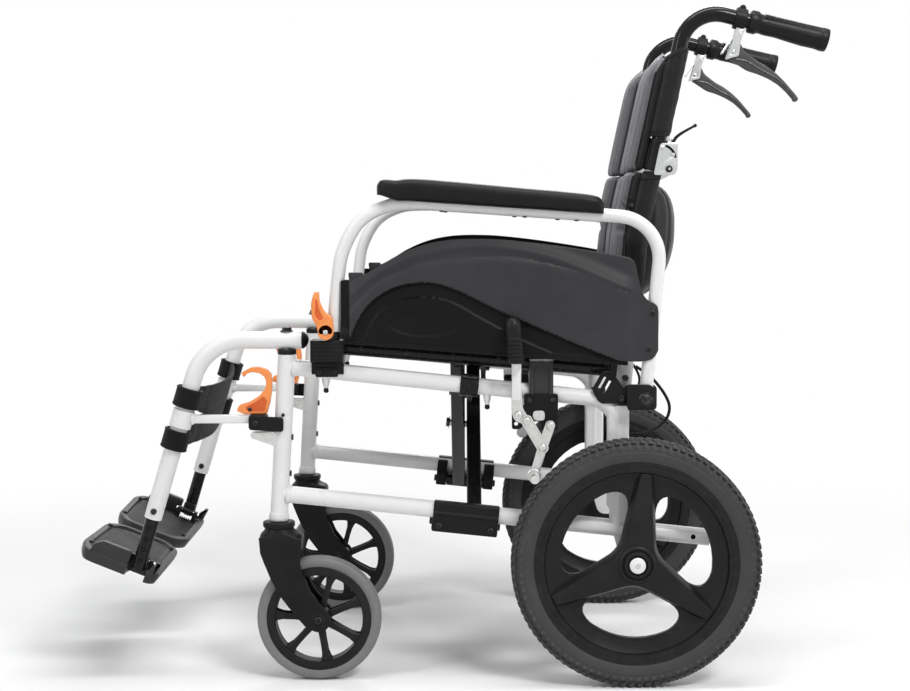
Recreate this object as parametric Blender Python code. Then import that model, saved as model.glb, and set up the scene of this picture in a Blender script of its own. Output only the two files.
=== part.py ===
"""Lightweight folding attendant wheelchair, modelled piece by piece on its joint axes.

Metres. +Z is up, the occupant faces -X, and the occupant's left side is -Y.
Each moving piece is parented to an empty that stands on its joint's axis.
"""
import math

import bmesh
import bpy
from mathutils import Matrix, Vector

for old in list(bpy.data.objects):
    bpy.data.objects.remove(old, do_unlink=True)

# Clearances
GAP = 0.0003
RUN = 0.0004

# Width between the side frames' centre planes, and places across the chair
FRAME_WIDTH = 0.432
FRAME_Y = FRAME_WIDTH / 2
WHEEL_OUT = 0.040
BRACE_IN = 0.020
SEAT_RAIL_IN = 0.019
ARM_OUT = 0.020
PAD_OUT = 0.010
BRAKE_OUT = 0.0185
PLATE_HINGE_IN = 0.0195
PLATE_OUT = 0.010
WHEEL_TRACK = FRAME_Y + WHEEL_OUT
BRACE_HALF = FRAME_Y - BRACE_IN
SEAT_RAIL_Y = FRAME_Y - SEAT_RAIL_IN
ARM_Y = FRAME_Y + ARM_OUT
PAD_Y = ARM_Y + PAD_OUT
BRAKE_Y = FRAME_Y + BRAKE_OUT
PLATE_HINGE_Y = FRAME_Y - PLATE_HINGE_IN
PLATE_OUTER_Y = FRAME_Y + PLATE_OUT

# Wheels
WHEEL_R = 0.178
WHEEL_X = 0.2625
TYRE_W = 0.036
TYRE_DEPTH = 0.034
RIM_W = 0.030
AXLE_R = 0.006
HUB_R = 0.026
HUB_W = 0.046
RIM_DEPTH = 0.022
WEB_R = 0.103
WEB_T = 0.008
WHEEL_SPOKES = 3
WHEEL_SPOKE_FROM = 84.3
SPOKE_WING = 0.0245
CAP_R = 0.0115
CASTER_R = 0.090
CASTER_W = 0.028
CASTER_TRAIL = 0.0575
CASTER_AXLE_R = 0.004
CASTER_HUB_R = 0.014
CASTER_TYRE_T = 0.014
CASTER_RIM_T = 0.012
CASTER_SPOKES = 7
CASTER_SPOKE_FROM = -80.8
FORK_COLLAR_R = 0.023
FORK_LEG = 0.006
FORK_TOP_Z = 0.2310
WHEEL_SIDES = 28
CASTER_SIDES = 18

# Side frame
POST_R = 0.0127
POST_FOOT_X = -0.2487
POST_TOP_Z = 0.4755
POST_LEAN = 0.0576
RAIL_R = 0.0118
RAIL_SLOPE = 0.105
UPPER_RAIL_Z = 0.4558
LOWER_RAIL_Z = 0.2712
RAIL_END_X = 0.3718
REAR_POST_X = 0.2395
REAR_POST_LONG = 0.031
REAR_POST_WIDE = 0.022
UPPER_BEND = 0.045

# Seat and cross brace
BRACE_X = 0.0215
BAR = 0.022
BAR_PITCH = 0.024
BRACE_DROP = 0.0205
BRACE_PIN_R = 0.0045
BRACE_EYE_R = 0.0105
BLOCK_LONG = 0.096
EAR_T = 0.017
SEAT_RAIL_R = 0.011
SEAT_FRONT_X = -0.1600
SEAT_REAR_X = 0.2290
SEAT_FRONT_Z = 0.4811
SEAT_SLOPE = 0.0841
SEAT_PAD_T = 0.020
SEAT_PAD_REAR = 0.184
GUIDE_X = 0.129
GUIDE_LONG = 0.034
LINK_LONG = 0.128
LINK_DROP = 12.5
LINK_T = 0.0075
LINK_GAP = 0.0022

# Back
CANE_R = 0.0115
CANE_FOOT_X = 0.2443
CANE_FOOT_Z = 0.3700
CANE_BEND_Z = 0.6500
CANE_LEAN = 0.096
CANE_RECLINE = 0.220
BACK_JOINT_Z = 0.7320
BACK_PIVOT = (0.3114, 0.7348)
BACK_EAR_T = 0.0044
BACK_PIN_R = 0.004
BACK_EYE_R = 0.0075
CHEEK_T = 0.004
RELEASE_PIVOT = (0.3170, 0.7546)
RELEASE_PIN_R = 0.003
HANDLE_CORNER = (0.3388, 0.9652)
HANDLE_BEND = 0.0515
HANDLE_SLOPE = 0.2495
HANDLE_END_X = 0.5300
HANDLE_R = 0.011
GRIP_R = 0.0165
GRIP_START_X = 0.4245
GRIP_END_X = 0.5365
BACK_PAD_LOW_Z = 0.470
BACK_PAD_TOP_Z = 0.912
BACK_PAD_T = 0.012
BACK_PAD_CLEAR = 0.0020
BACK_SEAM_Y = 0.086
BOLSTER_LOW = 0.0295
BOLSTER_TOP = 0.0365
BOLSTER_STEP_Z = 0.675
SLEEVE_T = 0.0025
SLEEVE_LOW_TOP_Z = 0.697
SLEEVE_TOP_LOW_Z = 0.782
POUCH_T = 0.078
POUCH_IN = 0.0132
POUCH_LOW_Z = 0.545
POUCH_TOP_Z = 0.718

# Arm
ARM_R = 0.0095
ARM_PIVOT = (0.2761, 0.4094)
ARM_PIN_R = 0.005
ARM_LATCH_PIVOT = (-0.1760, 0.5060)
ARM_LATCH_R = 0.0112
ARM_LATCH_T = 0.008
ARM_LATCH_PIN_R = 0.0025
ARM_EYE_R = 0.0125
ARM_CORNER_X = 0.3001
ARM_REAR_BEND = 0.060
ARM_FOOT_X = -0.1672
ARM_FOOT_Z = 0.4945
ARM_TOP_X = -0.0371
ARM_TOP_Z = 0.6872
ARM_FALL = 0.0702
PAD_FRONT_X = -0.1027
PAD_REAR_X = 0.2145
PAD_W = 0.046
PAD_T = 0.030
PANEL_T = 0.010
SOCKET_X = -0.1754
SOCKET_LONG = 0.046

# Parking brake, whose places along X are taken from the middle of its shoe
BRAKE_PLATE_T = 0.006
BRAKE_LEVER_AT = (-0.0221, 0.3864)
BRAKE_SHOE_ARM_AT = (0.0229, 0.3717)
BRAKE_LINK_AT = (0.0121, 0.3402)
BRAKE_CRANK = (0.0113, -0.00735)
BRAKE_GRIP_Z = (0.4626, 0.5274)
BRAKE_STRIP = 0.0045
BRAKE_PIN_R = 0.0035
SHOE_R = 0.007
SHOE_GAP = 0.0034
SHOE_Z = 0.2993

# Attendant brake
LEVER_PIVOT = (0.4020, 0.9000)
LEVER_T = 0.007
CABLE_R = 0.0022
LEVER_PIN_R = 0.003
BRACKET_T = 0.0035

# Front rigging
HANGER_R = 0.0127
HANGER_PIN_R = 0.005
HANGER_LATCH_X = -0.2960
HANGER_LATCH_TURN = 22.0
HOOK_TOP_Z = 0.3860
KEEPER_Z = 0.3605
CAP_T = 0.004
HANGER_END_X = -0.2129
HANGER_LOW = (-0.4307, 0.2351)
HANGER_RADIUS = 0.075
HANGER_RAKE = 0.303
FOOT_TUBE_R = 0.010
FOOT_TUBE_IN = 0.080
FOOT_TUBE_TRAVEL = 0.030
FOOT_TUBE_OUT = 0.076
PLATE_INNER_Y = 0.0150
PLATE_LONG = 0.124
PLATE_T = 0.018
PLATE_PITCH = 22.0
PLATE_CENTRE_X = -0.4785
STRAP_T = 0.004
STRAP_TALL = 0.092
STRAP_SPLIT = 0.034
STRAP_Z = 0.380

# The sign of Y on each side of the chair
LEFT = -1
RIGHT = 1
SIDES = ((LEFT, "left"), (RIGHT, "right"))

RAIL_TILT = math.atan(RAIL_SLOPE)
RAIL_DIR = Vector((math.cos(RAIL_TILT), 0.0, -math.sin(RAIL_TILT)))


def post_x(z):
    """Centre of the leaning front post at height z."""
    return POST_FOOT_X + POST_LEAN * (z - FORK_TOP_Z)


def upper_z(x):
    """Centre height of the upper side rail."""
    return UPPER_RAIL_Z - RAIL_SLOPE * (x - POST_FOOT_X)


def lower_z(x):
    """Centre height of the lower side rail."""
    return LOWER_RAIL_Z - RAIL_SLOPE * (x - POST_FOOT_X)


def seat_z(x):
    """Centre height of the seat rail."""
    return SEAT_FRONT_Z - SEAT_SLOPE * (x - SEAT_FRONT_X)


def cane_x(z):
    """Centre of the back cane, which reclines more above its bend."""
    low = CANE_FOOT_X + CANE_LEAN * (min(z, CANE_BEND_Z) - CANE_FOOT_Z)
    return low + CANE_RECLINE * max(z - CANE_BEND_Z, 0.0)


def handle_z(x):
    """Centre height of the push handle behind its bend."""
    return HANDLE_CORNER[1] - HANDLE_SLOPE * (x - HANDLE_CORNER[0])


def hanger_x(z):
    """Centre of the straight lower run of the hanger tube."""
    return HANGER_LOW[0] + HANGER_RAKE * (z - HANGER_LOW[1])


def tyre_front(z, reach=0.0):
    """Front edge at height z of the rear tyre, grown by reach."""
    return WHEEL_X - math.sqrt((WHEEL_R + reach) ** 2 - (z - WHEEL_R) ** 2)


def from_shoe(place):
    """A point of the parking brake, given from the middle of its shoe along X and by its height."""
    return (SHOE_X + place[0], place[1])


SHOE_X = tyre_front(SHOE_Z, SHOE_GAP + SHOE_R)
BRAKE_LEVER_PIVOT = from_shoe(BRAKE_LEVER_AT)
BRAKE_SHOE_PIVOT = from_shoe(BRAKE_SHOE_ARM_AT)
BRAKE_LINK_JOINT = from_shoe(BRAKE_LINK_AT)
CANE_Y = FRAME_Y - REAR_POST_WIDE / 2 - GAP - CANE_R
POUCH_HALF = CANE_Y - POUCH_IN
PAD_REAR_Y = CANE_Y - CANE_R - SLEEVE_T - 0.0072
HANGER_Z = POST_TOP_Z + CAP_T + GAP + HANGER_R
SWING_X = post_x(POST_TOP_Z)
BRACE_PIVOT_Z = lower_z(BRACE_X) - BRACE_DROP
BAR_A_X = BRACE_X + BAR_PITCH / 2
BAR_B_X = BRACE_X - BAR_PITCH / 2
CASTER_AXLE_X = POST_FOOT_X + CASTER_TRAIL
CENTRE_RISE = (seat_z(BRACE_X) - BRACE_PIVOT_Z) * BRACE_HALF / (BRACE_HALF + SEAT_RAIL_Y)
CENTRE_Z = BRACE_PIVOT_Z + CENTRE_RISE

# Materials
COLOURS = {
    "frame_white": ((0.80, 0.80, 0.79), 0.35, 0.0),
    "black_plastic": ((0.02, 0.02, 0.022), 0.5, 0.0),
    "panel_grain": ((0.05, 0.05, 0.055), 0.6, 0.0),
    "mesh_black": ((0.015, 0.015, 0.016), 0.9, 0.0),
    "upholstery": ((0.10, 0.095, 0.115), 0.85, 0.0),
    "orange": ((0.90, 0.30, 0.06), 0.45, 0.0),
    "zinc": ((0.60, 0.60, 0.58), 0.35, 0.9),
    "lever_grey": ((0.12, 0.12, 0.13), 0.4, 0.6),
    "caster_grey": ((0.28, 0.28, 0.29), 0.75, 0.0),
    "tyre_grey": ((0.06, 0.06, 0.065), 0.85, 0.0),
    "rim_black": ((0.015, 0.015, 0.016), 0.35, 0.0),
    "bar_black": ((0.02, 0.02, 0.02), 0.4, 0.3),
    "cable": ((0.02, 0.02, 0.02), 0.5, 0.0),
}


def material_for(node, kind):
    """A separate Principled material for each node, in its kind's colour."""
    colour, rough, metal = COLOURS[kind]
    mat = bpy.data.materials.new(node + "_" + kind)
    mat.use_nodes = True
    shader = mat.node_tree.nodes["Principled BSDF"]
    shader.inputs["Base Color"].default_value = (*colour, 1.0)
    shader.inputs["Roughness"].default_value = rough
    shader.inputs["Metallic"].default_value = metal
    return mat


# Shape tools
def solid_from(bm, name="shape"):
    """Turn a bmesh into an object whose faces point out."""
    bmesh.ops.recalc_face_normals(bm, faces=bm.faces)
    mesh = bpy.data.meshes.new(name)
    bm.to_mesh(mesh)
    bm.free()
    obj = bpy.data.objects.new(name, mesh)
    bpy.context.scene.collection.objects.link(obj)
    return obj


def ring_at(bm, centre, side, up, radius, count, squash=1.0):
    """A ring of vertices round a centre, in the plane of side and up."""
    verts = []
    for k in range(count):
        angle = 2 * math.pi * (k + 0.5) / count
        offset = side * (radius * math.cos(angle)) + up * (radius * squash * math.sin(angle))
        verts.append(bm.verts.new(centre + offset))
    return verts


def bridge(bm, first, second):
    """Quads between two rings of the same count."""
    count = len(first)
    for k in range(count):
        nxt = (k + 1) % count
        bm.faces.new((first[k], first[nxt], second[nxt], second[k]))


def tube(points, radius, count=10, squash=1.0, side=None):
    """A round bar along points, with mitred corners and flat ends.

    radius is one number, or a list with one radius for each point.
    """
    points = [Vector(p) for p in points]
    radii = radius if isinstance(radius, (list, tuple)) else [radius] * len(points)
    bm = bmesh.new()
    start = (points[1] - points[0]).normalized()
    side = Vector(side) if side else start.orthogonal().normalized()
    last = None
    for k, point in enumerate(points):
        before = (point - points[k - 1]).normalized() if k else start
        after = (points[k + 1] - point).normalized() if k + 1 < len(points) else before
        tangent = (before + after).normalized()
        side = (side - tangent * side.dot(tangent)).normalized()
        up = tangent.cross(side)
        verts = ring_at(bm, point, side, up, radii[k], count, squash)
        if last is None:
            bm.faces.new(verts[::-1])
        else:
            bridge(bm, last, verts)
        last = verts
    bm.faces.new(last)
    return solid_from(bm)


def rounded(points, radius, steps=4):
    """Points of a route whose inner corners become arcs of one radius."""
    points = [Vector(p) for p in points]
    route = [points[0]]
    for before, corner, after in zip(points, points[1:], points[2:]):
        d_in = (corner - before).normalized()
        d_out = (after - corner).normalized()
        turn = d_in.angle(d_out)
        if turn < 0.02:
            route.append(corner)
            continue
        reach = radius * math.tan(turn / 2)
        start = corner - d_in * reach
        centre_dir = (d_out - d_in).normalized()
        centre = corner + centre_dir * (radius / math.cos(turn / 2))
        axis = d_in.cross(d_out).normalized()
        for k in range(steps + 1):
            spin = Matrix.Rotation(turn * k / steps, 3, axis)
            route.append(centre + spin @ (start - centre))
    route.append(points[-1])
    return route


def lathe(profile, centre, axis=(0, 1, 0), count=24, tread=False):
    """Turn a closed profile of (along, radius) points round an axis.

    A tread's flats, not its corners, lie at the radius, with one of them at the bottom.
    """
    axis = Vector(axis).normalized()
    side = axis.orthogonal().normalized()
    if tread:
        half_turn = math.pi / count
        side = Matrix.Rotation(half_turn, 3, axis) @ Vector((0, 0, 1)) / math.cos(half_turn)
    bm = bmesh.new()
    verts = []
    for along, radius in profile:
        verts.append(bm.verts.new(axis * along + side * radius))
    for k in range(len(verts)):
        nxt = (k + 1) % len(verts)
        if profile[k][1] or profile[nxt][1]:
            bm.edges.new((verts[k], verts[nxt]))
    bmesh.ops.spin(bm, geom=bm.verts[:] + bm.edges[:], cent=(0, 0, 0), axis=axis,
                   angle=2 * math.pi, steps=count, use_merge=True)
    bmesh.ops.remove_doubles(bm, verts=bm.verts, dist=1e-6)
    bmesh.ops.translate(bm, verts=bm.verts, vec=Vector(centre))
    return solid_from(bm)


def rod(start, end, radius, count=10):
    """A straight round bar."""
    return tube([start, end], radius, count)


def clear_of(radius, count):
    """Radius of a many-sided bore that clears a round bar of this radius."""
    return radius / math.cos(math.pi / count) + GAP


def ring(start, end, outer, inner, count=16):
    """A straight tube with an open bore."""
    start = Vector(start)
    end = Vector(end)
    length = (end - start).length
    profile = ((0, inner), (0, outer), (length, outer), (length, inner))
    return lathe(profile, start, end - start, count)


def slab(outline, y_from, y_to):
    """An (x, z) outline extruded along Y."""
    bm = bmesh.new()
    low, high = sorted((y_from, y_to))
    face = bm.faces.new([bm.verts.new((x, low, z)) for x, z in outline])
    grown = bmesh.ops.extrude_face_region(bm, geom=[face])
    moved = [v for v in grown["geom"] if isinstance(v, bmesh.types.BMVert)]
    bmesh.ops.translate(bm, verts=moved, vec=(0, high - low, 0))
    return solid_from(bm)


def prism(section, start, end):
    """A (y, z) section swept from the plane x = start to x = end."""
    bm = bmesh.new()
    face = bm.faces.new([bm.verts.new((start, y, z)) for y, z in section])
    grown = bmesh.ops.extrude_face_region(bm, geom=[face])
    moved = [v for v in grown["geom"] if isinstance(v, bmesh.types.BMVert)]
    bmesh.ops.translate(bm, verts=moved, vec=(end - start, 0, 0))
    return solid_from(bm)


def box(low, high):
    """A plain block between two corners."""
    x0, x1 = sorted((low[0], high[0]))
    z0, z1 = sorted((low[2], high[2]))
    return slab(((x0, z0), (x1, z0), (x1, z1), (x0, z1)), low[1], high[1])


def corner_arc(outline, radius, steps=2):
    """An (x, z) outline with its corners rounded."""
    count = len(outline)
    result = []
    for k in range(count):
        before = Vector(outline[k - 1])
        corner = Vector(outline[k])
        after = Vector(outline[(k + 1) % count])
        d_in = (corner - before).normalized()
        d_out = (after - corner).normalized()
        turn = d_in.angle(d_out)
        limit = min((corner - before).length, (after - corner).length) * 0.45
        reach = min(radius * math.tan(turn / 2), limit)
        if reach < 1e-5 or turn < 0.05:
            result.append(tuple(corner))
            continue
        start = corner - d_in * reach
        end = corner + d_out * reach
        for s in range(steps + 1):
            t = s / steps
            point = start * (1 - t) ** 2 + corner * (2 * t * (1 - t)) + end * t ** 2
            result.append(tuple(point))
    return result


def smooth_route(points, steps=4):
    """Points along a smooth curve that passes through each given point."""
    points = [Vector(p) for p in points]
    padded = [points[0] * 2 - points[1]] + points + [points[-1] * 2 - points[-2]]
    route = []
    for k in range(1, len(padded) - 2):
        a, b, c, d = padded[k - 1:k + 3]
        for s in range(steps):
            t = s / steps
            route.append(0.5 * (2 * b + (c - a) * t + (2 * a - 5 * b + 4 * c - d) * t ** 2
                                + (3 * b - a - 3 * c + d) * t ** 3))
    route.append(points[-1])
    return route


def strip_outline(start, end, width, steps=4):
    """A flat bar's outline with round ends, in the (x, z) plane."""
    a = Vector(start)
    b = Vector(end)
    along = (b - a).normalized()
    across = Vector((-along.y, along.x))
    half = width / 2
    outline = []
    for k in range(steps + 1):
        angle = math.pi * k / steps
        outline.append(tuple(b + across * half * math.cos(angle) + along * half * math.sin(angle)))
    for k in range(steps + 1):
        angle = math.pi * k / steps
        outline.append(tuple(a - across * half * math.cos(angle) - along * half * math.sin(angle)))
    return outline


def combine(base, others, operation):
    """Apply one exact Boolean for each other shape, and remove those shapes."""
    for other in others:
        step = base.modifiers.new("step", "BOOLEAN")
        step.operation = operation
        step.solver = "EXACT"
        step.object = other
        graph = bpy.context.evaluated_depsgraph_get()
        graph.update()
        mesh = bpy.data.meshes.new_from_object(base.evaluated_get(graph))
        base.modifiers.clear()
        base.data = mesh
        bpy.data.objects.remove(other, do_unlink=True)
    return base


def fuse(base, *others):
    """Join shapes into one body."""
    return combine(base, others, "UNION")


def cut(base, *others):
    """Cut shapes out of a body."""
    return combine(base, others, "DIFFERENCE")


# Bodies: one empty on each joint's axis
AXES = {}


def body(name, at, parent=None):
    """An empty on a joint's axis, which carries the pieces that move there."""
    empty = bpy.data.objects.new("axis_" + name, None)
    bpy.context.scene.collection.objects.link(empty)
    at = Vector(at)
    if parent:
        empty.parent = AXES[parent][0]
        empty.location = at - AXES[parent][1]
    else:
        empty.location = at
    AXES[name] = (empty, at)
    return name


def keep(obj, name, owner, kind):
    """Name a finished piece, give it its material and hang it on its body."""
    empty, at = AXES[owner]
    bm = bmesh.new()
    bm.from_mesh(obj.data)
    bmesh.ops.translate(bm, verts=bm.verts, vec=-at)
    bmesh.ops.dissolve_degenerate(bm, dist=1e-7, edges=bm.edges)
    bmesh.ops.triangulate(bm, faces=bm.faces)
    bm.to_mesh(obj.data)
    bm.free()
    obj.name = name
    obj.data.name = name
    obj.data.materials.clear()
    obj.data.materials.append(material_for(name, kind))
    obj.data.shade_smooth()
    obj.data.set_sharp_from_angle(angle=math.radians(35))
    obj.parent = empty
    return obj


# Wheels
def rear_wheel(s, side):
    """Three-spoke wheel with its tyre, on a fixed axle pin."""
    y = s * WHEEL_TRACK
    at = (WHEEL_X, y, WHEEL_R)
    owner = body("wheel_" + side, at, frame_of(side))
    half = TYRE_W / 2
    seat = WHEEL_R - TYRE_DEPTH
    tyre = lathe(((-half * 0.62, seat), (-half, seat + 0.010), (-half * 0.94, WHEEL_R - 0.012),
                  (-half * 0.62, WHEEL_R - 0.003), (-half * 0.25, WHEEL_R), (half * 0.25, WHEEL_R),
                  (half * 0.62, WHEEL_R - 0.003), (half * 0.94, WHEEL_R - 0.012),
                  (half, seat + 0.010), (half * 0.62, seat)), at, count=WHEEL_SIDES, tread=True)
    keep(tyre, "rear_tyre_" + side, owner, "tyre_grey")
    top = seat - GAP
    inner = top - RIM_DEPTH
    lip = RIM_W / 2
    web = WEB_T / 2
    rim = lathe(((-lip, top), (lip, top), (lip, inner + 0.008), (web, inner), (web, WEB_R),
                 (-web, WEB_R), (-web, inner), (-lip, inner + 0.008)), at, count=WHEEL_SIDES, tread=True)
    bore = AXLE_R + RUN
    reach = HUB_W / 2
    hub = lathe(((-reach, bore), (-reach, HUB_R * 0.8), (-reach * 0.5, HUB_R), (reach * 0.5, HUB_R),
                 (reach, HUB_R * 0.8), (reach, bore)), at, count=12)
    spokes = []
    for k in range(WHEEL_SPOKES):
        angle = math.radians(WHEEL_SPOKE_FROM + 360 / WHEEL_SPOKES * k)
        out = Vector((math.cos(angle), 0, math.sin(angle)))
        across = Vector((-out.z, 0, out.x))
        spokes.append(spoke(Vector(at), out, across, HUB_R * 0.7, inner + 0.006))
        spokes.append(wing(Vector(at), out, across, web))
    rim = fuse(rim, hub, *spokes)
    keep(rim, "rear_rim_" + side, owner, "rim_black")


def wing(centre, out, across, half):
    """The thin plate on both sides of a spoke, which widens where it meets the rim."""
    places = ((HUB_R * 0.75, SPOKE_WING), (WEB_R - 0.022, SPOKE_WING), (WEB_R + 0.002, SPOKE_WING * 1.7))
    points = [centre + out * r + across * w for r, w in places]
    points += [centre + out * r - across * w for r, w in reversed(places)]
    y = centre.y
    return slab([(p.x, p.z) for p in points], y - half + GAP, y + half - GAP)


def spoke(centre, out, across, start, end):
    """One tapered spoke, wide and deep at the hub."""
    bm = bmesh.new()
    lateral = Vector((0, 1, 0))
    rings = []
    for t, wide, deep in ((0.0, 0.017, 0.017), (0.35, 0.014, 0.013), (1.0, 0.009, 0.010)):
        point = centre + out * (start + (end - start) * t)
        corners = ((-1, -1), (1, -1), (1, 1), (-1, 1))
        rings.append([bm.verts.new(point + across * wide * a + lateral * deep * b)
                      for a, b in corners])
    bm.faces.new(rings[0][::-1])
    for first, second in zip(rings, rings[1:]):
        bridge(bm, first, second)
    bm.faces.new(rings[-1])
    return solid_from(bm)


def caster(s, side):
    """Swivelling fork with a spoked wheel on its own axle."""
    y = s * FRAME_Y
    swivel = body("caster_" + side, (POST_FOOT_X, y, FORK_TOP_Z), frame_of(side))
    leg_y = CASTER_W / 2 + 0.003
    crown_low = CASTER_R * 2 + 0.006
    axle = (CASTER_AXLE_X, CASTER_R)
    head = lathe(((0, 0.0), (0, FORK_COLLAR_R), (0.0065, FORK_COLLAR_R), (0.0095, 0.021), (0.030, 0.024),
                  (0.030, 0.0)), (POST_FOOT_X, y, FORK_TOP_Z - GAP), (0, 0, -1), 12)
    crown = box((POST_FOOT_X - 0.026, y - leg_y - FORK_LEG, crown_low),
                (POST_FOOT_X + 0.032, y + leg_y + FORK_LEG, FORK_TOP_Z - 0.018))
    leg = corner_arc(((POST_FOOT_X - 0.028, FORK_TOP_Z - 0.019), (POST_FOOT_X - 0.026, 0.184),
                      (POST_FOOT_X - 0.012, 0.150),
                      (axle[0] - 0.018, axle[1] + 0.002), (axle[0] - 0.006, axle[1] - 0.016),
                      (axle[0] + 0.014, axle[1] - 0.010), (axle[0] + 0.012, axle[1] + 0.016),
                      (POST_FOOT_X + 0.030, 0.172), (POST_FOOT_X + 0.034, FORK_TOP_Z - 0.020)),
                     0.012, 1)
    legs = [slab(leg, y + d * leg_y, y + d * (leg_y + FORK_LEG)) for d in (-1, 1)]
    pin = rod((axle[0], y - leg_y - FORK_LEG - 0.003, axle[1]),
              (axle[0], y + leg_y + FORK_LEG + 0.003, axle[1]), CASTER_AXLE_R, 12)
    fork = fuse(crown, head, *legs, pin)
    keep(fork, "caster_fork_" + side, swivel, "black_plastic")

    spin = body("caster_wheel_" + side, (axle[0], y, axle[1]), swivel)
    at = (axle[0], y, axle[1])
    half = CASTER_W / 2
    tread = CASTER_R - CASTER_TYRE_T
    tyre = lathe(((-half * 0.7, tread), (-half, tread + 0.006), (-half * 0.8, CASTER_R - 0.003),
                  (-half * 0.35, CASTER_R), (half * 0.35, CASTER_R),
                  (half * 0.8, CASTER_R - 0.003), (half, tread + 0.006), (half * 0.7, tread)),
                 at, count=CASTER_SIDES, tread=True)
    inner = tread - CASTER_RIM_T
    rim = lathe(((-half * 0.7, inner), (-half * 0.7, tread + 0.001), (half * 0.7, tread + 0.001),
                 (half * 0.7, inner)), at, count=CASTER_SIDES, tread=True)
    bore = CASTER_AXLE_R + RUN
    hub = lathe(((-half - 0.002, bore), (-half - 0.002, CASTER_HUB_R * 0.8),
                 (-half * 0.6, CASTER_HUB_R), (half * 0.6, CASTER_HUB_R),
                 (half + 0.002, CASTER_HUB_R * 0.8), (half + 0.002, bore)), at, count=12)
    spokes = []
    for k in range(CASTER_SPOKES):
        angle = math.radians(CASTER_SPOKE_FROM + 360 / CASTER_SPOKES * k)
        out = Vector((math.cos(angle), 0, math.sin(angle)))
        across = Vector((-out.z, 0, out.x))
        start = Vector(at) + out * (CASTER_HUB_R - 0.003)
        end = Vector(at) + out * (inner + 0.003)
        spokes.append(bar_between(start, end, across, Vector((0, 1, 0)), 0.0032, half * 0.42))
    wheel = fuse(tyre, rim, hub, *spokes)
    keep(wheel, "caster_wheel_" + side, spin, "caster_grey")


def bar_between(start, end, across, lateral, wide, deep):
    """A straight bar of rectangular section; wide and deep are half sizes."""
    bm = bmesh.new()
    rings = []
    for point in (start, end):
        rings.append([bm.verts.new(point + across * wide * a + lateral * deep * b)
                      for a, b in ((-1, -1), (1, -1), (1, 1), (-1, 1))])
    bm.faces.new(rings[0][::-1])
    bridge(bm, rings[0], rings[1])
    bm.faces.new(rings[1])
    return solid_from(bm)


def frame_of(side):
    """The body that each side's fixed pieces belong to."""
    return "frame_" + side


# Side frame
def side_frame(s, side):
    """Welded side frame with its rails, posts, lugs, pins and axle."""
    y = s * FRAME_Y
    owner = frame_of(side)
    foot_z = FORK_TOP_Z + GAP + POST_R * POST_LEAN
    post = rod((post_x(foot_z), y, foot_z), (post_x(POST_TOP_Z), y, POST_TOP_Z), POST_R, 12)
    cap = rod((SWING_X, y, POST_TOP_Z - 0.004), (SWING_X, y, POST_TOP_Z + CAP_T), POST_R + 0.0008, 10)
    pin = rod((SWING_X, y, POST_TOP_Z), (SWING_X, y, HANGER_Z + HANGER_R + 0.002), HANGER_PIN_R, 10)
    head = rod((SWING_X, y, HANGER_Z + HANGER_R + GAP),
               (SWING_X, y, HANGER_Z + HANGER_R + 0.0052), 0.0085, 6)
    start = post_x(UPPER_RAIL_Z)
    bend = rounded(((start, y, upper_z(start)), (REAR_POST_X, y, upper_z(REAR_POST_X)),
                    (REAR_POST_X, y, lower_z(REAR_POST_X))), UPPER_BEND, 3)
    upper = tube(bend, RAIL_R, 10, side=(0, 1, 0))
    start = post_x(LOWER_RAIL_Z)
    lower = rod((start, y, lower_z(start)), (RAIL_END_X, y, lower_z(RAIL_END_X)), RAIL_R + 0.0004, 10)
    half = REAR_POST_LONG / 2
    wide = REAR_POST_WIDE / 2
    top = upper_z(REAR_POST_X) - 0.006
    rear = slab(corner_arc(((REAR_POST_X - half, 0.262), (REAR_POST_X - half + 0.008, 0.224),
                            (REAR_POST_X + half, 0.222), (REAR_POST_X + half, top),
                            (REAR_POST_X - half, top)), 0.006, 2), y - wide, y + wide)
    axle_plate = slab(corner_arc(((WHEEL_X - 0.032, lower_z(WHEEL_X) + 0.004),
                                  (WHEEL_X - 0.015, WHEEL_R - 0.016),
                                  (WHEEL_X + 0.015, WHEEL_R - 0.016),
                                  (WHEEL_X + 0.032, lower_z(WHEEL_X) - 0.002)), 0.008, 2),
                      y - 0.004, y + 0.004)
    hub_end = s * (WHEEL_TRACK + HUB_W / 2)
    axle = rod((WHEEL_X, y - s * 0.003, WHEEL_R), (WHEEL_X, hub_end + s * 0.003, WHEEL_R), AXLE_R, 10)
    shoulder = rod((WHEEL_X, y, WHEEL_R), (WHEEL_X, s * (WHEEL_TRACK - HUB_W / 2 - GAP), WHEEL_R),
                   0.010, 10)
    nut = rod((WHEEL_X, hub_end + s * GAP, WHEEL_R), (WHEEL_X, hub_end + s * 0.0045, WHEEL_R), CAP_R, 10)
    keeper_x = post_x(KEEPER_Z) - POST_R
    keeper = slab(corner_arc(((keeper_x - 0.033, KEEPER_Z), (keeper_x + 0.006, KEEPER_Z),
                              (keeper_x + 0.006, KEEPER_Z - 0.021), (keeper_x - 0.002, KEEPER_Z - 0.019),
                              (keeper_x - 0.033, KEEPER_Z - 0.008)), 0.003, 1), y - 0.009, y + 0.009)
    return fuse(post, cap, pin, head, upper, rear, lower, axle_plate, axle, shoulder, nut, keeper,
                *brace_block(s), seat_guide(s), *brake_mount(s), *arm_bracket(s), belt_anchor(s),
                *post_bolts(s))


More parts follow.
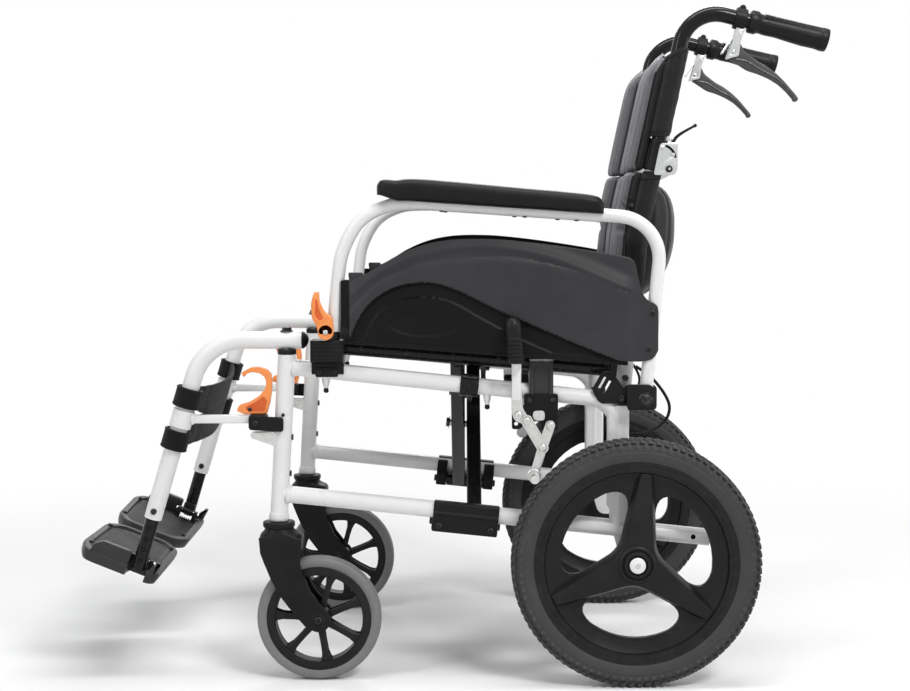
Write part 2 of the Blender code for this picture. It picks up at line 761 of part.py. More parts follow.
def brace_block(s):
    """Bearing block clamped on the lower rail, with two ears and the pin of the cross bar."""
    y = s * FRAME_Y
    pivot_y = s * BRACE_HALF
    parts = []
    half = BLOCK_LONG / 2
    outer = 0.0155
    section = ((y + s * outer, 0.014), (y + s * outer, -0.030), (y - s * 0.004, -0.030),
               (y - s * 0.004, 0.014))
    parts.append(sloped_prism(section, 0.0008 - half, half - 0.0008))
    for sign in (-1, 1):
        low, high = sorted((sign * half, sign * (half - EAR_T)))
        ear = ((y, 0.010), (y, -0.031), (pivot_y - s * 0.010, -0.031), (pivot_y - s * 0.010, -0.010),
               (y - s * 0.010, 0.010))
        parts.append(sloped_prism(ear, low, high))
    ends = (half - 0.004)
    parts.append(rod(rail_point(-ends, pivot_y, -BRACE_DROP), rail_point(ends, pivot_y, -BRACE_DROP),
                     BRACE_PIN_R, 12))
    return parts


def rail_point(along, y, up):
    """A point given along the lower rail from the brace, and above its centre line."""
    base = Vector((BRACE_X, y, lower_z(BRACE_X)))
    return base + RAIL_DIR * along + Vector((RAIL_DIR.z * -1, 0, RAIL_DIR.x)) * up


def sloped_prism(section, start, end):
    """A (y, up) section swept along the lower rail's slope."""
    bm = bmesh.new()
    rings = []
    for along in (start, end):
        rings.append([bm.verts.new(rail_point(along, y, up)) for y, up in section])
    bm.faces.new(rings[0][::-1])
    bridge(bm, rings[0], rings[1])
    bm.faces.new(rings[1])
    return solid_from(bm)


def seat_guide(s):
    """Plastic cradle on the upper rail that the seat rail rests in."""
    x0 = GUIDE_X - GUIDE_LONG / 2
    x1 = GUIDE_X + GUIDE_LONG / 2
    shelf = seat_z(x1) - SEAT_RAIL_R - GAP
    wall = s * (SEAT_RAIL_Y + SEAT_RAIL_R + 0.0015)
    out = s * (FRAME_Y + RAIL_R + 0.004)
    low = upper_z(GUIDE_X) - RAIL_R - 0.003
    lip = s * (SEAT_RAIL_Y - SEAT_RAIL_R)
    section = ((out, low), (out, shelf + 0.020), (wall, shelf + 0.020), (wall, shelf), (lip, shelf),
               (lip, shelf - 0.006), (s * (FRAME_Y - RAIL_R - 0.003), shelf - 0.010),
               (s * (FRAME_Y - RAIL_R - 0.003), low))
    return prism(section, x0, x1)


def brake_mount(s):
    """Brake plate under the upper rail, with the pivot pins of lever and shoe."""
    inner = s * (BRAKE_Y - BRAKE_PLATE_T)
    outer = s * BRAKE_Y
    lx, lz = BRAKE_LEVER_PIVOT
    sx, sz = BRAKE_SHOE_PIVOT
    front = lx - 0.0092
    rear = sx + 0.0113
    under = sz - 0.0078
    top = upper_z(lx) - 0.0016
    plate = slab(corner_arc(((front, lz - 0.009), (front, top), (lx + 0.0138, top + 0.006), (rear, top),
                             (rear, under), (sx - 0.0112, under), (lx + 0.0188, under + 0.010)), 0.006, 2),
                 inner, outer)
    pins = []
    for x, z in (BRAKE_LEVER_PIVOT, BRAKE_SHOE_PIVOT):
        tip = s * (BRAKE_Y + BRAKE_STRIP * 2 + GAP * 3)
        pins.append(rod((x, inner + s * 0.002, z), (x, tip, z), BRAKE_PIN_R, 8))
    return [plate] + pins


def arm_bracket(s):
    """Bracket on the rear post with the pin that the arm turns on."""
    x, z = ARM_PIVOT
    inner = s * (FRAME_Y - 0.006)
    face = s * (ARM_Y - ARM_R - GAP)
    plate = slab(corner_arc(((REAR_POST_X, z - 0.018), (x + 0.018, z - 0.018), (x + 0.018, z + 0.018),
                             (REAR_POST_X + 0.012, z + 0.018), (REAR_POST_X, z + 0.004)), 0.006, 2),
                 inner, face)
    end = s * (ARM_Y + ARM_R)
    pin = rod((x, inner + s * 0.004, z), (x, end + s * 0.002, z), ARM_PIN_R, 10)
    head = rod((x, end + s * GAP, z), (x, end + s * 0.0045, z), 0.009, 6)
    return [plate, pin, head]


def belt_anchor(s):
    """Plate for a lap belt, bolted outside the upper rail."""
    outline = corner_arc(((0.2006, 0.4210), (0.2150, 0.4470), (0.2290, 0.4485), (0.2520, 0.4160),
                          (0.2520, 0.4016), (0.2120, 0.4016)), 0.006, 2)
    inner = s * (FRAME_Y + 0.004)
    return slab(outline, inner, inner + s * 0.0115)


def post_bolts(s):
    """Two screw heads behind the front post."""
    y = s * FRAME_Y
    heads = []
    for z in (0.3526, 0.3000):
        x = post_x(z) + POST_R
        heads.append(rod((x - 0.006, y, z), (x + 0.006, y, z), 0.0048, 6))
    return heads


def arm_socket(s, side):
    """Receiver on the upper rail that the arm's front foot stands on."""
    x0 = SOCKET_X - SOCKET_LONG / 2
    x1 = SOCKET_X + SOCKET_LONG / 2
    top = ARM_FOOT_Z - GAP
    out = s * (ARM_Y + ARM_R + 0.004)
    inner = s * (FRAME_Y - RAIL_R - 0.0035)
    rail = upper_z(SOCKET_X)
    step = s * (SEAT_RAIL_Y + SEAT_RAIL_R + 0.0015)
    section = ((out, top), (out, rail + 0.016), (s * (FRAME_Y + RAIL_R + 0.004), rail + 0.012),
               (s * (FRAME_Y + RAIL_R + 0.004), rail - 0.004), (inner, rail - 0.004),
               (inner, rail + RAIL_R + 0.003), (step, rail + RAIL_R + 0.005), (step, top))
    block = prism(section, x0, x1)
    bore_r = clear_of(RAIL_R, 12)
    start = x0 - 0.01
    end = x1 + 0.01
    tunnel = rod((start, s * FRAME_Y, upper_z(start)), (end, s * FRAME_Y, upper_z(end)), bore_r, 12)
    slot = box((start, s * (FRAME_Y - bore_r * 0.97), rail - 0.02),
               (end, s * (FRAME_Y + bore_r * 0.97), rail - 0.0005))
    block = cut(block, tunnel, slot)
    px, pz = ARM_LATCH_PIVOT
    latch_in = s * (ARM_Y + ARM_R + GAP)
    ear_in = latch_in + s * (ARM_LATCH_T + GAP)
    ear = slab(corner_arc(((px - 0.009, rail + 0.020), (px + 0.009, rail + 0.020),
                           (px + 0.007, pz + 0.006), (px - 0.007, pz + 0.006)), 0.005, 2),
               ear_in, ear_in + s * 0.003)
    shelf = box((px - 0.009, out - s * 0.003, rail + 0.020), (px + 0.009, ear_in + s * 0.0025,
                                                              rail + 0.032))
    pin = rod((px, latch_in + s * 0.0008, pz), (px, ear_in + s * 0.002, pz), ARM_LATCH_PIN_R, 8)
    block = fuse(block, shelf, ear, pin)
    keep(block, "arm_socket_" + side, frame_of(side), "black_plastic")


# Back
def back_cane(s, side):
    """Lower back cane with the ear and pin of the half-fold joint."""
    y = s * CANE_Y
    points = [(cane_x(z), y, z) for z in (CANE_FOOT_Z, CANE_BEND_Z - 0.02, CANE_BEND_Z + 0.02,
                                          BACK_JOINT_Z)]
    cane = tube(points, CANE_R, 10, side=(0, 1, 0))
    px, pz = BACK_PIVOT
    half = BACK_EAR_T / 2
    ear = slab(corner_arc(((cane_x(0.700), 0.700), (px + 0.004, pz - 0.012), (px + 0.0065, pz - 0.002),
                           (px - 0.0055, pz + 0.002), (px - 0.008, BACK_JOINT_Z - 0.004),
                           (cane_x(0.725), 0.7265)), 0.003, 2),
               y - half, y + half)
    eye = rod((px, y - half * 0.98, pz), (px, y + half * 0.98, pz), BACK_EYE_R, 12)
    reach = half + CHEEK_T + 0.003
    pin = rod((px, y - reach, pz), (px, y + reach, pz), BACK_PIN_R, 8)
    cane = fuse(cane, ear, eye, pin)
    keep(cane, "back_cane_" + side, frame_of(side), "mesh_black")


def handle_post(s, side):
    """Folding upper cane and push handle in one tube, with its hinge cheeks."""
    y = s * CANE_Y
    px, pz = BACK_PIVOT
    owner = body("back_" + side, (px, y, pz), frame_of(side))
    low = BACK_JOINT_Z + GAP * 2
    corner = (HANDLE_CORNER[0], y, HANDLE_CORNER[1])
    end = (HANDLE_END_X, y, handle_z(HANDLE_END_X))
    route = rounded(((folding_post_x(low), y, low), corner, end), HANDLE_BEND, 4)
    post = tube(route, HANDLE_R, 10, side=(0, 1, 0))
    foot = rod((folding_post_x(low), y, low), (folding_post_x(0.777), y, 0.777), CANE_R + 0.001, 10)
    cheeks = []
    inner = BACK_EAR_T / 2 + GAP
    for d in (-1, 1):
        plate = slab(corner_arc(((cane_x(0.744), 0.7440), (px - 0.010, pz + 0.0035),
                                 (px - 0.006, pz - 0.008), (px + 0.006, pz - 0.008),
                                 (px + 0.014, 0.772), (cane_x(0.772), 0.775)), 0.004, 2),
                     y + d * inner, y + d * (inner + CHEEK_T))
        hole = rod((px, y + d * 0.0005, pz), (px, y + d * 0.02, pz), BACK_PIN_R + RUN, 8)
        rx, rz = RELEASE_PIVOT
        small = rod((rx, y + d * 0.0005, rz), (rx, y + d * 0.02, rz), RELEASE_PIN_R + RUN, 8)
        cheeks.append(cut(plate, hole, small))
    post = fuse(foot, post, *cheeks)
    keep(post, "handle_post_" + side, owner, "mesh_black")
    release_lever(s, side, owner)
    grip(s, side, owner)
    attendant_brake(s, side, owner)


def release_lever(s, side, parent):
    """Thumb lever that frees the half-fold joint."""
    y = s * CANE_Y
    x, z = RELEASE_PIVOT
    owner = body("release_" + side, (x, y, z), parent)
    half = BACK_EAR_T / 2 - GAP
    hub = rod((x, y - half, z), (x, y + half, z), 0.0055, 10)
    blade = tube(smooth_route(((x, y, z), (x + 0.0015, y, z + 0.018), (x + 0.010, y, z + 0.029),
                               (x + 0.0325, y, z + 0.042)), 2), half, 6, side=(0, 1, 0))
    pin = rod((x, y - half - CHEEK_T - GAP, z), (x, y + half + CHEEK_T + GAP, z), RELEASE_PIN_R, 8)
    lever = fuse(hub, blade, pin)
    keep(lever, "back_release_" + side, owner, "black_plastic")


def grip(s, side, owner):
    """Ribbed hand grip over the end of the handle tube."""
    y = s * CANE_Y
    axis = Vector((1, 0, -HANDLE_SLOPE)).normalized()
    start = Vector((GRIP_START_X, y, handle_z(GRIP_START_X)))
    length = (GRIP_END_X - GRIP_START_X) / axis.x
    bore = clear_of(HANDLE_R, 12)
    depth = (HANDLE_END_X - GRIP_START_X) / axis.x + GAP
    profile = ((0, bore), (0, GRIP_R), (0.012, GRIP_R), (0.020, GRIP_R - 0.003),
               (length * 0.5, GRIP_R - 0.001), (length - 0.006, GRIP_R), (length, GRIP_R - 0.003),
               (length, 0.0), (depth, 0.0), (depth, bore))
    keep(lathe(profile, start, axis, 12), "hand_grip_" + side, owner, "black_plastic")


def attendant_brake(s, side, parent):
    """Bracket and squeeze lever under the push handle."""
    y = s * CANE_Y
    axis = Vector((1, 0, -HANDLE_SLOPE)).normalized()
    start = Vector((0.4045, y, handle_z(0.4045)))
    clamp = ring(start, start + axis * 0.016, HANDLE_R + 0.0045, clear_of(HANDLE_R, 10), 10)
    px, pz = LEVER_PIVOT
    inner = LEVER_T / 2 + GAP
    cheeks = []
    for d in (-1, 1):
        outline = ((px - 0.010, pz - 0.010), (px + 0.008, pz - 0.006), (px + 0.0165, 0.9330),
                   (px + 0.0045, 0.9365))
        plate = slab(corner_arc(outline, 0.003, 2), y + d * inner, y + d * (inner + BRACKET_T))
        hole = rod((px, y + d * 0.001, pz), (px, y + d * 0.02, pz), LEVER_PIN_R + RUN, 8)
        cheeks.append(cut(plate, hole))
    bracket = fuse(clamp, *cheeks)
    keep(bracket, "brake_bracket_" + side, parent, "zinc")

    owner = body("hand_brake_" + side, (px, y, pz), parent)
    half = LEVER_T / 2
    outline = corner_arc(((px - 0.006, pz - 0.009), (px - 0.005, pz + 0.008), (px + 0.010, pz + 0.014),
                          (px + 0.016, pz + 0.002), (px + 0.034, pz - 0.012), (px + 0.062, pz - 0.030),
                          (px + 0.083, pz - 0.052), (px + 0.0925, pz - 0.064),
                          (px + 0.0885, pz - 0.070), (px + 0.076, pz - 0.056),
                          (px + 0.052, pz - 0.038), (px + 0.020, pz - 0.026)), 0.004, 2)
    blade = slab(outline, y - half, y + half)
    reach = half + BRACKET_T + GAP
    pin = rod((px, y - reach, pz), (px, y + reach, pz), LEVER_PIN_R, 8)
    keep(fuse(blade, pin), "brake_lever_" + side, owner, "lever_grey")


# Arm
def arm(s, side):
    """Flip-back arm: tube, pad and side panel."""
    y = s * ARM_Y
    x, z = ARM_PIVOT
    owner = body("arm_" + side, (x, y, z), frame_of(side))
    front = smooth_route(((ARM_FOOT_X, y, ARM_FOOT_Z + ARM_R * 0.13), (-0.1592, y, 0.5803),
                          (-0.1505, y, 0.6240), (-0.1255, y, 0.6640), (-0.0840, y, 0.6845),
                          (ARM_TOP_X, y, ARM_TOP_Z)), 2)
    rear = rounded((front.pop(), (ARM_CORNER_X, y, arm_line(ARM_CORNER_X)), (x, y, z)),
                   ARM_REAR_BEND, 4)
    frame = tube(front + rear, ARM_R, 8, side=(0, 1, 0))
    eye = rod((x, y - ARM_R, z), (x, y + ARM_R, z), ARM_EYE_R, 12)
    hole = rod((x, y - 0.03, z), (x, y + 0.03, z), ARM_PIN_R + RUN, 10)
    frame = cut(fuse(frame, eye), hole)
    keep(frame, "arm_tube_" + side, owner, "frame_white")

    pad = arm_pad(s, PAD_FRONT_X, PAD_REAR_X)
    keep(pad, "arm_pad_" + side, owner, "black_plastic")

    outline = ((-0.1545, 0.4950), (-0.1540, 0.5780), (-0.1169, 0.5896), (-0.0747, 0.6137),
               (-0.0306, 0.6306), (0.0206, 0.6362), (0.0902, 0.6332), (0.2039, 0.6201),
               (0.2594, 0.6058), (0.2768, 0.5574), (0.2954, 0.5388), (0.2909, 0.4716),
               (0.2774, 0.4609), (0.2288, 0.4646))
    inner = s * (ARM_Y + ARM_R + GAP)
    panel = slab(outline, inner, inner + s * PANEL_T)
    bevel = panel.modifiers.new("edge", "BEVEL")
    bevel.width = 0.0025
    bevel.segments = 1
    bevel.limit_method = "ANGLE"
    bevel.angle_limit = math.radians(60)
    panel = baked(panel)
    keep(panel, "side_panel_" + side, owner, "panel_grain")


def baked(obj):
    """Replace an object's mesh with its evaluated one and drop its modifiers."""
    graph = bpy.context.evaluated_depsgraph_get()
    graph.update()
    mesh = bpy.data.meshes.new_from_object(obj.evaluated_get(graph))
    obj.modifiers.clear()
    obj.data = mesh
    return obj


def arm_line(x):
    """Height of the arm tube's centre under the pad."""
    return ARM_TOP_Z - ARM_FALL * (x - ARM_TOP_X)


def arm_pad(s, front, rear):
    """Padded arm rest, crowned on top, with a groove that sits on the tube."""
    rings = []
    bm = bmesh.new()
    stations = ((0.0, 0.30, 0.62), (0.05, 0.78, 0.88), (0.18, 1.0, 1.08), (0.45, 1.0, 1.02),
                (0.80, 0.98, 0.94), (0.96, 0.90, 0.84), (1.0, 0.62, 0.55))
    for t, wide, tall in stations:
        x = front + (rear - front) * t
        base = arm_line(max(x, -0.060)) + ARM_R * 0.25
        half = PAD_W / 2 * wide
        height = PAD_T * tall
        section = ((-1.0, 0.0), (-1.0, 0.55), (-0.72, 0.90), (0.0, 1.0), (0.72, 0.90), (1.0, 0.55),
                   (1.0, 0.0))
        rings.append([bm.verts.new((x, s * PAD_Y + a * half, base + b * height))
                      for a, b in section])
    bm.faces.new(rings[0][::-1])
    for first, second in zip(rings, rings[1:]):
        bridge(bm, first, second)
    bm.faces.new(rings[-1])
    pad = solid_from(bm)
    y = s * ARM_Y
    groove = tube(((-0.140, y, arm_line(-0.140) - 0.016), (-0.100, y, arm_line(-0.1) - 0.0055),
                   (-0.0700, y, arm_line(-0.07) + 0.0005), (ARM_TOP_X, y, ARM_TOP_Z),
                   (rear + 0.025, y, arm_line(rear + 0.025))),
                  ARM_R + 0.0012, 10, side=(0, 1, 0))
    return cut(pad, groove)


def arm_latch(s, side):
    """Orange catch beside the arm's foot."""
    x, z = ARM_LATCH_PIVOT
    y0 = s * (ARM_Y + ARM_R + GAP)
    y1 = y0 + s * ARM_LATCH_T
    owner = body("arm_latch_" + side, (x, (y0 + y1) / 2, z), frame_of(side))
    base = rod((x, y0, z), (x, y1, z), ARM_LATCH_R, 12)
    blade = slab(corner_arc(((x - 0.010, z - 0.002), (x - 0.0190, z + 0.016), (x - 0.0165, z + 0.055),
                             (x - 0.0090, z + 0.056), (x - 0.0040, z + 0.031),
                             (x + 0.0100, z + 0.020), (x + 0.0105, z - 0.002)), 0.004, 1), y0, y1)
    hole = rod((x, y0 - s * 0.01, z), (x, y1 + s * 0.01, z), ARM_LATCH_PIN_R + RUN, 8)
    keep(cut(fuse(base, blade), hole), "arm_latch_" + side, owner, "orange")


# Parking brake
def parking_brake(s, side):
    """Lever, link and shoe arm on the brake plate."""
    lx, lz = BRAKE_LEVER_PIVOT
    sx, sz = BRAKE_SHOE_PIVOT
    jx, jz = BRAKE_LINK_JOINT
    y1 = s * (BRAKE_Y + GAP)
    y2 = y1 + s * BRAKE_STRIP
    owner = body("brake_lever_" + side, (lx, y1, lz), frame_of(side))
    low, high = BRAKE_GRIP_Z
    arm_out = corner_arc(((lx - 0.010, lz + 0.004), (lx - 0.006, lz - 0.008), (lx + 0.010, lz - 0.014),
                          (lx + 0.018, lz - 0.009), (lx + 0.006, lz + 0.010), (lx + 0.004, low + 0.004),
                          (lx - 0.010, low + 0.004)), 0.003, 2)
    blade = slab(arm_out, y1, y2)
    hole = rod((lx, y1 - s * 0.01, lz), (lx, y2 + s * 0.01, lz), BRAKE_PIN_R + RUN, 8)
    blade = cut(blade, hole)
    grip_y = s * (ARM_Y + ARM_R + GAP + PANEL_T + 0.0135)
    step = tube(((lx - 0.003, y1 + s * 0.002, low - 0.016), (lx - 0.004, grip_y, low + 0.004)),
                0.0055, 8)
    handle = tube(((lx - 0.004, grip_y, low), (lx - 0.006, grip_y, low + 0.012),
                   (lx - 0.0095, grip_y, high - 0.012), (lx - 0.010, grip_y, high - 0.004),
                   (lx - 0.010, grip_y, high)),
                  [0.0105, 0.0120, 0.0120, 0.0105, 0.0060], 10)
    lever = fuse(blade, step, handle)
    keep(lever, "parking_lever_" + side, owner, "zinc")

    shoe_body = body("brake_shoe_" + side, (sx, y1, sz), frame_of(side))
    upper = slab(strip_outline((sx, sz), (jx, jz), 0.014), y1, y2)
    lower_arm = slab(strip_outline((jx, jz), (SHOE_X, SHOE_Z), 0.013), y1, y2)
    shoe = rod((SHOE_X, y1, SHOE_Z), (SHOE_X, s * (WHEEL_TRACK + TYRE_W / 2), SHOE_Z), SHOE_R, 12)
    hole = rod((sx, y1 - s * 0.01, sz), (sx, y2 + s * 0.01, sz), BRAKE_PIN_R + RUN, 8)
    shoe_arm = cut(fuse(upper, lower_arm, shoe), hole)
    keep(shoe_arm, "brake_shoe_" + side, shoe_body, "zinc")

    top = (lx + BRAKE_CRANK[0], lz + BRAKE_CRANK[1])
    link_body = body("brake_link_" + side, (top[0], y2, top[1]), owner)
    y3 = y2 + s * GAP
    link = slab(strip_outline(top, (jx, jz), 0.012), y3, y3 + s * BRAKE_STRIP)
    keep(link, "brake_link_" + side, link_body, "zinc")


# Front rigging
def hanger(s, side):
    """Swing-away footrest hanger with its brace, latch lever, foot tube and plate."""
    y = s * FRAME_Y
    owner = body("hanger_" + side, (SWING_X, y, HANGER_Z), frame_of(side))
    low = (HANGER_LOW[0], y, HANGER_LOW[1])
    corner = (hanger_x(HANGER_Z), y, HANGER_Z)
    route = rounded(((HANGER_END_X, y, HANGER_Z), corner, low), HANGER_RADIUS, 4)
    main = tube(route, HANGER_R, 12, side=(0, 1, 0))
    dome = lathe(((-0.001, 0.0), (-0.001, HANGER_R * 0.96), (0.005, HANGER_R * 0.75),
                  (0.009, HANGER_R * 0.35), (0.010, 0.0)), (HANGER_END_X, y, HANGER_Z), (1, 0, 0), 12)
    brace_z = 0.381
    hook_front = -0.3060
    brace = box((hanger_x(brace_z), y - 0.006, brace_z - 0.008),
                (hook_front + 0.006, y + 0.006, brace_z + 0.004))
    tee = rod((hanger_x(brace_z - 0.014), y, brace_z - 0.014), (hanger_x(brace_z + 0.012), y,
                                                                 brace_z + 0.012),
              HANGER_R + 0.003, 10)
    side_y = y + s * (POST_R + 0.0012)
    hook = slab(corner_arc(((-0.2887, 0.3855), (-0.2887, 0.3650), (-0.2390, 0.3620),
                            (-0.2390, 0.3830)), 0.004, 2), side_y, side_y + s * 0.005)
    hook_web = box((hook_front, y - s * 0.008, 0.3680), (-0.2630, side_y + s * 0.002, HOOK_TOP_Z))
    main = fuse(main, dome, brace, tee, hook, hook_web)
    down = Vector((-HANGER_RAKE, 0, -1)).normalized()
    mouth = Vector(low)
    bore_r = FOOT_TUBE_R + GAP
    depth = FOOT_TUBE_IN + FOOT_TUBE_TRAVEL + 0.004
    bore = rod(mouth - down * depth, mouth + down * 0.01, bore_r, 12)
    pin_hole = rod((SWING_X, y, HANGER_Z - 0.03), (SWING_X, y, HANGER_Z + 0.03),
                   HANGER_PIN_R + RUN, 10)
    main = cut(main, bore, pin_hole)
    keep(main, "hanger_" + side, owner, "frame_white")

    hx, hz = (HANGER_LATCH_X, HOOK_TOP_Z + GAP)
    latch = body("hanger_latch_" + side, (hx, y, hz), owner)
    toe = 0.011
    toe_rise = toe * math.tan(math.radians(HANGER_LATCH_TURN)) + 0.0003
    outline = corner_arc(((hx, hz), (hx - toe, hz + toe_rise), (-0.2880, 0.4040), (-0.2740, 0.4130),
                          (-0.2640, 0.4320), (-0.2700, 0.4440), (-0.2850, 0.4470),
                          (-0.2960, 0.4390), (-0.2990, 0.4450), (-0.2860, 0.4530),
                          (-0.2660, 0.4520), (-0.2560, 0.4380), (-0.2585, 0.4080),
                          (-0.2640, hz)), 0.0025, 2)
    keep(slab(outline, y - 0.006, y + 0.006), "hanger_latch_" + side, latch, "orange")

    foot = body("footrest_" + side, mouth, owner)
    tip = mouth + down * FOOT_TUBE_OUT
    leg = rod(mouth - down * FOOT_TUBE_IN, tip, FOOT_TUBE_R, 12)
    pitch = math.radians(PLATE_PITCH)
    along = Vector((math.cos(pitch), 0, -math.sin(pitch)))
    hinge = plate_hinge(s, tip)
    barrel = rod(hinge - along * 0.010, hinge + along * 0.010, 0.0055, 10)
    lug = bar_between(tip - down * 0.022 - Vector((0, s * 0.004, 0)),
                      tip - down * 0.001 - Vector((0, s * 0.004, 0)),
                      along, Vector((0, 1, 0)), 0.0098, 0.0125)
    leg = fuse(leg, lug, barrel)
    pin = rod(hinge - along * 0.020, hinge + along * 0.020, 0.003, 10)
    leg = fuse(leg, pin)
    keep(leg, "foot_tube_" + side, foot, "black_plastic")
    footplate(s, side, hinge, along, foot)
    calf_strap(s, side, owner)


def plate_hinge(s, tip):
    """The footplate's hinge point, just inboard of the foot tube's end."""
    return Vector((tip.x + 0.002, s * PLATE_HINGE_Y, tip.z + 0.008))


def footplate(s, side, hinge, along, parent):
    """Flip-up footplate with a raised outer wall, notched round the tube."""
    owner = body("footplate_" + side, hinge, parent)
    up = Vector((-along.z, 0, along.x))
    centre = Vector((PLATE_CENTRE_X, 0, 0))
    shift = (centre.x - hinge.x) / along.x

    def at(a, b, c):
        """A point along the plate, at |y| = b, above the hinge line."""
        return hinge + along * (a + shift) + up * c + Vector((0, s * (b - PLATE_HINGE_Y), 0))

    half = PLATE_LONG / 2
    top = -0.007
    low = top - PLATE_T
    outline = ((-half + 0.012, PLATE_OUTER_Y), (-half, PLATE_OUTER_Y - 0.035),
               (-half + 0.004, PLATE_INNER_Y + 0.030), (-half + 0.022, PLATE_INNER_Y),
               (half - 0.020, PLATE_INNER_Y), (half, PLATE_INNER_Y + 0.030),
               (half, PLATE_OUTER_Y - 0.012), (half - 0.010, PLATE_OUTER_Y))
    bm = bmesh.new()
    lower = [bm.verts.new(at(a * 0.95, max(b, PLATE_INNER_Y + 0.007), low)) for a, b in outline]
    upper = [bm.verts.new(at(a, b, top)) for a, b in outline]
    bm.faces.new(lower[::-1])
    bridge(bm, lower, upper)
    bm.faces.new(upper)
    plate = solid_from(bm)
    wall_front = plate_block(at, (-half + 0.022, -shift - 0.0150), (PLATE_OUTER_Y - 0.012,
                                                                  PLATE_OUTER_Y - 0.001),
                             (low + 0.002, 0.012))
    wall_rear = plate_block(at, (-shift + 0.0150, half - 0.004), (PLATE_OUTER_Y - 0.012,
                                                                PLATE_OUTER_Y - 0.001),
                            (low + 0.002, 0.010))
    lugs = [plate_block(at, (-shift + a, -shift + b), (PLATE_HINGE_Y - 0.006, PLATE_HINGE_Y + 0.005),
                        (low + 0.004, 0.005)) for a, b in ((-0.0175, -0.0105), (0.0105, 0.0175))]
    plate = fuse(plate, wall_front, wall_rear, *lugs)
    notch = plate_block(at, (-shift - 0.0145, -shift + 0.0145), (PLATE_HINGE_Y + 0.0055,
                                                               PLATE_OUTER_Y + 0.02), (-0.05, 0.05))
    slot = FOOT_TUBE_R + 0.0012
    pocket = plate_block(at, (-shift - slot, -shift + slot), (PLATE_HINGE_Y - 0.0095, PLATE_OUTER_Y),
                         (-0.05, 0.05))
    pin_hole = rod(hinge - along * 0.03, hinge + along * 0.03, 0.003 + RUN, 10)
    plate = cut(plate, notch, pocket, pin_hole)
    keep(plate, "footplate_" + side, owner, "black_plastic")


def plate_block(at, a_range, b_range, c_range):
    """A block in the footplate's own directions."""
    bm = bmesh.new()
    a0, a1 = a_range
    b0, b1 = b_range
    lower = [bm.verts.new(at(a, b, c_range[0])) for a, b in ((a0, b0), (a1, b0), (a1, b1), (a0, b1))]
    upper = [bm.verts.new(at(a, b, c_range[1])) for a, b in ((a0, b0), (a1, b0), (a1, b1), (a0, b1))]
    bm.faces.new(lower[::-1])
    bridge(bm, lower, upper)
    bm.faces.new(upper)
    return solid_from(bm)


def calf_strap(s, side, owner):
    """Half of the calf strap, looped round its hanger and open at the middle."""
    y = s * FRAME_Y
    down = Vector((-HANGER_RAKE, 0, -1)).normalized()
    out = Vector((-down.z, 0, down.x))
    middle = Vector((hanger_x(STRAP_Z), y, STRAP_Z))
    loop_in = clear_of(HANGER_R, 12)
    loop_out = loop_in + STRAP_T + 0.001
    half = STRAP_TALL / 2
    loops = [ring(middle + down * (d * half), middle + down * (d * STRAP_SPLIT / 2), loop_out, loop_in, 12)
             for d in (-1, 1)]
    band_y = abs(y) - HANGER_R - 0.0040
    bm = bmesh.new()
    rings = []
    for b, sag in ((band_y, 0.0), (band_y * 0.75, 0.012), (band_y * 0.4, 0.021), (GAP, 0.024)):
        base = Vector((middle.x, s * b, middle.z)) + out * sag
        rings.append([bm.verts.new(base + out * p * STRAP_T / 2 + down * (q * half * 0.985))
                      for p, q in ((-1, -1), (1, -1), (1, 1), (-1, 1))])
    bm.faces.new(rings[0][::-1])
    for first, second in zip(rings, rings[1:]):
        bridge(bm, first, second)
    bm.faces.new(rings[-1])
    keep(fuse(solid_from(bm), *loops), "calf_strap_" + side, owner, "mesh_black")


# Cross brace and seat
def cross_bar(letter, s_foot, owner):
    """One cross bar, from its foot barrel to the seat rail on the other side."""
    x = BAR_A_X if letter == "a" else BAR_B_X
    foot = Vector((x, s_foot * BRACE_HALF, lower_z(x) - BRACE_DROP))
    s_top = -s_foot
    top = Vector((x, s_top * SEAT_RAIL_Y, seat_z(x)))
    along = (top - foot).normalized()
    across = Vector((1, 0, 0))
    lateral = along.cross(across)
    half = BAR / 2 - GAP
    bar = bar_between(foot, top - along * 0.004, across, lateral, half, half)
    half_eye = BLOCK_LONG / 2 - EAR_T - GAP
    barrel = rod(rail_point(-half_eye, foot.y, -BRACE_DROP), rail_point(half_eye, foot.y, -BRACE_DROP),
                 BRACE_EYE_R, 14)
    rail = rod((SEAT_FRONT_X, top.y, seat_z(SEAT_FRONT_X)), (SEAT_REAR_X, top.y, seat_z(SEAT_REAR_X)),
               SEAT_RAIL_R, 12)
    bar = fuse(bar, barrel, rail)
    hole = rod(rail_point(-0.06, foot.y, -BRACE_DROP), rail_point(0.06, foot.y, -BRACE_DROP),
               BRACE_PIN_R + RUN, 12)
    bar = cut(bar, hole)
    centre = Vector((BRACE_X, 0, CENTRE_Z))
    if letter == "a":
        pin = rod(centre - RAIL_DIR * 0.032, centre + RAIL_DIR * 0.004, 0.005, 12)
        head = rod(centre - RAIL_DIR * 0.0300, centre - RAIL_DIR * (BAR_PITCH / 2 + BAR / 2 + 0.0026),
                   0.009, 6)
        bar = fuse(bar, pin, head)
    else:
        hole = rod(centre - RAIL_DIR * 0.05, centre + RAIL_DIR * 0.02, 0.005 + RUN, 12)
        bar = cut(bar, hole)
    keep(bar, "cross_bar_" + letter, owner, "bar_black")


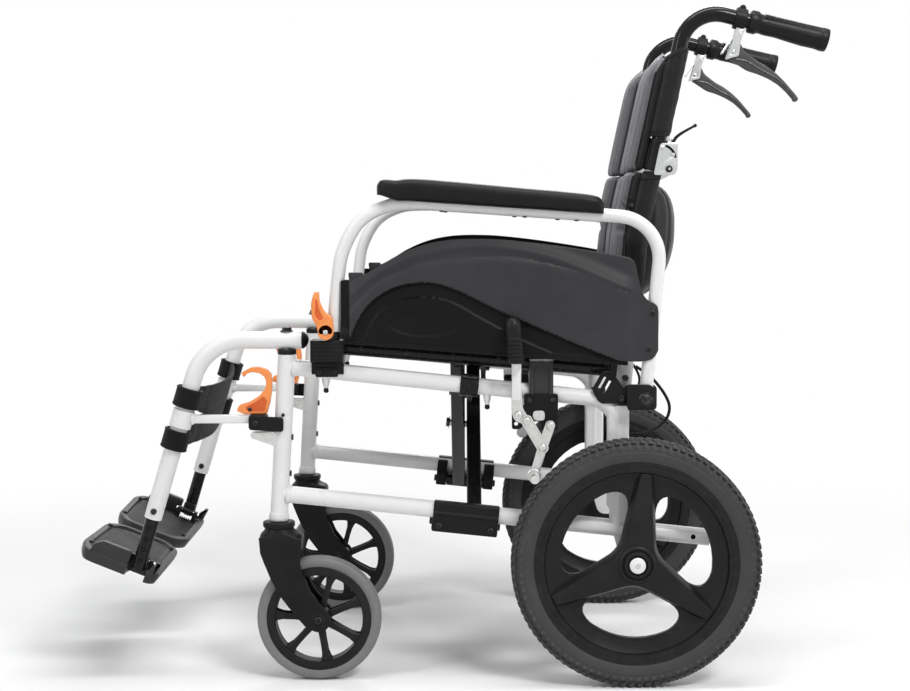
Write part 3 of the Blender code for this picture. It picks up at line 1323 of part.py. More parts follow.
def side_link(s, side):
    """Stabiliser link that turns on the upper rail and runs beside a cross bar."""
    bar_x = BAR_B_X if s == LEFT else BAR_A_X
    x = bar_x + BAR / 2 + LINK_T / 2 + LINK_GAP
    z = upper_z(x)
    owner = body("link_" + side, (x, s * FRAME_Y, z), frame_of(side))
    sleeve_half = 0.013
    start = Vector((x, s * FRAME_Y, z))
    bore = RAIL_R + RUN
    outer = bore + 0.004
    sleeve = ring(start - RAIL_DIR * sleeve_half, start + RAIL_DIR * sleeve_half, outer, bore, 12)
    angle = math.radians(LINK_DROP)
    toward = Vector((0, -s * math.cos(angle), -math.sin(angle)))
    end = start + toward * LINK_LONG
    across = Vector((1, 0, 0))
    lateral = toward.cross(across)
    strap = bar_between(start + toward * (bore + 0.001), end, across, lateral, LINK_T / 2, 0.009)
    eye = rod(end - across * LINK_T / 2, end + across * LINK_T / 2, 0.0105, 12)
    tunnel = rod(start - RAIL_DIR * 0.03, start + RAIL_DIR * 0.03, bore, 12)
    keep(cut(fuse(sleeve, strap, eye), tunnel), "side_link_" + side, owner, "bar_black")


def seat_half(s, side, parent):
    """Half of the padded sling seat, hung on its seat rail."""
    rail = (BRACE_X, s * SEAT_RAIL_Y, seat_z(BRACE_X))
    owner = body("seat_" + side, rail, parent)
    bm = bmesh.new()
    rings = []
    inner = GAP
    outer = SEAT_RAIL_Y + 0.004
    lift = SEAT_RAIL_R + GAP
    columns = 7
    rows = 9
    front = SEAT_FRONT_X - 0.004
    for i in range(rows + 1):
        u = i / rows
        x = front + (SEAT_PAD_REAR - front) * u
        crown = (1 - (2 * u - 1) ** 6)
        upper = []
        lower = []
        for j in range(columns + 1):
            v = j / columns
            y = inner + (outer - inner) * v
            sag = 0.010 * (1 - v)
            puff = SEAT_PAD_T * (0.45 + 0.55 * crown) * (0.75 + 0.25 * math.sin(math.pi * (0.5 + v / 2)))
            channel = 0.0025 * (1 + math.cos(2 * math.pi * 4 * u)) * 0.5
            level = seat_z(x) + lift - sag
            upper.append(bm.verts.new((x, s * y, level + puff - channel)))
            lower.append(bm.verts.new((x, s * y, level)))
        rings.append(lower + upper[::-1])
    bm.faces.new(rings[0][::-1])
    for first, second in zip(rings, rings[1:]):
        bridge(bm, first, second)
    bm.faces.new(rings[-1])
    keep(solid_from(bm), "seat_pad_" + side, owner, "upholstery")


def folding_post_x(z):
    """Centre of the folding upper cane below the handle's bend."""
    foot = cane_x(BACK_JOINT_Z)
    return foot + (HANDLE_CORNER[0] - foot) * (z - BACK_JOINT_Z) / (HANDLE_CORNER[1] - BACK_JOINT_Z)


def swell(value, start, end):
    """A smooth step that is 0 up to start and 1 from end on."""
    t = max(0.0, min(1.0, (value - start) / (end - start)))
    return t * t * (3 - 2 * t)


def spread(low, high, count):
    """Evenly spaced values from low to high."""
    return [low + (high - low) * k / (count - 1) for k in range(count)]


def pad_front(y, z):
    """How far the back pad's front stands before the cane's centre."""
    step = swell(z, BOLSTER_STEP_Z - 0.022, BOLSTER_STEP_Z + 0.022)
    bolster = BOLSTER_LOW + (BOLSTER_TOP - BOLSTER_LOW) * step
    centre = CANE_R + BACK_PAD_CLEAR + BACK_PAD_T
    front = centre + (bolster - centre) * swell(y, BACK_SEAM_Y, BACK_SEAM_Y + 0.035)
    seam = 0.003 * math.exp(-((y - BACK_SEAM_Y) / 0.007) ** 2)
    side = 0.009 * swell(y, CANE_Y - 0.020, CANE_Y + CANE_R)
    return front - seam - side


def pad_rear(y, z):
    """The back pad's rear surface, with the pouch that bulges behind it."""
    rear = CANE_R + BACK_PAD_CLEAR - 0.004 * (1 - swell(y, PAD_REAR_Y - 0.022, PAD_REAR_Y))
    up = max(0.0, min(1.0, (z - POUCH_LOW_Z) / (POUCH_TOP_Z - POUCH_LOW_Z)))
    over = max(0.0, min(1.0, y / POUCH_HALF))
    return rear - POUCH_T * math.sin(math.pi * over) ** 0.5 * math.sin(math.pi * up) ** 0.3


def back_half(s, side, level, parent):
    """A quarter of the padded back, sleeved over its cane and open at the hinge."""
    if level == "lower":
        rows = [(z, True) for z in spread(BACK_PAD_LOW_Z, POUCH_LOW_Z, 3)]
        rows += [(z, True) for z in spread(POUCH_LOW_Z + 0.015, SLEEVE_LOW_TOP_Z, 5)]
        rows += [(z, False) for z in (SLEEVE_LOW_TOP_Z + 0.001, POUCH_TOP_Z, BACK_JOINT_Z - 0.001)]
        tunnel_z = (BACK_PAD_LOW_Z - 0.010, CANE_BEND_Z - 0.020, CANE_BEND_Z + 0.020,
                    SLEEVE_LOW_TOP_Z + 0.004)
        tunnel_r = CANE_R
        centre_x = cane_x
    else:
        rows = [(z, False) for z in (BACK_JOINT_Z + 0.001, SLEEVE_TOP_LOW_Z - 0.001)]
        rows += [(z, True) for z in spread(SLEEVE_TOP_LOW_Z, BACK_PAD_TOP_Z - 0.010, 5)]
        rows += [(BACK_PAD_TOP_Z, True)]
        tunnel_z = (SLEEVE_TOP_LOW_Z - 0.0035, BACK_PAD_TOP_Z + 0.010)
        tunnel_r = HANDLE_R
        centre_x = folding_post_x
    middle = (rows[0][0] + rows[-1][0]) / 2
    owner = body("pad_" + level + "_" + side, (centre_x(middle), s * CANE_Y, middle), parent)
    wrap = CANE_R + SLEEVE_T
    face = CANE_R + BACK_PAD_CLEAR
    fore = [GAP, BACK_SEAM_Y - 0.012, BACK_SEAM_Y]
    fore += spread(BACK_SEAM_Y + 0.014, CANE_Y + 0.008, 5)
    aft = spread(PAD_REAR_Y, GAP, 6)
    bm = bmesh.new()
    rings = []
    for z, wrapped in rows:
        tuck = 0.35 if z == BACK_PAD_LOW_Z else 0.0
        top = z == BACK_PAD_TOP_Z
        section = []
        for y in fore:
            depth = (pad_front(y, z) - face) * (1 - tuck)
            fall = (0.009 + 0.012 * swell(y, 0.165, CANE_Y + wrap)) if top else 0.0
            section.append((y, face + depth * (0.80 if top else 1.0), fall))
        section.append((CANE_Y + wrap, face + 0.006 * (1 - tuck), 0.012 if top else 0.0))
        for k in range(5):
            angle = -math.pi * k / 4
            n = wrap * math.sin(angle) if wrapped else face
            section.append((CANE_Y + wrap * math.cos(angle), n, 0.0))
        section += [(y, pad_rear(y, z) if level == "lower" else face - 0.003, 0.0) for y in aft]
        rings.append([bm.verts.new((centre_x(z) - n, s * y, z - fall)) for y, n, fall in section])
    bm.faces.new(rings[0][::-1])
    for first, second in zip(rings, rings[1:]):
        bridge(bm, first, second)
    bm.faces.new(rings[-1])
    bore = tube([(centre_x(z), s * CANE_Y, z) for z in tunnel_z], tunnel_r + 2 * GAP, 10,
                side=(0, 1, 0))
    keep(cut(solid_from(bm), bore), "back_pad_" + level + "_" + side, owner, "upholstery")


def brake_cable(s, side):
    """Loop of cable from the cane's foot into the rear post."""
    y = s * (CANE_Y + 0.004)
    hole_x = REAR_POST_X + REAR_POST_LONG / 2 + GAP
    route = smooth_route(((cane_x(0.452) + CANE_R + 0.0028, y, 0.4520), (0.2890, y, 0.4360),
                          (0.3080, y + s * 0.004, 0.4120), (0.3150, y + s * 0.006, 0.3920),
                          (0.3080, y + s * 0.008, 0.3730), (0.2900, y + s * 0.012, 0.3610),
                          (0.2720, y + s * 0.0165, 0.3560), (hole_x, y + s * 0.0185, 0.3555)), 2)
    curve = bpy.data.curves.new("cable", "CURVE")
    curve.dimensions = "3D"
    curve.bevel_depth = CABLE_R
    curve.bevel_resolution = 2
    curve.use_fill_caps = True
    spline = curve.splines.new("POLY")
    spline.points.add(len(route) - 1)
    for point, place in zip(spline.points, route):
        point.co = (*place, 1.0)
    line = bpy.data.objects.new("cable", curve)
    bpy.context.scene.collection.objects.link(line)
    graph = bpy.context.evaluated_depsgraph_get()
    graph.update()
    bm = bmesh.new()
    bm.from_mesh(bpy.data.meshes.new_from_object(line.evaluated_get(graph)))
    bmesh.ops.remove_doubles(bm, verts=bm.verts, dist=1e-6)
    bpy.data.objects.remove(line, do_unlink=True)
    keep(solid_from(bm), "brake_cable_" + side, frame_of(side), "cable")


# Assembly, from the left frame through the brace to the right frame
foot_left = Vector((BRACE_X, LEFT * BRACE_HALF, BRACE_PIVOT_Z))
foot_right = Vector((BRACE_X, RIGHT * BRACE_HALF, BRACE_PIVOT_Z))
body("frame_left", (0, 0, 0))
body("brace_a", foot_left, "frame_left")
body("brace_b", (BRACE_X, 0, CENTRE_Z), "brace_a")
body("frame_right", foot_right, "brace_b")

for sign, side_name in SIDES:
    frame = side_frame(sign, side_name)
    keep(frame, "side_frame_" + side_name, frame_of(side_name), "frame_white")
    arm_socket(sign, side_name)
    rear_wheel(sign, side_name)
    caster(sign, side_name)
    back_cane(sign, side_name)
    handle_post(sign, side_name)
    arm(sign, side_name)
    arm_latch(sign, side_name)
    parking_brake(sign, side_name)
    hanger(sign, side_name)
    side_link(sign, side_name)
    brake_cable(sign, side_name)
    back_half(sign, side_name, "lower", frame_of(side_name))
    back_half(sign, side_name, "upper", "back_" + side_name)

cross_bar("a", LEFT, "brace_a")
cross_bar("b", RIGHT, "brace_b")
seat_half(LEFT, "left", "brace_b")
seat_half(RIGHT, "right", "brace_a")
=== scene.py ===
"""Looks of a lightweight folding wheelchair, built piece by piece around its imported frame.

Metres, +Z up. The occupant faces -X and the occupant's left side is -Y.
"""
import math

import bmesh
import bpy
from mathutils import Matrix, Vector
from mathutils.bvhtree import BVHTree


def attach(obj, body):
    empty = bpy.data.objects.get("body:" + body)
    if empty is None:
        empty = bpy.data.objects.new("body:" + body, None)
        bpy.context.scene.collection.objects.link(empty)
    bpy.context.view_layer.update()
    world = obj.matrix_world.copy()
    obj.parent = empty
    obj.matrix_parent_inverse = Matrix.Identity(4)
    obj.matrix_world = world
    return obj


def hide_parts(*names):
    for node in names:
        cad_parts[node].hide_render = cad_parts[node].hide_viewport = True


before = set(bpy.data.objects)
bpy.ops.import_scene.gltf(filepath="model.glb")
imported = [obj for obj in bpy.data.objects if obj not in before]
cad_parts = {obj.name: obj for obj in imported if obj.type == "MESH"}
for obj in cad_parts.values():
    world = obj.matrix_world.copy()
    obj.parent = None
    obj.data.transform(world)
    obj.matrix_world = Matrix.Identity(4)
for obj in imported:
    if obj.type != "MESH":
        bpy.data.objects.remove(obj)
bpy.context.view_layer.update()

SIDES = ((-1, "left"), (1, "right"))
X = Vector((1, 0, 0))
Y = Vector((0, 1, 0))
Z = Vector((0, 0, 1))

# Running gaps between neighbouring pieces
GAP = 0.0003
SLIP = 0.0004

# Side frame
FRAME_Y = 0.216
POST_R = 0.0127
POST_FOOT = (-0.2487, 0.2310)
POST_TOP_Z = 0.4755
POST_LEAN = 0.0576
RAIL_R = 0.0118
RAIL_SLOPE = 0.105
UPPER_RAIL_Z = 0.4558
LOWER_RAIL_Z = 0.2712
RAIL_END_X = 0.3718
REAR_POST_X = 0.2395
REAR_POST_LONG = 0.031
REAR_POST_WIDE = 0.022
WHEEL_X = 0.2625
WHEEL_R = 0.178
WHEEL_Y = 0.256
BRACE_X = 0.0215
BRACE_HALF = 0.196
BRACE_DROP = 0.0205
SEAT_RAIL_Y = 0.197
SEAT_RAIL_R = 0.011
SEAT_FRONT = (-0.1600, 0.4811)
SEAT_REAR_X = 0.2290
SEAT_SLOPE = 0.0841
CANE_R = 0.0115
CANE_Y = 0.1932
CANE_BEND_Z = 0.650
BACK_PIVOT = (0.3114, 0.7348)
BACK_JOINT_Z = 0.7320
HANDLE_R = 0.011
HANDLE_CORNER = (0.3388, 0.9652)
HANDLE_SLOPE = 0.2495
GRIP_START_X = 0.4245
GRIP_END_X = 0.5365
ARM_Y = 0.236
ARM_R = 0.0095
PANEL_Y = ARM_Y + ARM_R + GAP
PANEL_T = 0.010
HANGER_R = 0.0127
HANGER_LOW = (-0.4307, 0.2351)
HANGER_RAKE = 0.303


def post_x(z):
    """Centre of the leaning front post at height z."""
    return POST_FOOT[0] + POST_LEAN * (z - POST_FOOT[1])


def upper_z(x):
    """Centre height of the upper side rail."""
    return UPPER_RAIL_Z - RAIL_SLOPE * (x - POST_FOOT[0])


def lower_z(x):
    """Centre height of the lower side rail."""
    return LOWER_RAIL_Z - RAIL_SLOPE * (x - POST_FOOT[0])


def seat_z(x):
    """Centre height of the seat rail."""
    return SEAT_FRONT[1] - SEAT_SLOPE * (x - SEAT_FRONT[0])


def cane_x(z):
    """Centre of the back cane, which reclines more above its bend."""
    return 0.2443 + 0.096 * (min(z, CANE_BEND_Z) - 0.370) + 0.220 * max(z - CANE_BEND_Z, 0.0)


def upper_cane_x(z):
    """Centre of the folding upper cane below the handle's bend."""
    foot = cane_x(BACK_JOINT_Z)
    return foot + (HANDLE_CORNER[0] - foot) * (z - BACK_JOINT_Z) / (HANDLE_CORNER[1] - BACK_JOINT_Z)


def handle_z(x):
    """Centre height of the push handle behind its bend."""
    return HANDLE_CORNER[1] - HANDLE_SLOPE * (x - HANDLE_CORNER[0])


def hanger_x(z):
    """Centre of the straight lower run of the hanger tube."""
    return HANGER_LOW[0] + HANGER_RAKE * (z - HANGER_LOW[1])


def step_between(value, low, high):
    """A smooth step that is 0 up to low and 1 from high on."""
    t = max(0.0, min(1.0, (value - low) / (high - low)))
    return t * t * (3 - 2 * t)


def through(points, value):
    """The height at value of a line that runs smoothly through (place, height) points."""
    if value <= points[0][0]:
        return points[0][1]
    for k in range(len(points) - 1):
        x0, y0 = points[k]
        x1, y1 = points[k + 1]
        if value <= x1:
            xa, ya = points[max(k - 1, 0)]
            xb, yb = points[min(k + 2, len(points) - 1)]
            t = (value - x0) / (x1 - x0)
            lead = (y1 - ya) / (x1 - xa) * (x1 - x0)
            trail = (yb - y0) / (xb - x0) * (x1 - x0)
            return ((2 * t ** 3 - 3 * t ** 2 + 1) * y0 + (t ** 3 - 2 * t ** 2 + t) * lead
                    + (3 * t ** 2 - 2 * t ** 3) * y1 + (t ** 3 - t ** 2) * trail)
    return points[-1][1]


def spread(low, high, count):
    """Evenly spaced values from low to high."""
    return [low + (high - low) * k / (count - 1) for k in range(count)]


# Shader node groups
def group(name, inputs, outputs):
    """A new shader node group with its named sockets."""
    tree = bpy.data.node_groups.new(name, "ShaderNodeTree")
    for label, kind, value in inputs:
        socket = tree.interface.new_socket(label, in_out="INPUT", socket_type="NodeSocket" + kind)
        if value is not None:
            socket.default_value = value
    for label, kind in outputs:
        tree.interface.new_socket(label, in_out="OUTPUT", socket_type="NodeSocket" + kind)
    return tree, tree.nodes.new("NodeGroupInput"), tree.nodes.new("NodeGroupOutput")


def node(tree, kind, values=(), **settings):
    """Add a node, set its properties and wire or fill its inputs."""
    made = tree.nodes.new(kind)
    for key, value in settings.items():
        setattr(made, key, value)
    for key, value in dict(values).items():
        if isinstance(value, bpy.types.NodeSocket):
            tree.links.new(value, made.inputs[key])
        else:
            made.inputs[key].default_value = value
    return made


def maths(tree, operation, first, second=None, third=None, clamp=False):
    """A Math node's result."""
    values = {0: first}
    if second is not None:
        values[1] = second
    if third is not None:
        values[2] = third
    return node(tree, "ShaderNodeMath", values, operation=operation, use_clamp=clamp).outputs[0]


def mottle_group():
    """Slow uneven patches between two values, for roughness and tint."""
    tree, given, out = group("uneven sheen", (("Vector", "Vector", None), ("Scale", "Float", 30.0),
                                              ("Low", "Float", 0.3), ("High", "Float", 0.5)),
                             (("Value", "Float"), ("Mask", "Float")))
    noise = node(tree, "ShaderNodeTexNoise", {"Vector": given.outputs["Vector"],
                                              "Scale": given.outputs["Scale"],
                                              "Detail": 4.0, "Roughness": 0.6})
    spread_out = node(tree, "ShaderNodeMapRange", {"Value": noise.outputs[0], "From Min": 0.3,
                                                   "From Max": 0.7, "To Min": given.outputs["Low"],
                                                   "To Max": given.outputs["High"]})
    mask = node(tree, "ShaderNodeMapRange", {"Value": noise.outputs[0], "From Min": 0.3, "From Max": 0.7})
    tree.links.new(spread_out.outputs[0], out.inputs["Value"])
    tree.links.new(mask.outputs[0], out.inputs["Mask"])
    return tree


def grain_group():
    """The fine raised grain of moulded plastic, with the faint swell of its skin."""
    tree, given, out = group("moulded grain", (("Vector", "Vector", None), ("Scale", "Float", 900.0),
                                               ("Swell", "Float", 0.15)), (("Height", "Float"),))
    cells = node(tree, "ShaderNodeTexVoronoi", {"Vector": given.outputs["Vector"],
                                                "Scale": given.outputs["Scale"]}, feature="SMOOTH_F1")
    noise = node(tree, "ShaderNodeTexNoise", {"Vector": given.outputs["Vector"], "Scale": 45.0,
                                              "Detail": 2.0})
    swell = maths(tree, "MULTIPLY", noise.outputs[0], given.outputs["Swell"])
    tree.links.new(maths(tree, "ADD", cells.outputs["Distance"], swell), out.inputs["Height"])
    return tree


def wear_group():
    """Where raised edges are rubbed, broken up by noise."""
    tree, given, out = group("rubbed edges", (("Vector", "Vector", None), ("Reach", "Float", 0.54),
                                              ("Amount", "Float", 0.5)), (("Mask", "Float"),))
    shape = node(tree, "ShaderNodeNewGeometry")
    edge = node(tree, "ShaderNodeMapRange", {"Value": shape.outputs["Pointiness"],
                                             "From Min": given.outputs["Reach"], "From Max": 0.62})
    noise = node(tree, "ShaderNodeTexNoise", {"Vector": given.outputs["Vector"], "Scale": 160.0,
                                              "Detail": 5.0})
    broken = node(tree, "ShaderNodeMapRange", {"Value": noise.outputs[0], "From Min": 0.45, "From Max": 0.62})
    both = maths(tree, "MULTIPLY", edge.outputs[0], broken.outputs[0])
    tree.links.new(maths(tree, "MULTIPLY", both, given.outputs["Amount"], clamp=True), out.inputs["Mask"])
    return tree


def dust_group():
    """Fine dust that settles on upward faces and in patches."""
    tree, given, out = group("settled dust", (("Vector", "Vector", None), ("Amount", "Float", 0.1)),
                             (("Mask", "Float"),))
    shape = node(tree, "ShaderNodeNewGeometry")
    parts = node(tree, "ShaderNodeSeparateXYZ", {0: shape.outputs["Normal"]})
    upward = maths(tree, "MULTIPLY_ADD", parts.outputs["Z"], 0.5, 0.5)
    noise = node(tree, "ShaderNodeTexNoise", {"Vector": given.outputs["Vector"], "Scale": 24.0,
                                              "Detail": 6.0})
    patch = node(tree, "ShaderNodeMapRange", {"Value": noise.outputs[0], "From Min": 0.42, "From Max": 0.75})
    both = maths(tree, "MULTIPLY", upward, patch.outputs[0])
    tree.links.new(maths(tree, "MULTIPLY", both, given.outputs["Amount"], clamp=True), out.inputs["Mask"])
    return tree


def herringbone_group():
    """A twill that turns back every few threads, on a piece's own UV map in metres."""
    tree, given, out = group("herringbone weave", (("Vector", "Vector", None), ("Pitch", "Float", 0.0048),
                                                   ("Thread", "Float", 0.0028)),
                             (("Height", "Float"), ("Mask", "Float")))
    parts = node(tree, "ShaderNodeSeparateXYZ", {0: given.outputs["Vector"]})
    across = maths(tree, "DIVIDE", parts.outputs["Y"], given.outputs["Pitch"])
    zigzag = maths(tree, "PINGPONG", across, 1.0)
    along = maths(tree, "DIVIDE", parts.outputs["X"], given.outputs["Thread"])
    slant = maths(tree, "MULTIPLY_ADD", zigzag, 2.4, along)
    wave = maths(tree, "SINE", maths(tree, "MULTIPLY", slant, math.tau))
    thread = maths(tree, "MULTIPLY_ADD", wave, 0.5, 0.5)
    fold = maths(tree, "SMOOTH_MIN", zigzag, maths(tree, "SUBTRACT", 1.0, zigzag), 0.2)
    height = maths(tree, "MULTIPLY_ADD", fold, 0.5, thread)
    tree.links.new(height, out.inputs["Height"])
    tree.links.new(thread, out.inputs["Mask"])
    return tree


def open_mesh_group():
    """Knitted spacer mesh: offset rows of small dark eyes between round threads."""
    tree, given, out = group("spacer mesh", (("Vector", "Vector", None), ("Pitch", "Float", 0.0028)),
                             (("Height", "Float"), ("Mask", "Float")))
    scaled = node(tree, "ShaderNodeVectorMath", {0: given.outputs["Vector"]}, operation="DIVIDE")
    pitch = node(tree, "ShaderNodeCombineXYZ", {0: given.outputs["Pitch"], 1: given.outputs["Pitch"],
                                                2: given.outputs["Pitch"]})
    tree.links.new(pitch.outputs[0], scaled.inputs[1])
    parts = node(tree, "ShaderNodeSeparateXYZ", {0: scaled.outputs[0]})
    waves = []
    for mix in ((1.0, 1.0, 0.0), (1.0, -1.0, 0.0), (0.0, 1.0, 1.0), (0.0, 1.0, -1.0)):
        total = None
        for axis, share in zip("XYZ", mix):
            if share:
                part = maths(tree, "MULTIPLY", parts.outputs[axis], share * math.pi)
                total = part if total is None else maths(tree, "ADD", total, part)
        waves.append(maths(tree, "ABSOLUTE", maths(tree, "SINE", total)))
    flat = maths(tree, "MULTIPLY", waves[0], waves[1])
    upright = maths(tree, "MULTIPLY", waves[2], waves[3])
    eyes = maths(tree, "MAXIMUM", flat, upright)
    mask = node(tree, "ShaderNodeMapRange", {"Value": eyes, "From Min": 0.45, "From Max": 0.8})
    height = maths(tree, "SUBTRACT", 1.0, mask.outputs[0])
    tree.links.new(height, out.inputs["Height"])
    tree.links.new(mask.outputs[0], out.inputs["Mask"])
    return tree


MOTTLE = mottle_group()
GRAIN = grain_group()
WEAR = wear_group()
DUST = dust_group()
HERRINGBONE = herringbone_group()
MESH = open_mesh_group()


def placed(tree, group_tree, values):
    """A node group set into a material, with its own values."""
    made = tree.nodes.new("ShaderNodeGroup")
    made.node_tree = group_tree
    for key, value in values.items():
        if isinstance(value, bpy.types.NodeSocket):
            tree.links.new(value, made.inputs[key])
        else:
            made.inputs[key].default_value = value
    return made


def blend_colours(tree, factor, first, second):
    """One colour laid over another by a mask."""
    mix = tree.nodes.new("ShaderNodeMix")
    mix.data_type = "RGBA"
    tree.links.new(factor, mix.inputs["Factor"])
    for socket, value in ((mix.inputs[6], first), (mix.inputs[7], second)):
        if isinstance(value, bpy.types.NodeSocket):
            tree.links.new(value, socket)
        else:
            socket.default_value = (*value, 1.0)
    return mix.outputs[2]


def finish(name, colour, rough, metal=0.0, tint=None, grain=(900.0, 0.0), wear=None, dust=0.0,
           weave=None, coat=0.0, sheen=0.0, patch=30.0, specular=0.5):
    """A full material: uneven tint and sheen, grain or weave relief, rubbed edges and dust.

    rough is (low, high). weave is (group, values, depth, dark) for cloth.
    """
    mat = bpy.data.materials.new(name)
    mat.use_nodes = True
    tree = mat.node_tree
    shader = tree.nodes["Principled BSDF"]
    shader.inputs["Metallic"].default_value = metal
    shader.inputs["Specular IOR Level"].default_value = specular
    shader.inputs["Coat Weight"].default_value = coat
    shader.inputs["Coat Roughness"].default_value = 0.15
    shader.inputs["Sheen Weight"].default_value = sheen
    shader.inputs["Sheen Roughness"].default_value = 0.4
    place = tree.nodes.new("ShaderNodeTexCoord")
    vector = place.outputs["Object"]
    patches = placed(tree, MOTTLE, {"Vector": vector, "Scale": patch, "Low": rough[0], "High": rough[1]})
    base = blend_colours(tree, patches.outputs["Mask"], colour, tint or [c * 0.88 for c in colour])
    roughness = patches.outputs["Value"]
    if weave:
        pattern, values, depth, dark = weave
        source = place.outputs["UV"] if pattern == HERRINGBONE else vector
        cloth = placed(tree, pattern, {"Vector": source, **values})
        base = blend_colours(tree, cloth.outputs["Mask"], base, dark)
        height = cloth.outputs["Height"]
    else:
        depth = grain[1]
        height = placed(tree, GRAIN, {"Vector": vector, "Scale": grain[0]}).outputs["Height"]
    if wear:
        rubbed = placed(tree, WEAR, {"Vector": vector, "Amount": wear[0]})
        base = blend_colours(tree, rubbed.outputs["Mask"], base, wear[1])
    if dust:
        settled = placed(tree, DUST, {"Vector": vector, "Amount": dust})
        base = blend_colours(tree, settled.outputs["Mask"], base, (0.42, 0.41, 0.39))
        roughness = maths(tree, "MULTIPLY_ADD", settled.outputs["Mask"], 0.4, roughness, clamp=True)
    tree.links.new(base, shader.inputs["Base Color"])
    tree.links.new(roughness, shader.inputs["Roughness"])
    if depth:
        bump = node(tree, "ShaderNodeBump", {"Height": height, "Strength": 1.0, "Distance": depth})
        tree.links.new(bump.outputs[0], shader.inputs["Normal"])
    return mat


MM = 0.001
WHITE_PAINT = finish("satin white paint", (0.755, 0.755, 0.753), (0.26, 0.34), tint=(0.74, 0.742, 0.742),
                     grain=(420.0, 0.015 * MM), wear=(0.12, (0.60, 0.60, 0.60)), coat=0.2, specular=0.4)
BLACK_PLASTIC = finish("black moulded plastic", (0.0075, 0.0075, 0.0080), (0.34, 0.44),
                       tint=(0.011, 0.011, 0.012), grain=(1100.0, 0.05 * MM),
                       wear=(0.35, (0.035, 0.035, 0.038)), dust=0.012, specular=0.12)
GLOSS_BLACK = finish("gloss black paint", (0.0050, 0.0050, 0.0055), (0.16, 0.24), grain=(300.0, 0.015 * MM),
                     wear=(0.2, (0.04, 0.04, 0.04)), coat=0.12, specular=0.15)
MATT_BLACK = finish("matt black powder coat", (0.0060, 0.0060, 0.0065), (0.36, 0.48),
                    grain=(1500.0, 0.06 * MM), wear=(0.3, (0.04, 0.04, 0.04)), dust=0.010, specular=0.13)
PANEL_SKIN = finish("grained charcoal panel", (0.027, 0.027, 0.030), (0.40, 0.48), tint=(0.033, 0.033, 0.036),
                    grain=(950.0, 0.16 * MM), wear=(0.3, (0.075, 0.075, 0.08)), dust=0.012, patch=14.0,
                    specular=0.20)
# Painted shade: a darker smooth plastic laid on the side panel's arch band, the recess it frames, the front
# flange and the shell's back. It stands for the shade that falls there.
PANEL_PAINTED_SHADE = finish("panel band painted shade", (0.0050, 0.0050, 0.0058), (0.38, 0.46),
                     grain=(950.0, 0.06 * MM), dust=0.006, specular=0.11)
RIM_PLASTIC = finish("wheel black", (0.0085, 0.0085, 0.0090), (0.32, 0.42), tint=(0.012, 0.012, 0.013),
                     grain=(1000.0, 0.07 * MM), wear=(0.35, (0.05, 0.05, 0.053)), dust=0.015, specular=0.16)
TYRE_RUBBER = finish("dark tyre rubber", (0.034, 0.034, 0.036), (0.58, 0.70), tint=(0.043, 0.043, 0.045),
                     grain=(700.0, 0.08 * MM), wear=(0.4, (0.095, 0.095, 0.097)), dust=0.03, specular=0.30)
CASTER_RUBBER = finish("grey caster tyre", (0.185, 0.180, 0.182), (0.50, 0.64), tint=(0.160, 0.155, 0.157),
                       grain=(500.0, 0.05 * MM), wear=(0.3, (0.25, 0.245, 0.24)), dust=0.03, specular=0.35)
GRIP_RUBBER = finish("soft black grip", (0.0090, 0.0090, 0.0095), (0.32, 0.42), grain=(1400.0, 0.06 * MM),
                     wear=(0.3, (0.04, 0.04, 0.04)), dust=0.012, specular=0.15)
PAD_SKIN = finish("black arm pad skin", (0.0080, 0.0080, 0.0085), (0.36, 0.46), grain=(520.0, 0.14 * MM),
                  dust=0.012, specular=0.14)
ORANGE = finish("orange lever plastic", (0.86, 0.290, 0.085), (0.34, 0.44), tint=(0.82, 0.265, 0.072),
                grain=(900.0, 0.05 * MM), wear=(0.3, (0.90, 0.42, 0.20)), specular=0.4)
# Painted shade: a darker orange laid on the recessed insets of the orange levers. It stands for the shade in
# those recesses.
ORANGE_PAINTED_SHADE = finish("orange lever recess painted shade", (0.68, 0.125, 0.028), (0.34, 0.44), tint=(0.62, 0.105, 0.022),
                      grain=(900.0, 0.05 * MM), specular=0.35)
PLATE_PLASTIC = finish("charcoal footplate plastic", (0.026, 0.026, 0.027), (0.34, 0.44),
                       tint=(0.032, 0.032, 0.034), grain=(1100.0, 0.06 * MM),
                       wear=(0.35, (0.07, 0.07, 0.073)), dust=0.015, specular=0.22)
ZINC = finish("bright zinc plate", (0.66, 0.66, 0.64), (0.24, 0.40), metal=1.0, tint=(0.54, 0.54, 0.54),
              grain=(600.0, 0.03 * MM), wear=(0.4, (0.78, 0.78, 0.78)), patch=220.0)
STEEL = finish("satin steel plate", (0.60, 0.61, 0.61), (0.26, 0.36), metal=1.0, tint=(0.52, 0.53, 0.54),
               grain=(500.0, 0.02 * MM), patch=90.0)
LEVER_METAL = finish("dark cast lever", (0.075, 0.075, 0.078), (0.34, 0.44), metal=0.70,
                     tint=(0.052, 0.052, 0.055), grain=(900.0, 0.06 * MM), wear=(0.15, (0.16, 0.16, 0.17)),
                     patch=60.0)
BLACK_SCREW = finish("black oxide screw", (0.014, 0.014, 0.015), (0.28, 0.40), metal=0.4,
                     grain=(700.0, 0.02 * MM), wear=(0.5, (0.12, 0.12, 0.12)), specular=0.3)
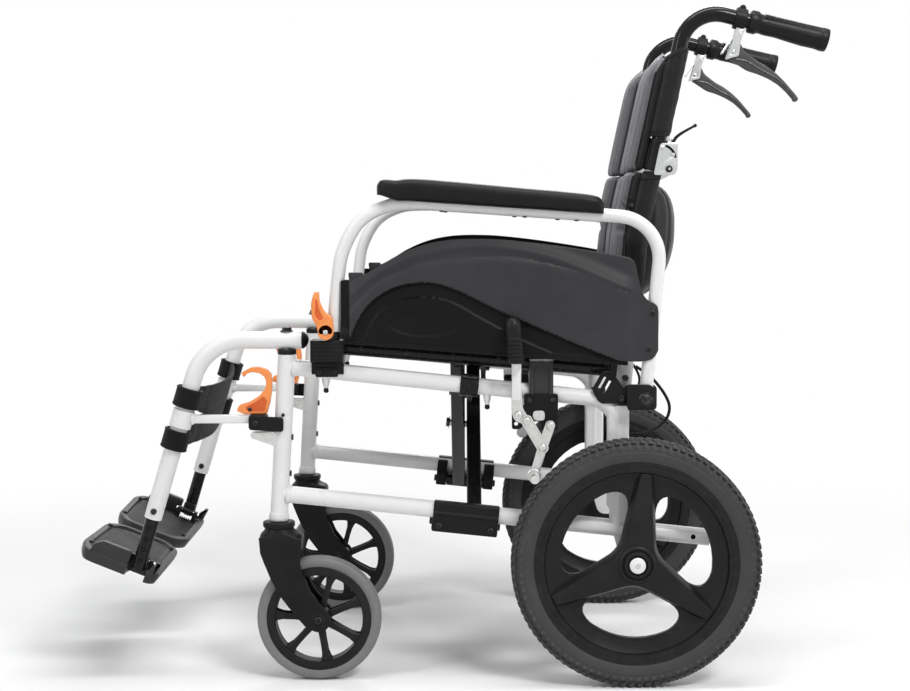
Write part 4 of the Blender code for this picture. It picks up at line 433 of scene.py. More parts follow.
# Painted shade: a near-black sheet, disc or plug set where a bore, slot or hole opens. It stands for the
# shade inside it.
HOLE_PAINTED_SHADE = finish("open bore painted shade", (0.003, 0.003, 0.003), (0.8, 0.9), specular=0.1)
HERRINGBONE_CLOTH = finish("herringbone sleeve", (0.032, 0.032, 0.034), (0.62, 0.76), specular=0.14,
                           weave=(HERRINGBONE, {}, 0.9 * MM, (0.0025, 0.0025, 0.0025)), sheen=0.10)
SPACER_CLOTH = finish("black spacer mesh", (0.014, 0.014, 0.015), (0.70, 0.85), specular=0.12,
                      weave=(MESH, {}, 0.7 * MM, (0.0020, 0.0020, 0.0020)), sheen=0.10)
SATIN_CLOTH = finish("grey satin cloth", (0.046, 0.0435, 0.056), (0.38, 0.50), tint=(0.055, 0.053, 0.066),
                     weave=(MESH, {"Pitch": 0.0009}, 0.10 * MM, (0.037, 0.035, 0.045)), sheen=0.18,
                     patch=60.0, specular=0.35)
SMOOTH_CLOTH = finish("black coated cloth", (0.0065, 0.0065, 0.0072), (0.30, 0.42), grain=(1300.0, 0.05 * MM),
                      sheen=0.05, specular=0.16)
WEBBING = finish("black webbing", (0.0100, 0.0100, 0.0105), (0.58, 0.72), specular=0.12,
                 weave=(HERRINGBONE, {"Pitch": 0.0030, "Thread": 0.0016}, 0.35 * MM,
                        (0.0035, 0.0035, 0.0035)), sheen=0.08)


# Shells
def linked(name, mesh):
    """An object holding a mesh, in the scene."""
    made = bpy.data.objects.new(name, mesh)
    bpy.context.scene.collection.objects.link(made)
    return made


def plain_mesh(made):
    """The evaluated mesh of an object, whose own object then goes."""
    bpy.context.view_layer.update()
    ready = made.evaluated_get(bpy.context.evaluated_depsgraph_get())
    mesh = bpy.data.meshes.new_from_object(ready)
    bpy.data.objects.remove(made)
    return mesh


def as_mesh(bm, name="shell"):
    """A bmesh as plain mesh data."""
    mesh = bpy.data.meshes.new(name)
    bm.to_mesh(mesh)
    bm.free()
    return mesh


def loft(rings, loop=False, caps=(True, True)):
    """A closed skin over rings of as many points each, with a map in metres along and around it."""
    bm = bmesh.new()
    made = [[bm.verts.new(p) for p in ring] for ring in rings]
    follow = bm.loops.layers.uv.new("follow")
    count = len(rings)
    wide = len(rings[0])
    along = [0.0]
    for i in range(count):
        along.append(along[-1] + (Vector(rings[(i + 1) % count][0]) - Vector(rings[i][0])).length)
    middle = rings[count // 2]
    around = [0.0]
    for j in range(wide):
        around.append(around[-1] + (Vector(middle[(j + 1) % wide]) - Vector(middle[j])).length)
    for i in range(count if loop else count - 1):
        first, second = made[i], made[(i + 1) % count]
        for j in range(wide):
            k = (j + 1) % wide
            face = bm.faces.new((first[j], first[k], second[k], second[j]))
            for corner, place in zip(face.loops, ((i, j), (i, j + 1), (i + 1, j + 1), (i + 1, j))):
                corner[follow].uv = (along[place[0]], around[place[1]])
    if not loop:
        if caps[0]:
            bm.faces.new(made[0][::-1])
        if caps[1]:
            bm.faces.new(made[-1])
    bmesh.ops.recalc_face_normals(bm, faces=bm.faces)
    return bm


def circle(radius, steps=36, flat=1.0):
    """A round section as (across, up) offsets."""
    return [(radius * math.cos(math.tau * k / steps), flat * radius * math.sin(math.tau * k / steps))
            for k in range(steps)]


def rounded_box(wide, tall, corner, steps=5):
    """A rectangular section with round corners as (across, up) offsets."""
    points = []
    for sx, sy, start in ((1, 1, 0), (-1, 1, 90), (-1, -1, 180), (1, -1, 270)):
        for k in range(steps + 1):
            turn = math.radians(start + 90 * k / steps)
            points.append((sx * (wide / 2 - corner) + corner * math.cos(turn),
                           sy * (tall / 2 - corner) + corner * math.sin(turn)))
    return points


def swept(points, section, scale=None, side=Y, loop=False):
    """A section carried along a path without twisting. scale gives its size at each share of the way."""
    points = [Vector(p) for p in points]
    count = len(points)
    rings = []
    across = Vector(side)
    for k, point in enumerate(points):
        before = points[k - 1] if k or loop else point
        after = points[(k + 1) % count] if k < count - 1 or loop else point
        run = (after - before).normalized()
        across = (across - run * across.dot(run)).normalized()
        up = run.cross(across)
        size = scale(k / (count - 1)) if scale else 1.0
        rings.append([point + (across * a + up * b) * size for a, b in section])
    return loft(rings, loop)


def bent(corners, radius, step=6.0):
    """Straight runs with their inner corners rounded to a bend radius."""
    corners = [Vector(c) for c in corners]
    path = [corners[0]]
    for before, corner, after in zip(corners, corners[1:], corners[2:]):
        first = (before - corner).normalized()
        second = (after - corner).normalized()
        opening = first.angle(second)
        reach = min(radius / math.tan(opening / 2), (before - corner).length * 0.98,
                    (after - corner).length * 0.98)
        bend = reach * math.tan(opening / 2)
        centre = corner + (first + second).normalized() * (bend / math.sin(opening / 2))
        start = corner + first * reach - centre
        end = corner + second * reach - centre
        steps = max(2, int(math.degrees(math.pi - opening) / step))
        path += [centre + start.slerp(end, k / steps) * bend for k in range(steps + 1)]
    return path + [corners[-1]]


def flowing(points, steps=8):
    """A smooth line through its points."""
    points = [Vector(p) for p in points]
    path = []
    for k in range(len(points) - 1):
        p0, p1, p2 = points[max(k - 1, 0)], points[k], points[k + 1]
        p3 = points[min(k + 2, len(points) - 1)]
        for step in range(steps):
            t = step / steps
            path.append(0.5 * (2 * p1 + (p2 - p0) * t + (2 * p0 - 5 * p1 + 4 * p2 - p3) * t ** 2
                               + (3 * p1 - p0 - 3 * p2 + p3) * t ** 3))
    return path + [points[-1]]


def turned(profile, centre, axis=Y, steps=72, loop=False):
    """A profile of (along, radius) points spun round an axis through a centre."""
    centre = Vector(centre)
    axis = Vector(axis).normalized()
    across = (X if abs(axis.x) < 0.9 else Z).cross(axis).normalized()
    up = axis.cross(across)
    bm = bmesh.new()
    rows = []
    for along, radius in profile:
        middle = centre + axis * along
        if radius < 1e-6:
            rows.append([bm.verts.new(middle)] * steps)
            continue
        rows.append([bm.verts.new(middle + (across * math.cos(math.tau * k / steps)
                                            + up * math.sin(math.tau * k / steps)) * radius)
                     for k in range(steps)])
    pairs = list(zip(rows, rows[1:]))
    if loop:
        pairs.append((rows[-1], rows[0]))
    for first, second in pairs:
        for k in range(steps):
            j = (k + 1) % steps
            corners = []
            for corner in (first[k], first[j], second[j], second[k]):
                if corner not in corners:
                    corners.append(corner)
            if len(corners) > 2:
                bm.faces.new(corners)
    if not loop:
        for row in (rows[0], rows[-1]):
            if row[0] is not row[1]:
                bm.faces.new(row)
    bmesh.ops.recalc_face_normals(bm, faces=bm.faces)
    return bm


def disc_profile(low, high, radius, edge, core=0.0, steps=4):
    """The profile of a disc from low to high along its axis, with rounded rims and an optional bore."""
    profile = [(low, core)]
    for k in range(steps + 1):
        turn = math.radians(90 * k / steps)
        profile.append((low + edge * (1 - math.cos(turn)), radius - edge * (1 - math.sin(turn))))
    for k in range(steps + 1):
        turn = math.radians(90 * k / steps)
        profile.append((high - edge * (1 - math.sin(turn)), radius - edge * (1 - math.cos(turn))))
    profile.append((high, core))
    return profile


def disc(centre, axis, thick, radius, edge=0.0008, core=0.0, steps=48):
    """A round plate, washer, pin or boss that starts at a centre and runs along an axis."""
    return turned(disc_profile(0.0, thick, radius, edge, core), centre, axis, steps, loop=core > 0)


def pin(start, end, radius, edge=0.0008, steps=36):
    """A round pin between two points."""
    run = Vector(end) - Vector(start)
    return disc(start, run, run.length, radius, edge, 0.0, steps)


def soften(bm, width, steps=2, sharp=30.0):
    """Round off every edge sharper than an angle."""
    edges = [e for e in bm.edges if len(e.link_faces) == 2 and e.calc_face_angle(0) > math.radians(sharp)]
    bmesh.ops.bevel(bm, geom=edges, offset=width, offset_type="OFFSET", segments=steps, profile=0.5,
                    affect="EDGES", clamp_overlap=True)
    return bm


def extruded(outline, place, low, high, bevel=0.0008, steps=2):
    """A plate or block: an outline set in space by place(a, b, depth) and given depth from low to high."""
    bm = loft([[place(a, b, low) for a, b in outline], [place(a, b, high) for a, b in outline]])
    return soften(bm, bevel, steps) if bevel else bm


def plate(outline, y_low, y_high, bevel=0.0008, steps=2):
    """A flat piece in the plane of the side frame, from one Y to another."""
    return extruded(outline, lambda a, b, depth: Vector((a, depth, b)), y_low, y_high, bevel, steps)


def pierced(outline, holes, y_low, y_high, bevel=0.0008):
    """A flat piece in the plane of the side frame with openings cut through it."""
    low, high = sorted((y_low, y_high))
    curve = bpy.data.curves.new("outline", "CURVE")
    curve.dimensions = "2D"
    curve.fill_mode = "BOTH"
    for ring in [outline] + holes:
        spline = curve.splines.new("POLY")
        spline.points.add(len(ring) - 1)
        for point, (a, b) in zip(spline.points, ring):
            point.co = (a, b, 0, 1)
        spline.use_cyclic_u = True
    curve.extrude = (high - low) / 2 - bevel
    curve.bevel_depth = bevel
    curve.bevel_resolution = 1
    curve.offset = -bevel
    made = linked("outline", curve)
    mesh = plain_mesh(made)
    bm = bmesh.new()
    bm.from_mesh(mesh)
    bm.transform(Matrix.Translation((0, (low + high) / 2, 0)) @ Matrix.Rotation(math.pi / 2, 4, "X"))
    bmesh.ops.remove_doubles(bm, verts=bm.verts, dist=1e-6)
    bmesh.ops.recalc_face_normals(bm, faces=bm.faces)
    return bm


def round_hole(centre, radius, steps=28):
    """A round opening's outline."""
    return [(centre[0] + radius * math.cos(math.tau * k / steps),
             centre[1] + radius * math.sin(math.tau * k / steps)) for k in range(steps)]


def rounded(outline, radius, steps=4):
    """An outline with each of its corners rounded."""
    points = [Vector((a, b, 0)) for a, b in outline]
    made = []
    for k, corner in enumerate(points):
        before = points[k - 1] - corner
        after = points[(k + 1) % len(points)] - corner
        reach = min(radius, before.length * 0.45, after.length * 0.45)
        start = corner + before.normalized() * reach
        end = corner + after.normalized() * reach
        for step in range(steps + 1):
            t = step / steps
            spot = start * (1 - t) ** 2 + corner * 2 * t * (1 - t) + end * t ** 2
            made.append((spot.x, spot.y))
    return made


def strip(start, end, wide, steps=12):
    """The outline of a flat link with round ends, between two eye centres."""
    run = Vector((end[0] - start[0], end[1] - start[1]))
    lean = math.atan2(run.y, run.x)
    outline = []
    for centre, turn in ((end, lean - math.pi / 2), (start, lean + math.pi / 2)):
        for k in range(steps + 1):
            angle = turn + math.pi * k / steps
            outline.append((centre[0] + wide / 2 * math.cos(angle), centre[1] + wide / 2 * math.sin(angle)))
    return outline


def cut(body, tools):
    """Take closed shells out of another."""
    made = linked("body", as_mesh(body))
    cutters = []
    for tool in tools:
        cutter = linked("tool", as_mesh(tool))
        cutters.append(cutter)
        carve = made.modifiers.new("cut", "BOOLEAN")
        carve.operation = "DIFFERENCE"
        carve.solver = "EXACT"
        carve.object = cutter
    mesh = plain_mesh(made)
    for cutter in cutters:
        bpy.data.objects.remove(cutter)
    bm = bmesh.new()
    bm.from_mesh(mesh)
    return bm


def moulded(shells, voxel=0.0014, passes=6, share=0.5):
    """Several shells run together into one moulding with soft inner corners."""
    joined = bmesh.new()
    for one in shells:
        joined.from_mesh(as_mesh(one))
    made = linked("moulding", as_mesh(joined))
    remesh = made.modifiers.new("run together", "REMESH")
    remesh.mode = "VOXEL"
    remesh.voxel_size = voxel
    soft = made.modifiers.new("soften", "SMOOTH")
    soft.factor = 0.5
    soft.iterations = passes
    thin = made.modifiers.new("thin", "DECIMATE")
    thin.ratio = share
    bm = bmesh.new()
    bm.from_mesh(plain_mesh(made))
    return bm


class Piece:
    """The shells of one piece, each in its own material, gathered into one mesh."""

    def __init__(self, name, smooth=34.0):
        self.name = name
        self.smooth = smooth
        self.bm = bmesh.new()
        self.bm.loops.layers.uv.new("follow")
        self.materials = []

    def add(self, made, mat, pick=None):
        """Add a shell. pick(face) may choose another material for a face."""
        mesh = made if isinstance(made, bpy.types.Mesh) else as_mesh(made)
        if mat not in self.materials:
            self.materials.append(mat)
        start = len(self.bm.faces)
        self.bm.from_mesh(mesh)
        bpy.data.meshes.remove(mesh)
        self.bm.faces.ensure_lookup_table()
        for face in self.bm.faces[start:]:
            face.material_index = self.materials.index(mat)
            face.smooth = True
        if pick:
            for face in self.bm.faces[start:]:
                other = pick(face)
                if other is not None:
                    if other not in self.materials:
                        self.materials.append(other)
                    face.material_index = self.materials.index(other)
        return self

    def heads(self, kind, spots, mat):
        """Add bolt, screw or rivet heads at (point, facing, diameter) spots."""
        return self.add(fasteners(kind, spots, mat), mat)

    def done(self, body, slot, *nodes):
        """Make the object, seat it on its body and let it stand for its CAD nodes."""
        mesh = as_mesh(self.bm, self.name)
        for mat in self.materials:
            mesh.materials.append(mat)
        mesh.set_sharp_from_angle(angle=math.radians(self.smooth))
        made = linked(self.name, mesh)
        if body:
            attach(made, body)
        if nodes:
            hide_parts(*nodes)
        return made


# Geometry Nodes for what repeats
def growing_tree(name, sockets):
    """A geometry tree with a geometry input and output and named inputs."""
    tree = bpy.data.node_groups.new(name, "GeometryNodeTree")
    tree.interface.new_socket("Geometry", in_out="INPUT", socket_type="NodeSocketGeometry")
    tree.interface.new_socket("Geometry", in_out="OUTPUT", socket_type="NodeSocketGeometry")
    for label, kind in sockets:
        tree.interface.new_socket(label, in_out="INPUT", socket_type="NodeSocket" + kind)
    return tree, tree.nodes.new("NodeGroupInput"), tree.nodes.new("NodeGroupOutput")


def end_tree(tree, given, out, instances):
    """Close a tree with real geometry in its material."""
    real = node(tree, "GeometryNodeRealizeInstances", {0: instances})
    painted = node(tree, "GeometryNodeSetMaterial", {"Geometry": real.outputs[0],
                                                     "Material": given.outputs["Material"]})
    tree.links.new(painted.outputs[0], out.inputs[0])
    return tree


def heads_tree():
    """One fastener head on each point, turned to the point's facing and scaled to its size."""
    tree, given, out = growing_tree("fastener heads", (("Head", "Object"), ("Material", "Material")))
    head = node(tree, "GeometryNodeObjectInfo", {"Object": given.outputs["Head"]})
    facing = node(tree, "GeometryNodeInputNamedAttribute", {"Name": "facing"}, data_type="FLOAT_VECTOR")
    size = node(tree, "GeometryNodeInputNamedAttribute", {"Name": "size"}, data_type="FLOAT")
    turn = node(tree, "FunctionNodeAlignRotationToVector", {"Vector": facing.outputs[0]}, axis="Z")
    placed_heads = node(tree, "GeometryNodeInstanceOnPoints",
                        {"Points": given.outputs["Geometry"], "Instance": head.outputs["Geometry"],
                         "Rotation": turn.outputs[0], "Scale": size.outputs[0]})
    return end_tree(tree, given, out, placed_heads.outputs[0])


def ring_tree():
    """Blocks spaced round an axle that runs along Y."""
    tree, given, out = growing_tree("blocks round a wheel", (
        ("Block", "Object"), ("Material", "Material"), ("Count", "Int"), ("Radius", "Float"),
        ("Centre", "Vector"), ("Phase", "Float")))
    points = node(tree, "GeometryNodePoints", {"Count": given.outputs["Count"]})
    index = node(tree, "GeometryNodeInputIndex")
    share = maths(tree, "DIVIDE", index.outputs[0], given.outputs["Count"])
    angle = maths(tree, "MULTIPLY_ADD", share, math.tau, given.outputs["Phase"])
    radius = given.outputs["Radius"]
    place = node(tree, "ShaderNodeCombineXYZ",
                 {0: maths(tree, "MULTIPLY", maths(tree, "COSINE", angle), radius),
                  2: maths(tree, "MULTIPLY", maths(tree, "SINE", angle), radius)})
    moved = node(tree, "ShaderNodeVectorMath", {0: place.outputs[0], 1: given.outputs["Centre"]},
                 operation="ADD")
    seated = node(tree, "GeometryNodeSetPosition",
                  {"Geometry": points.outputs[0], "Position": moved.outputs[0]})
    turn = node(tree, "ShaderNodeCombineXYZ", {1: maths(tree, "MULTIPLY", angle, -1.0)})
    block = node(tree, "GeometryNodeObjectInfo", {"Object": given.outputs["Block"]})
    ring = node(tree, "GeometryNodeInstanceOnPoints",
                {"Points": seated.outputs[0], "Instance": block.outputs["Geometry"],
                 "Rotation": turn.outputs[0]})
    return end_tree(tree, given, out, ring.outputs[0])


def row_tree():
    """The same rib again and again along a line."""
    tree, given, out = growing_tree("ribs in a row", (("Rib", "Object"), ("Material", "Material"),
                                                      ("Count", "Int"), ("Start", "Vector"),
                                                      ("Step", "Vector")))
    line = node(tree, "GeometryNodeMeshLine", {"Count": given.outputs["Count"],
                                               "Start Location": given.outputs["Start"],
                                               "Offset": given.outputs["Step"]}, mode="OFFSET")
    rib = node(tree, "GeometryNodeObjectInfo", {"Object": given.outputs["Rib"]})
    row = node(tree, "GeometryNodeInstanceOnPoints", {"Points": line.outputs[0],
                                                      "Instance": rib.outputs["Geometry"]})
    return end_tree(tree, given, out, row.outputs[0])


def stitch_tree():
    """Stitches laid along a seam line at an even pitch."""
    tree, given, out = growing_tree("stitches", (("Stitch", "Object"), ("Material", "Material"),
                                                 ("Pitch", "Float")))
    seam = node(tree, "GeometryNodeMeshToCurve", {0: given.outputs["Geometry"]})
    spaced = node(tree, "GeometryNodeResampleCurve", {"Curve": seam.outputs[0],
                                                      "Length": given.outputs["Pitch"]}, mode="LENGTH")
    run = node(tree, "GeometryNodeInputTangent")
    turn = node(tree, "FunctionNodeAlignRotationToVector", {"Vector": run.outputs[0]}, axis="X")
    thread = node(tree, "GeometryNodeObjectInfo", {"Object": given.outputs["Stitch"]})
    row = node(tree, "GeometryNodeInstanceOnPoints", {"Points": spaced.outputs[0],
                                                      "Instance": thread.outputs["Geometry"],
                                                      "Rotation": turn.outputs[0]})
    return end_tree(tree, given, out, row.outputs[0])


def grown(tree, base, values):
    """Run a geometry tree on a mesh and keep the result as a plain mesh."""
    made = linked("grown", base)
    modifier = made.modifiers.new("grow", "NODES")
    modifier.node_group = tree
    ids = {item.name: item.identifier for item in tree.interface.items_tree if item.in_out == "INPUT"}
    for label, value in values.items():
        modifier[ids[label]] = value
    return plain_mesh(made)


HEADS_TREE = heads_tree()
RING_TREE = ring_tree()
ROW_TREE = row_tree()
STITCH_TREE = stitch_tree()


def pattern(name, bm):
    """A small shape that a tree repeats. It isn't a piece itself."""
    made = linked(name, as_mesh(bm, name))
    made.data.shade_smooth()
    made.data.set_sharp_from_angle(angle=math.radians(35))
    made.hide_render = True
    return made


def head_shape(kind):
    """A fastener head one metre across, standing on the XY plane."""
    if kind == "hex":
        low = [(0.5 * math.cos(math.tau * k / 6), 0.5 * math.sin(math.tau * k / 6)) for k in range(6)]
        rings = [[Vector((a, b, 0)) for a, b in low], [Vector((a, b, 0.27)) for a, b in low],
                 [Vector((a * 0.88, b * 0.88, 0.33)) for a, b in low]]
        return loft(rings)
    if kind == "rivet":
        return turned([(0, 0), (0, 0.5), (0.10, 0.47), (0.19, 0.36), (0.24, 0.20), (0.25, 0)],
                      (0, 0, 0), Z, 14)
    if kind == "socket":
        return turned([(0, 0), (0, 0.5), (0.28, 0.5), (0.34, 0.42), (0.34, 0.25), (0.16, 0.25), (0.16, 0)],
                      (0, 0, 0), Z, 12)
    return turned([(0, 0), (0, 0.5), (0.16, 0.45), (0.24, 0.28), (0.25, 0.13), (0.14, 0.10), (0.14, 0)],
                  (0, 0, 0), Z, 12)


HEADS = {kind: pattern(kind + "_head", head_shape(kind)) for kind in ("hex", "rivet", "socket", "cross")}


def fasteners(kind, places, mat):
    """Heads of one kind at (point, facing, diameter) places."""
    base = bpy.data.meshes.new("places")
    base.from_pydata([tuple(p) for p, _, _ in places], [], [])
    base.attributes.new("facing", "FLOAT_VECTOR", "POINT")
    base.attributes.new("size", "FLOAT", "POINT")
    for k, (_, way, wide) in enumerate(places):
        base.attributes["facing"].data[k].vector = way
        base.attributes["size"].data[k].value = wide
    return grown(HEADS_TREE, base, {"Head": HEADS[kind], "Material": mat})


def ribs(rib, mat, count, start, step):
    """A row of ribs, the first at start."""
    shape = pattern("rib", rib)
    base = bpy.data.meshes.new("row")
    row = grown(ROW_TREE, base, {"Rib": shape, "Material": mat, "Count": count, "Start": tuple(start),
                                 "Step": tuple(step)})
    bpy.data.objects.remove(shape)
    return row


def blocks_round(block, mat, count, radius, centre, phase=0.0):
    """Blocks evenly round a wheel."""
    shape = pattern("block", block)
    base = bpy.data.meshes.new("ring")
    ring = grown(RING_TREE, base, {"Block": shape, "Material": mat, "Count": count, "Radius": radius,
                                   "Centre": tuple(centre), "Phase": phase})
    bpy.data.objects.remove(shape)
    return ring


def stitched(points, mat, pitch=0.0045, thread=0.0007):
    """A row of stitches along a seam."""
    long = pitch * 0.36
    stitch = loft([[Vector((x, 0, 0))] + [Vector((x, thread * a * k, thread * b * k))
                                          for a, b in ((1, 0), (0, 1))]
                   for x, k in ((-long, 1.0), (0.0, 1.4), (long, 1.0))])
    shape = pattern("stitch", stitch)
    base = bpy.data.meshes.new("seam")
    base.from_pydata([tuple(p) for p in points], [(k, k + 1) for k in range(len(points) - 1)], [])
    row = grown(STITCH_TREE, base, {"Stitch": shape, "Material": mat, "Pitch": pitch})
    bpy.data.objects.remove(shape)
    return row


# Camera and studio
def camera():
    """The photograph's camera, found by fitting the side view."""
    data = bpy.data.cameras.new("camera")
    data.lens = 65.09
    data.sensor_width = 36.0
    data.clip_end = 50.0
    made = linked("camera", data)
    made.location = (0.0183, -2.56265, 0.66934)
    turn = (Matrix.Rotation(0.00524, 4, "Z") @ Matrix.Rotation(math.pi / 2 - 0.07878, 4, "X")
            @ Matrix.Rotation(-0.00254, 4, "Z"))
    made.rotation_euler = turn.to_euler()
    bpy.context.scene.camera = made


def background_rays(tree):
    """A mask that is 1 where the background is looked at, straight or through gloss."""
    rays = tree.nodes.new("ShaderNodeLightPath")
    seen = maths(tree, "MAXIMUM", rays.outputs["Is Camera Ray"], rays.outputs["Is Glossy Ray"])
    return maths(tree, "MAXIMUM", seen, rays.outputs["Is Transmission Ray"])


def studio():
    """A pale floor that runs out to white, a white backdrop and soft lamps."""
    world = bpy.data.worlds.new("studio")
    bpy.context.scene.world = world
    world.use_nodes = True
    tree = world.node_tree
    tree.nodes.clear()
    out = tree.nodes.new("ShaderNodeOutputWorld")
    seen = background_rays(tree)
    white = node(tree, "ShaderNodeBackground", {"Color": (1, 1, 1, 1), "Strength": 1.0})
    soft = node(tree, "ShaderNodeBackground", {"Color": (0.97, 0.985, 1, 1), "Strength": 0.26})
    mixed = node(tree, "ShaderNodeMixShader", {0: seen, 1: soft.outputs[0], 2: white.outputs[0]})
    tree.links.new(mixed.outputs[0], out.inputs[0])

    floor_mat = bpy.data.materials.new("pale floor")
    floor_mat.use_nodes = True
    tree = floor_mat.node_tree
    shader = tree.nodes["Principled BSDF"]
    shader.inputs["Roughness"].default_value = 0.75
    place = tree.nodes.new("ShaderNodeTexCoord")
    noise = placed(tree, MOTTLE, {"Vector": place.outputs["Object"], "Scale": 3.0})
    tree.links.new(blend_colours(tree, noise.outputs["Mask"], (0.86, 0.86, 0.86), (0.84, 0.84, 0.845)),
                   shader.inputs["Base Color"])
    distance = node(tree, "ShaderNodeVectorMath", {0: place.outputs["Object"]}, operation="LENGTH")
    far = node(tree, "ShaderNodeMapRange", {"Value": distance.outputs["Value"], "From Min": 0.75,
                                            "From Max": 1.8}, interpolation_type="SMOOTHSTEP")
    seen = background_rays(tree)
    glow = node(tree, "ShaderNodeEmission", {"Color": (1, 1, 1, 1), "Strength": 1.0})
    blend = node(tree, "ShaderNodeMixShader", {0: maths(tree, "MULTIPLY", far.outputs[0], seen),
                                               1: shader.outputs[0], 2: glow.outputs[0]})
    tree.links.new(blend.outputs[0], tree.nodes["Material Output"].inputs["Surface"])
    floor = turned([(-0.01, 0), (-0.01, 14.0), (-0.0002, 14.0), (-0.0002, 0)], (0, 0, 0), Z, 96)
    floor = linked("floor", as_mesh(floor, "floor"))
    floor.data.materials.append(floor_mat)

    for name, place, aim, wide, tall, power, tint in (
            ("key", (1.5, -2.3, 2.9), (0, 0, 0.45), 1.0, 0.8, 74.0, (1.0, 0.99, 0.975)),
            ("left", (-2.4, -2.0, 1.9), (0.0, 0, 0.5), 0.5, 1.6, 24.0, (0.97, 0.985, 1.0)),
            ("top", (0.1, -0.4, 2.9), (0, 0, 0.4), 2.0, 0.5, 38.0, (1, 1, 1)),
            ("back", (0.2, 2.8, 2.2), (0, 0, 0.6), 2.0, 0.6, 32.0, (1, 1, 1)),
            ("strip", (2.9, -0.3, 1.1), (0, 0, 0.5), 0.3, 1.8, 12.0, (1, 1, 1))):
        lamp = bpy.data.lights.new(name, "AREA")
        lamp.shape = "RECTANGLE"
        lamp.size = wide
        lamp.size_y = tall
        lamp.energy = power
        lamp.color = tint
        made = linked(name + "_lamp", lamp)
        made.location = place
        made.rotation_euler = (Vector(aim) - Vector(place)).to_track_quat("-Z", "Y").to_euler()
    bpy.context.scene.view_settings.view_transform = "Standard"


camera()
studio()


def brake_cable(s, side):
    """The attendant brake's cable: out of the cane's foot, back in a slack loop and in at the wheel."""
    y = s * (CANE_Y + 0.004)
    route = [(cane_x(0.452) + CANE_R + 0.0028, y, 0.4520), (0.2890, y, 0.4360),
             (0.3080, y + s * 0.004, 0.4120), (0.3150, y + s * 0.006, 0.3920),
             (0.3080, y + s * 0.008, 0.3730), (0.2900, y + s * 0.012, 0.3610),
             (0.2720, y + s * 0.0165, 0.3560), (0.2553, y + s * 0.0185, 0.3555)]
    path = flowing(route, 6)
    made = Piece("brake_cable_" + side)
    made.add(swept(path, circle(0.0022, 16), side=X), MATT_BLACK)
    cable = made.done("frame_" + side, "cable", "brake_cable_" + side)


# Side frames
RAIL_DIR = Vector((1, 0, -RAIL_SLOPE)).normalized()


def rail_point(along, y, up):
    """A point given along the lower rail from the brace, and above its centre line."""
    base = Vector((BRACE_X, y, lower_z(BRACE_X)))
    return base + RAIL_DIR * along + Vector((-RAIL_DIR.z, 0, RAIL_DIR.x)) * up


def bead(centre, axis, radius, wide=0.0036):
    """The small flared weld bead where a tube meets its neighbour."""
    return turned([(-wide * 0.4, radius - 0.001), (-wide * 0.4, radius + wide * 0.85),
                   (wide * 0.25, radius + wide * 0.60), (wide * 0.75, radius + wide * 0.22),
                   (wide * 1.3, radius + 0.0001), (wide * 1.3, radius - 0.001)], centre, axis, 40, loop=True)


def welded_frame(piece, s):
    """The painted tubes, posts and plates of one side frame, with their weld beads."""
    y = s * FRAME_Y
    post = [Vector((post_x(z), y, z)) for z in (0.2320, POST_TOP_Z)]
    piece.add(swept(post, circle(POST_R, 48)), WHITE_PAINT)
    start = post_x(UPPER_RAIL_Z)
    front = Vector((start, y, upper_z(start)))
    rear = Vector((REAR_POST_X, y, upper_z(REAR_POST_X)))
    upper = bent([front, rear, Vector((REAR_POST_X, y, lower_z(REAR_POST_X)))], 0.045, 5)
    piece.add(swept(upper, circle(RAIL_R, 44)), WHITE_PAINT)
    start = post_x(LOWER_RAIL_Z)
    lower = [Vector((x, y, lower_z(x))) for x in (start, RAIL_END_X)]
    piece.add(swept(lower, circle(RAIL_R + 0.0004, 44)), WHITE_PAINT)
    # Painted shade: a near-black plug in the lower rail's end stands for the shade inside the open tube.
    piece.add(turned([(0.0002, 0.0), (0.0002, RAIL_R - 0.0018), (-0.004, RAIL_R - 0.0018), (-0.004, 0.0)],
                     lower[1], RAIL_DIR, 32), HOLE_PAINTED_SHADE)
    piece.add(bead(front + Vector((POST_R - 0.001, 0, -0.0013)), RAIL_DIR, RAIL_R), WHITE_PAINT)
    piece.add(bead(lower[0] + Vector((POST_R - 0.001, 0, -0.0013)), RAIL_DIR, RAIL_R + 0.0004), WHITE_PAINT)

    low, top = 0.2235, upper_z(REAR_POST_X) - 0.006
    section = rounded_box(REAR_POST_LONG, REAR_POST_WIDE, 0.005, 5)
    box = loft([[Vector((REAR_POST_X + a, y + b, z + (0.03 * max(0.0, -a / 0.0155) if z == low else 0.0)))
                 for a, b in section] for z in (low, 0.2700, top - 0.0015)]
               + [[Vector((REAR_POST_X + a * 0.93, y + b * 0.9, top)) for a, b in section]])
    piece.add(box, WHITE_PAINT)
    hanger_plate = rounded([(WHEEL_X - 0.032, lower_z(WHEEL_X) + 0.004), (WHEEL_X - 0.015, WHEEL_R - 0.016),
                            (WHEEL_X + 0.015, WHEEL_R - 0.016), (WHEEL_X + 0.032, lower_z(WHEEL_X) - 0.002)],
                           0.012, 6)
    piece.add(plate(hanger_plate, y - 0.004, y + 0.004, 0.0010), WHITE_PAINT)


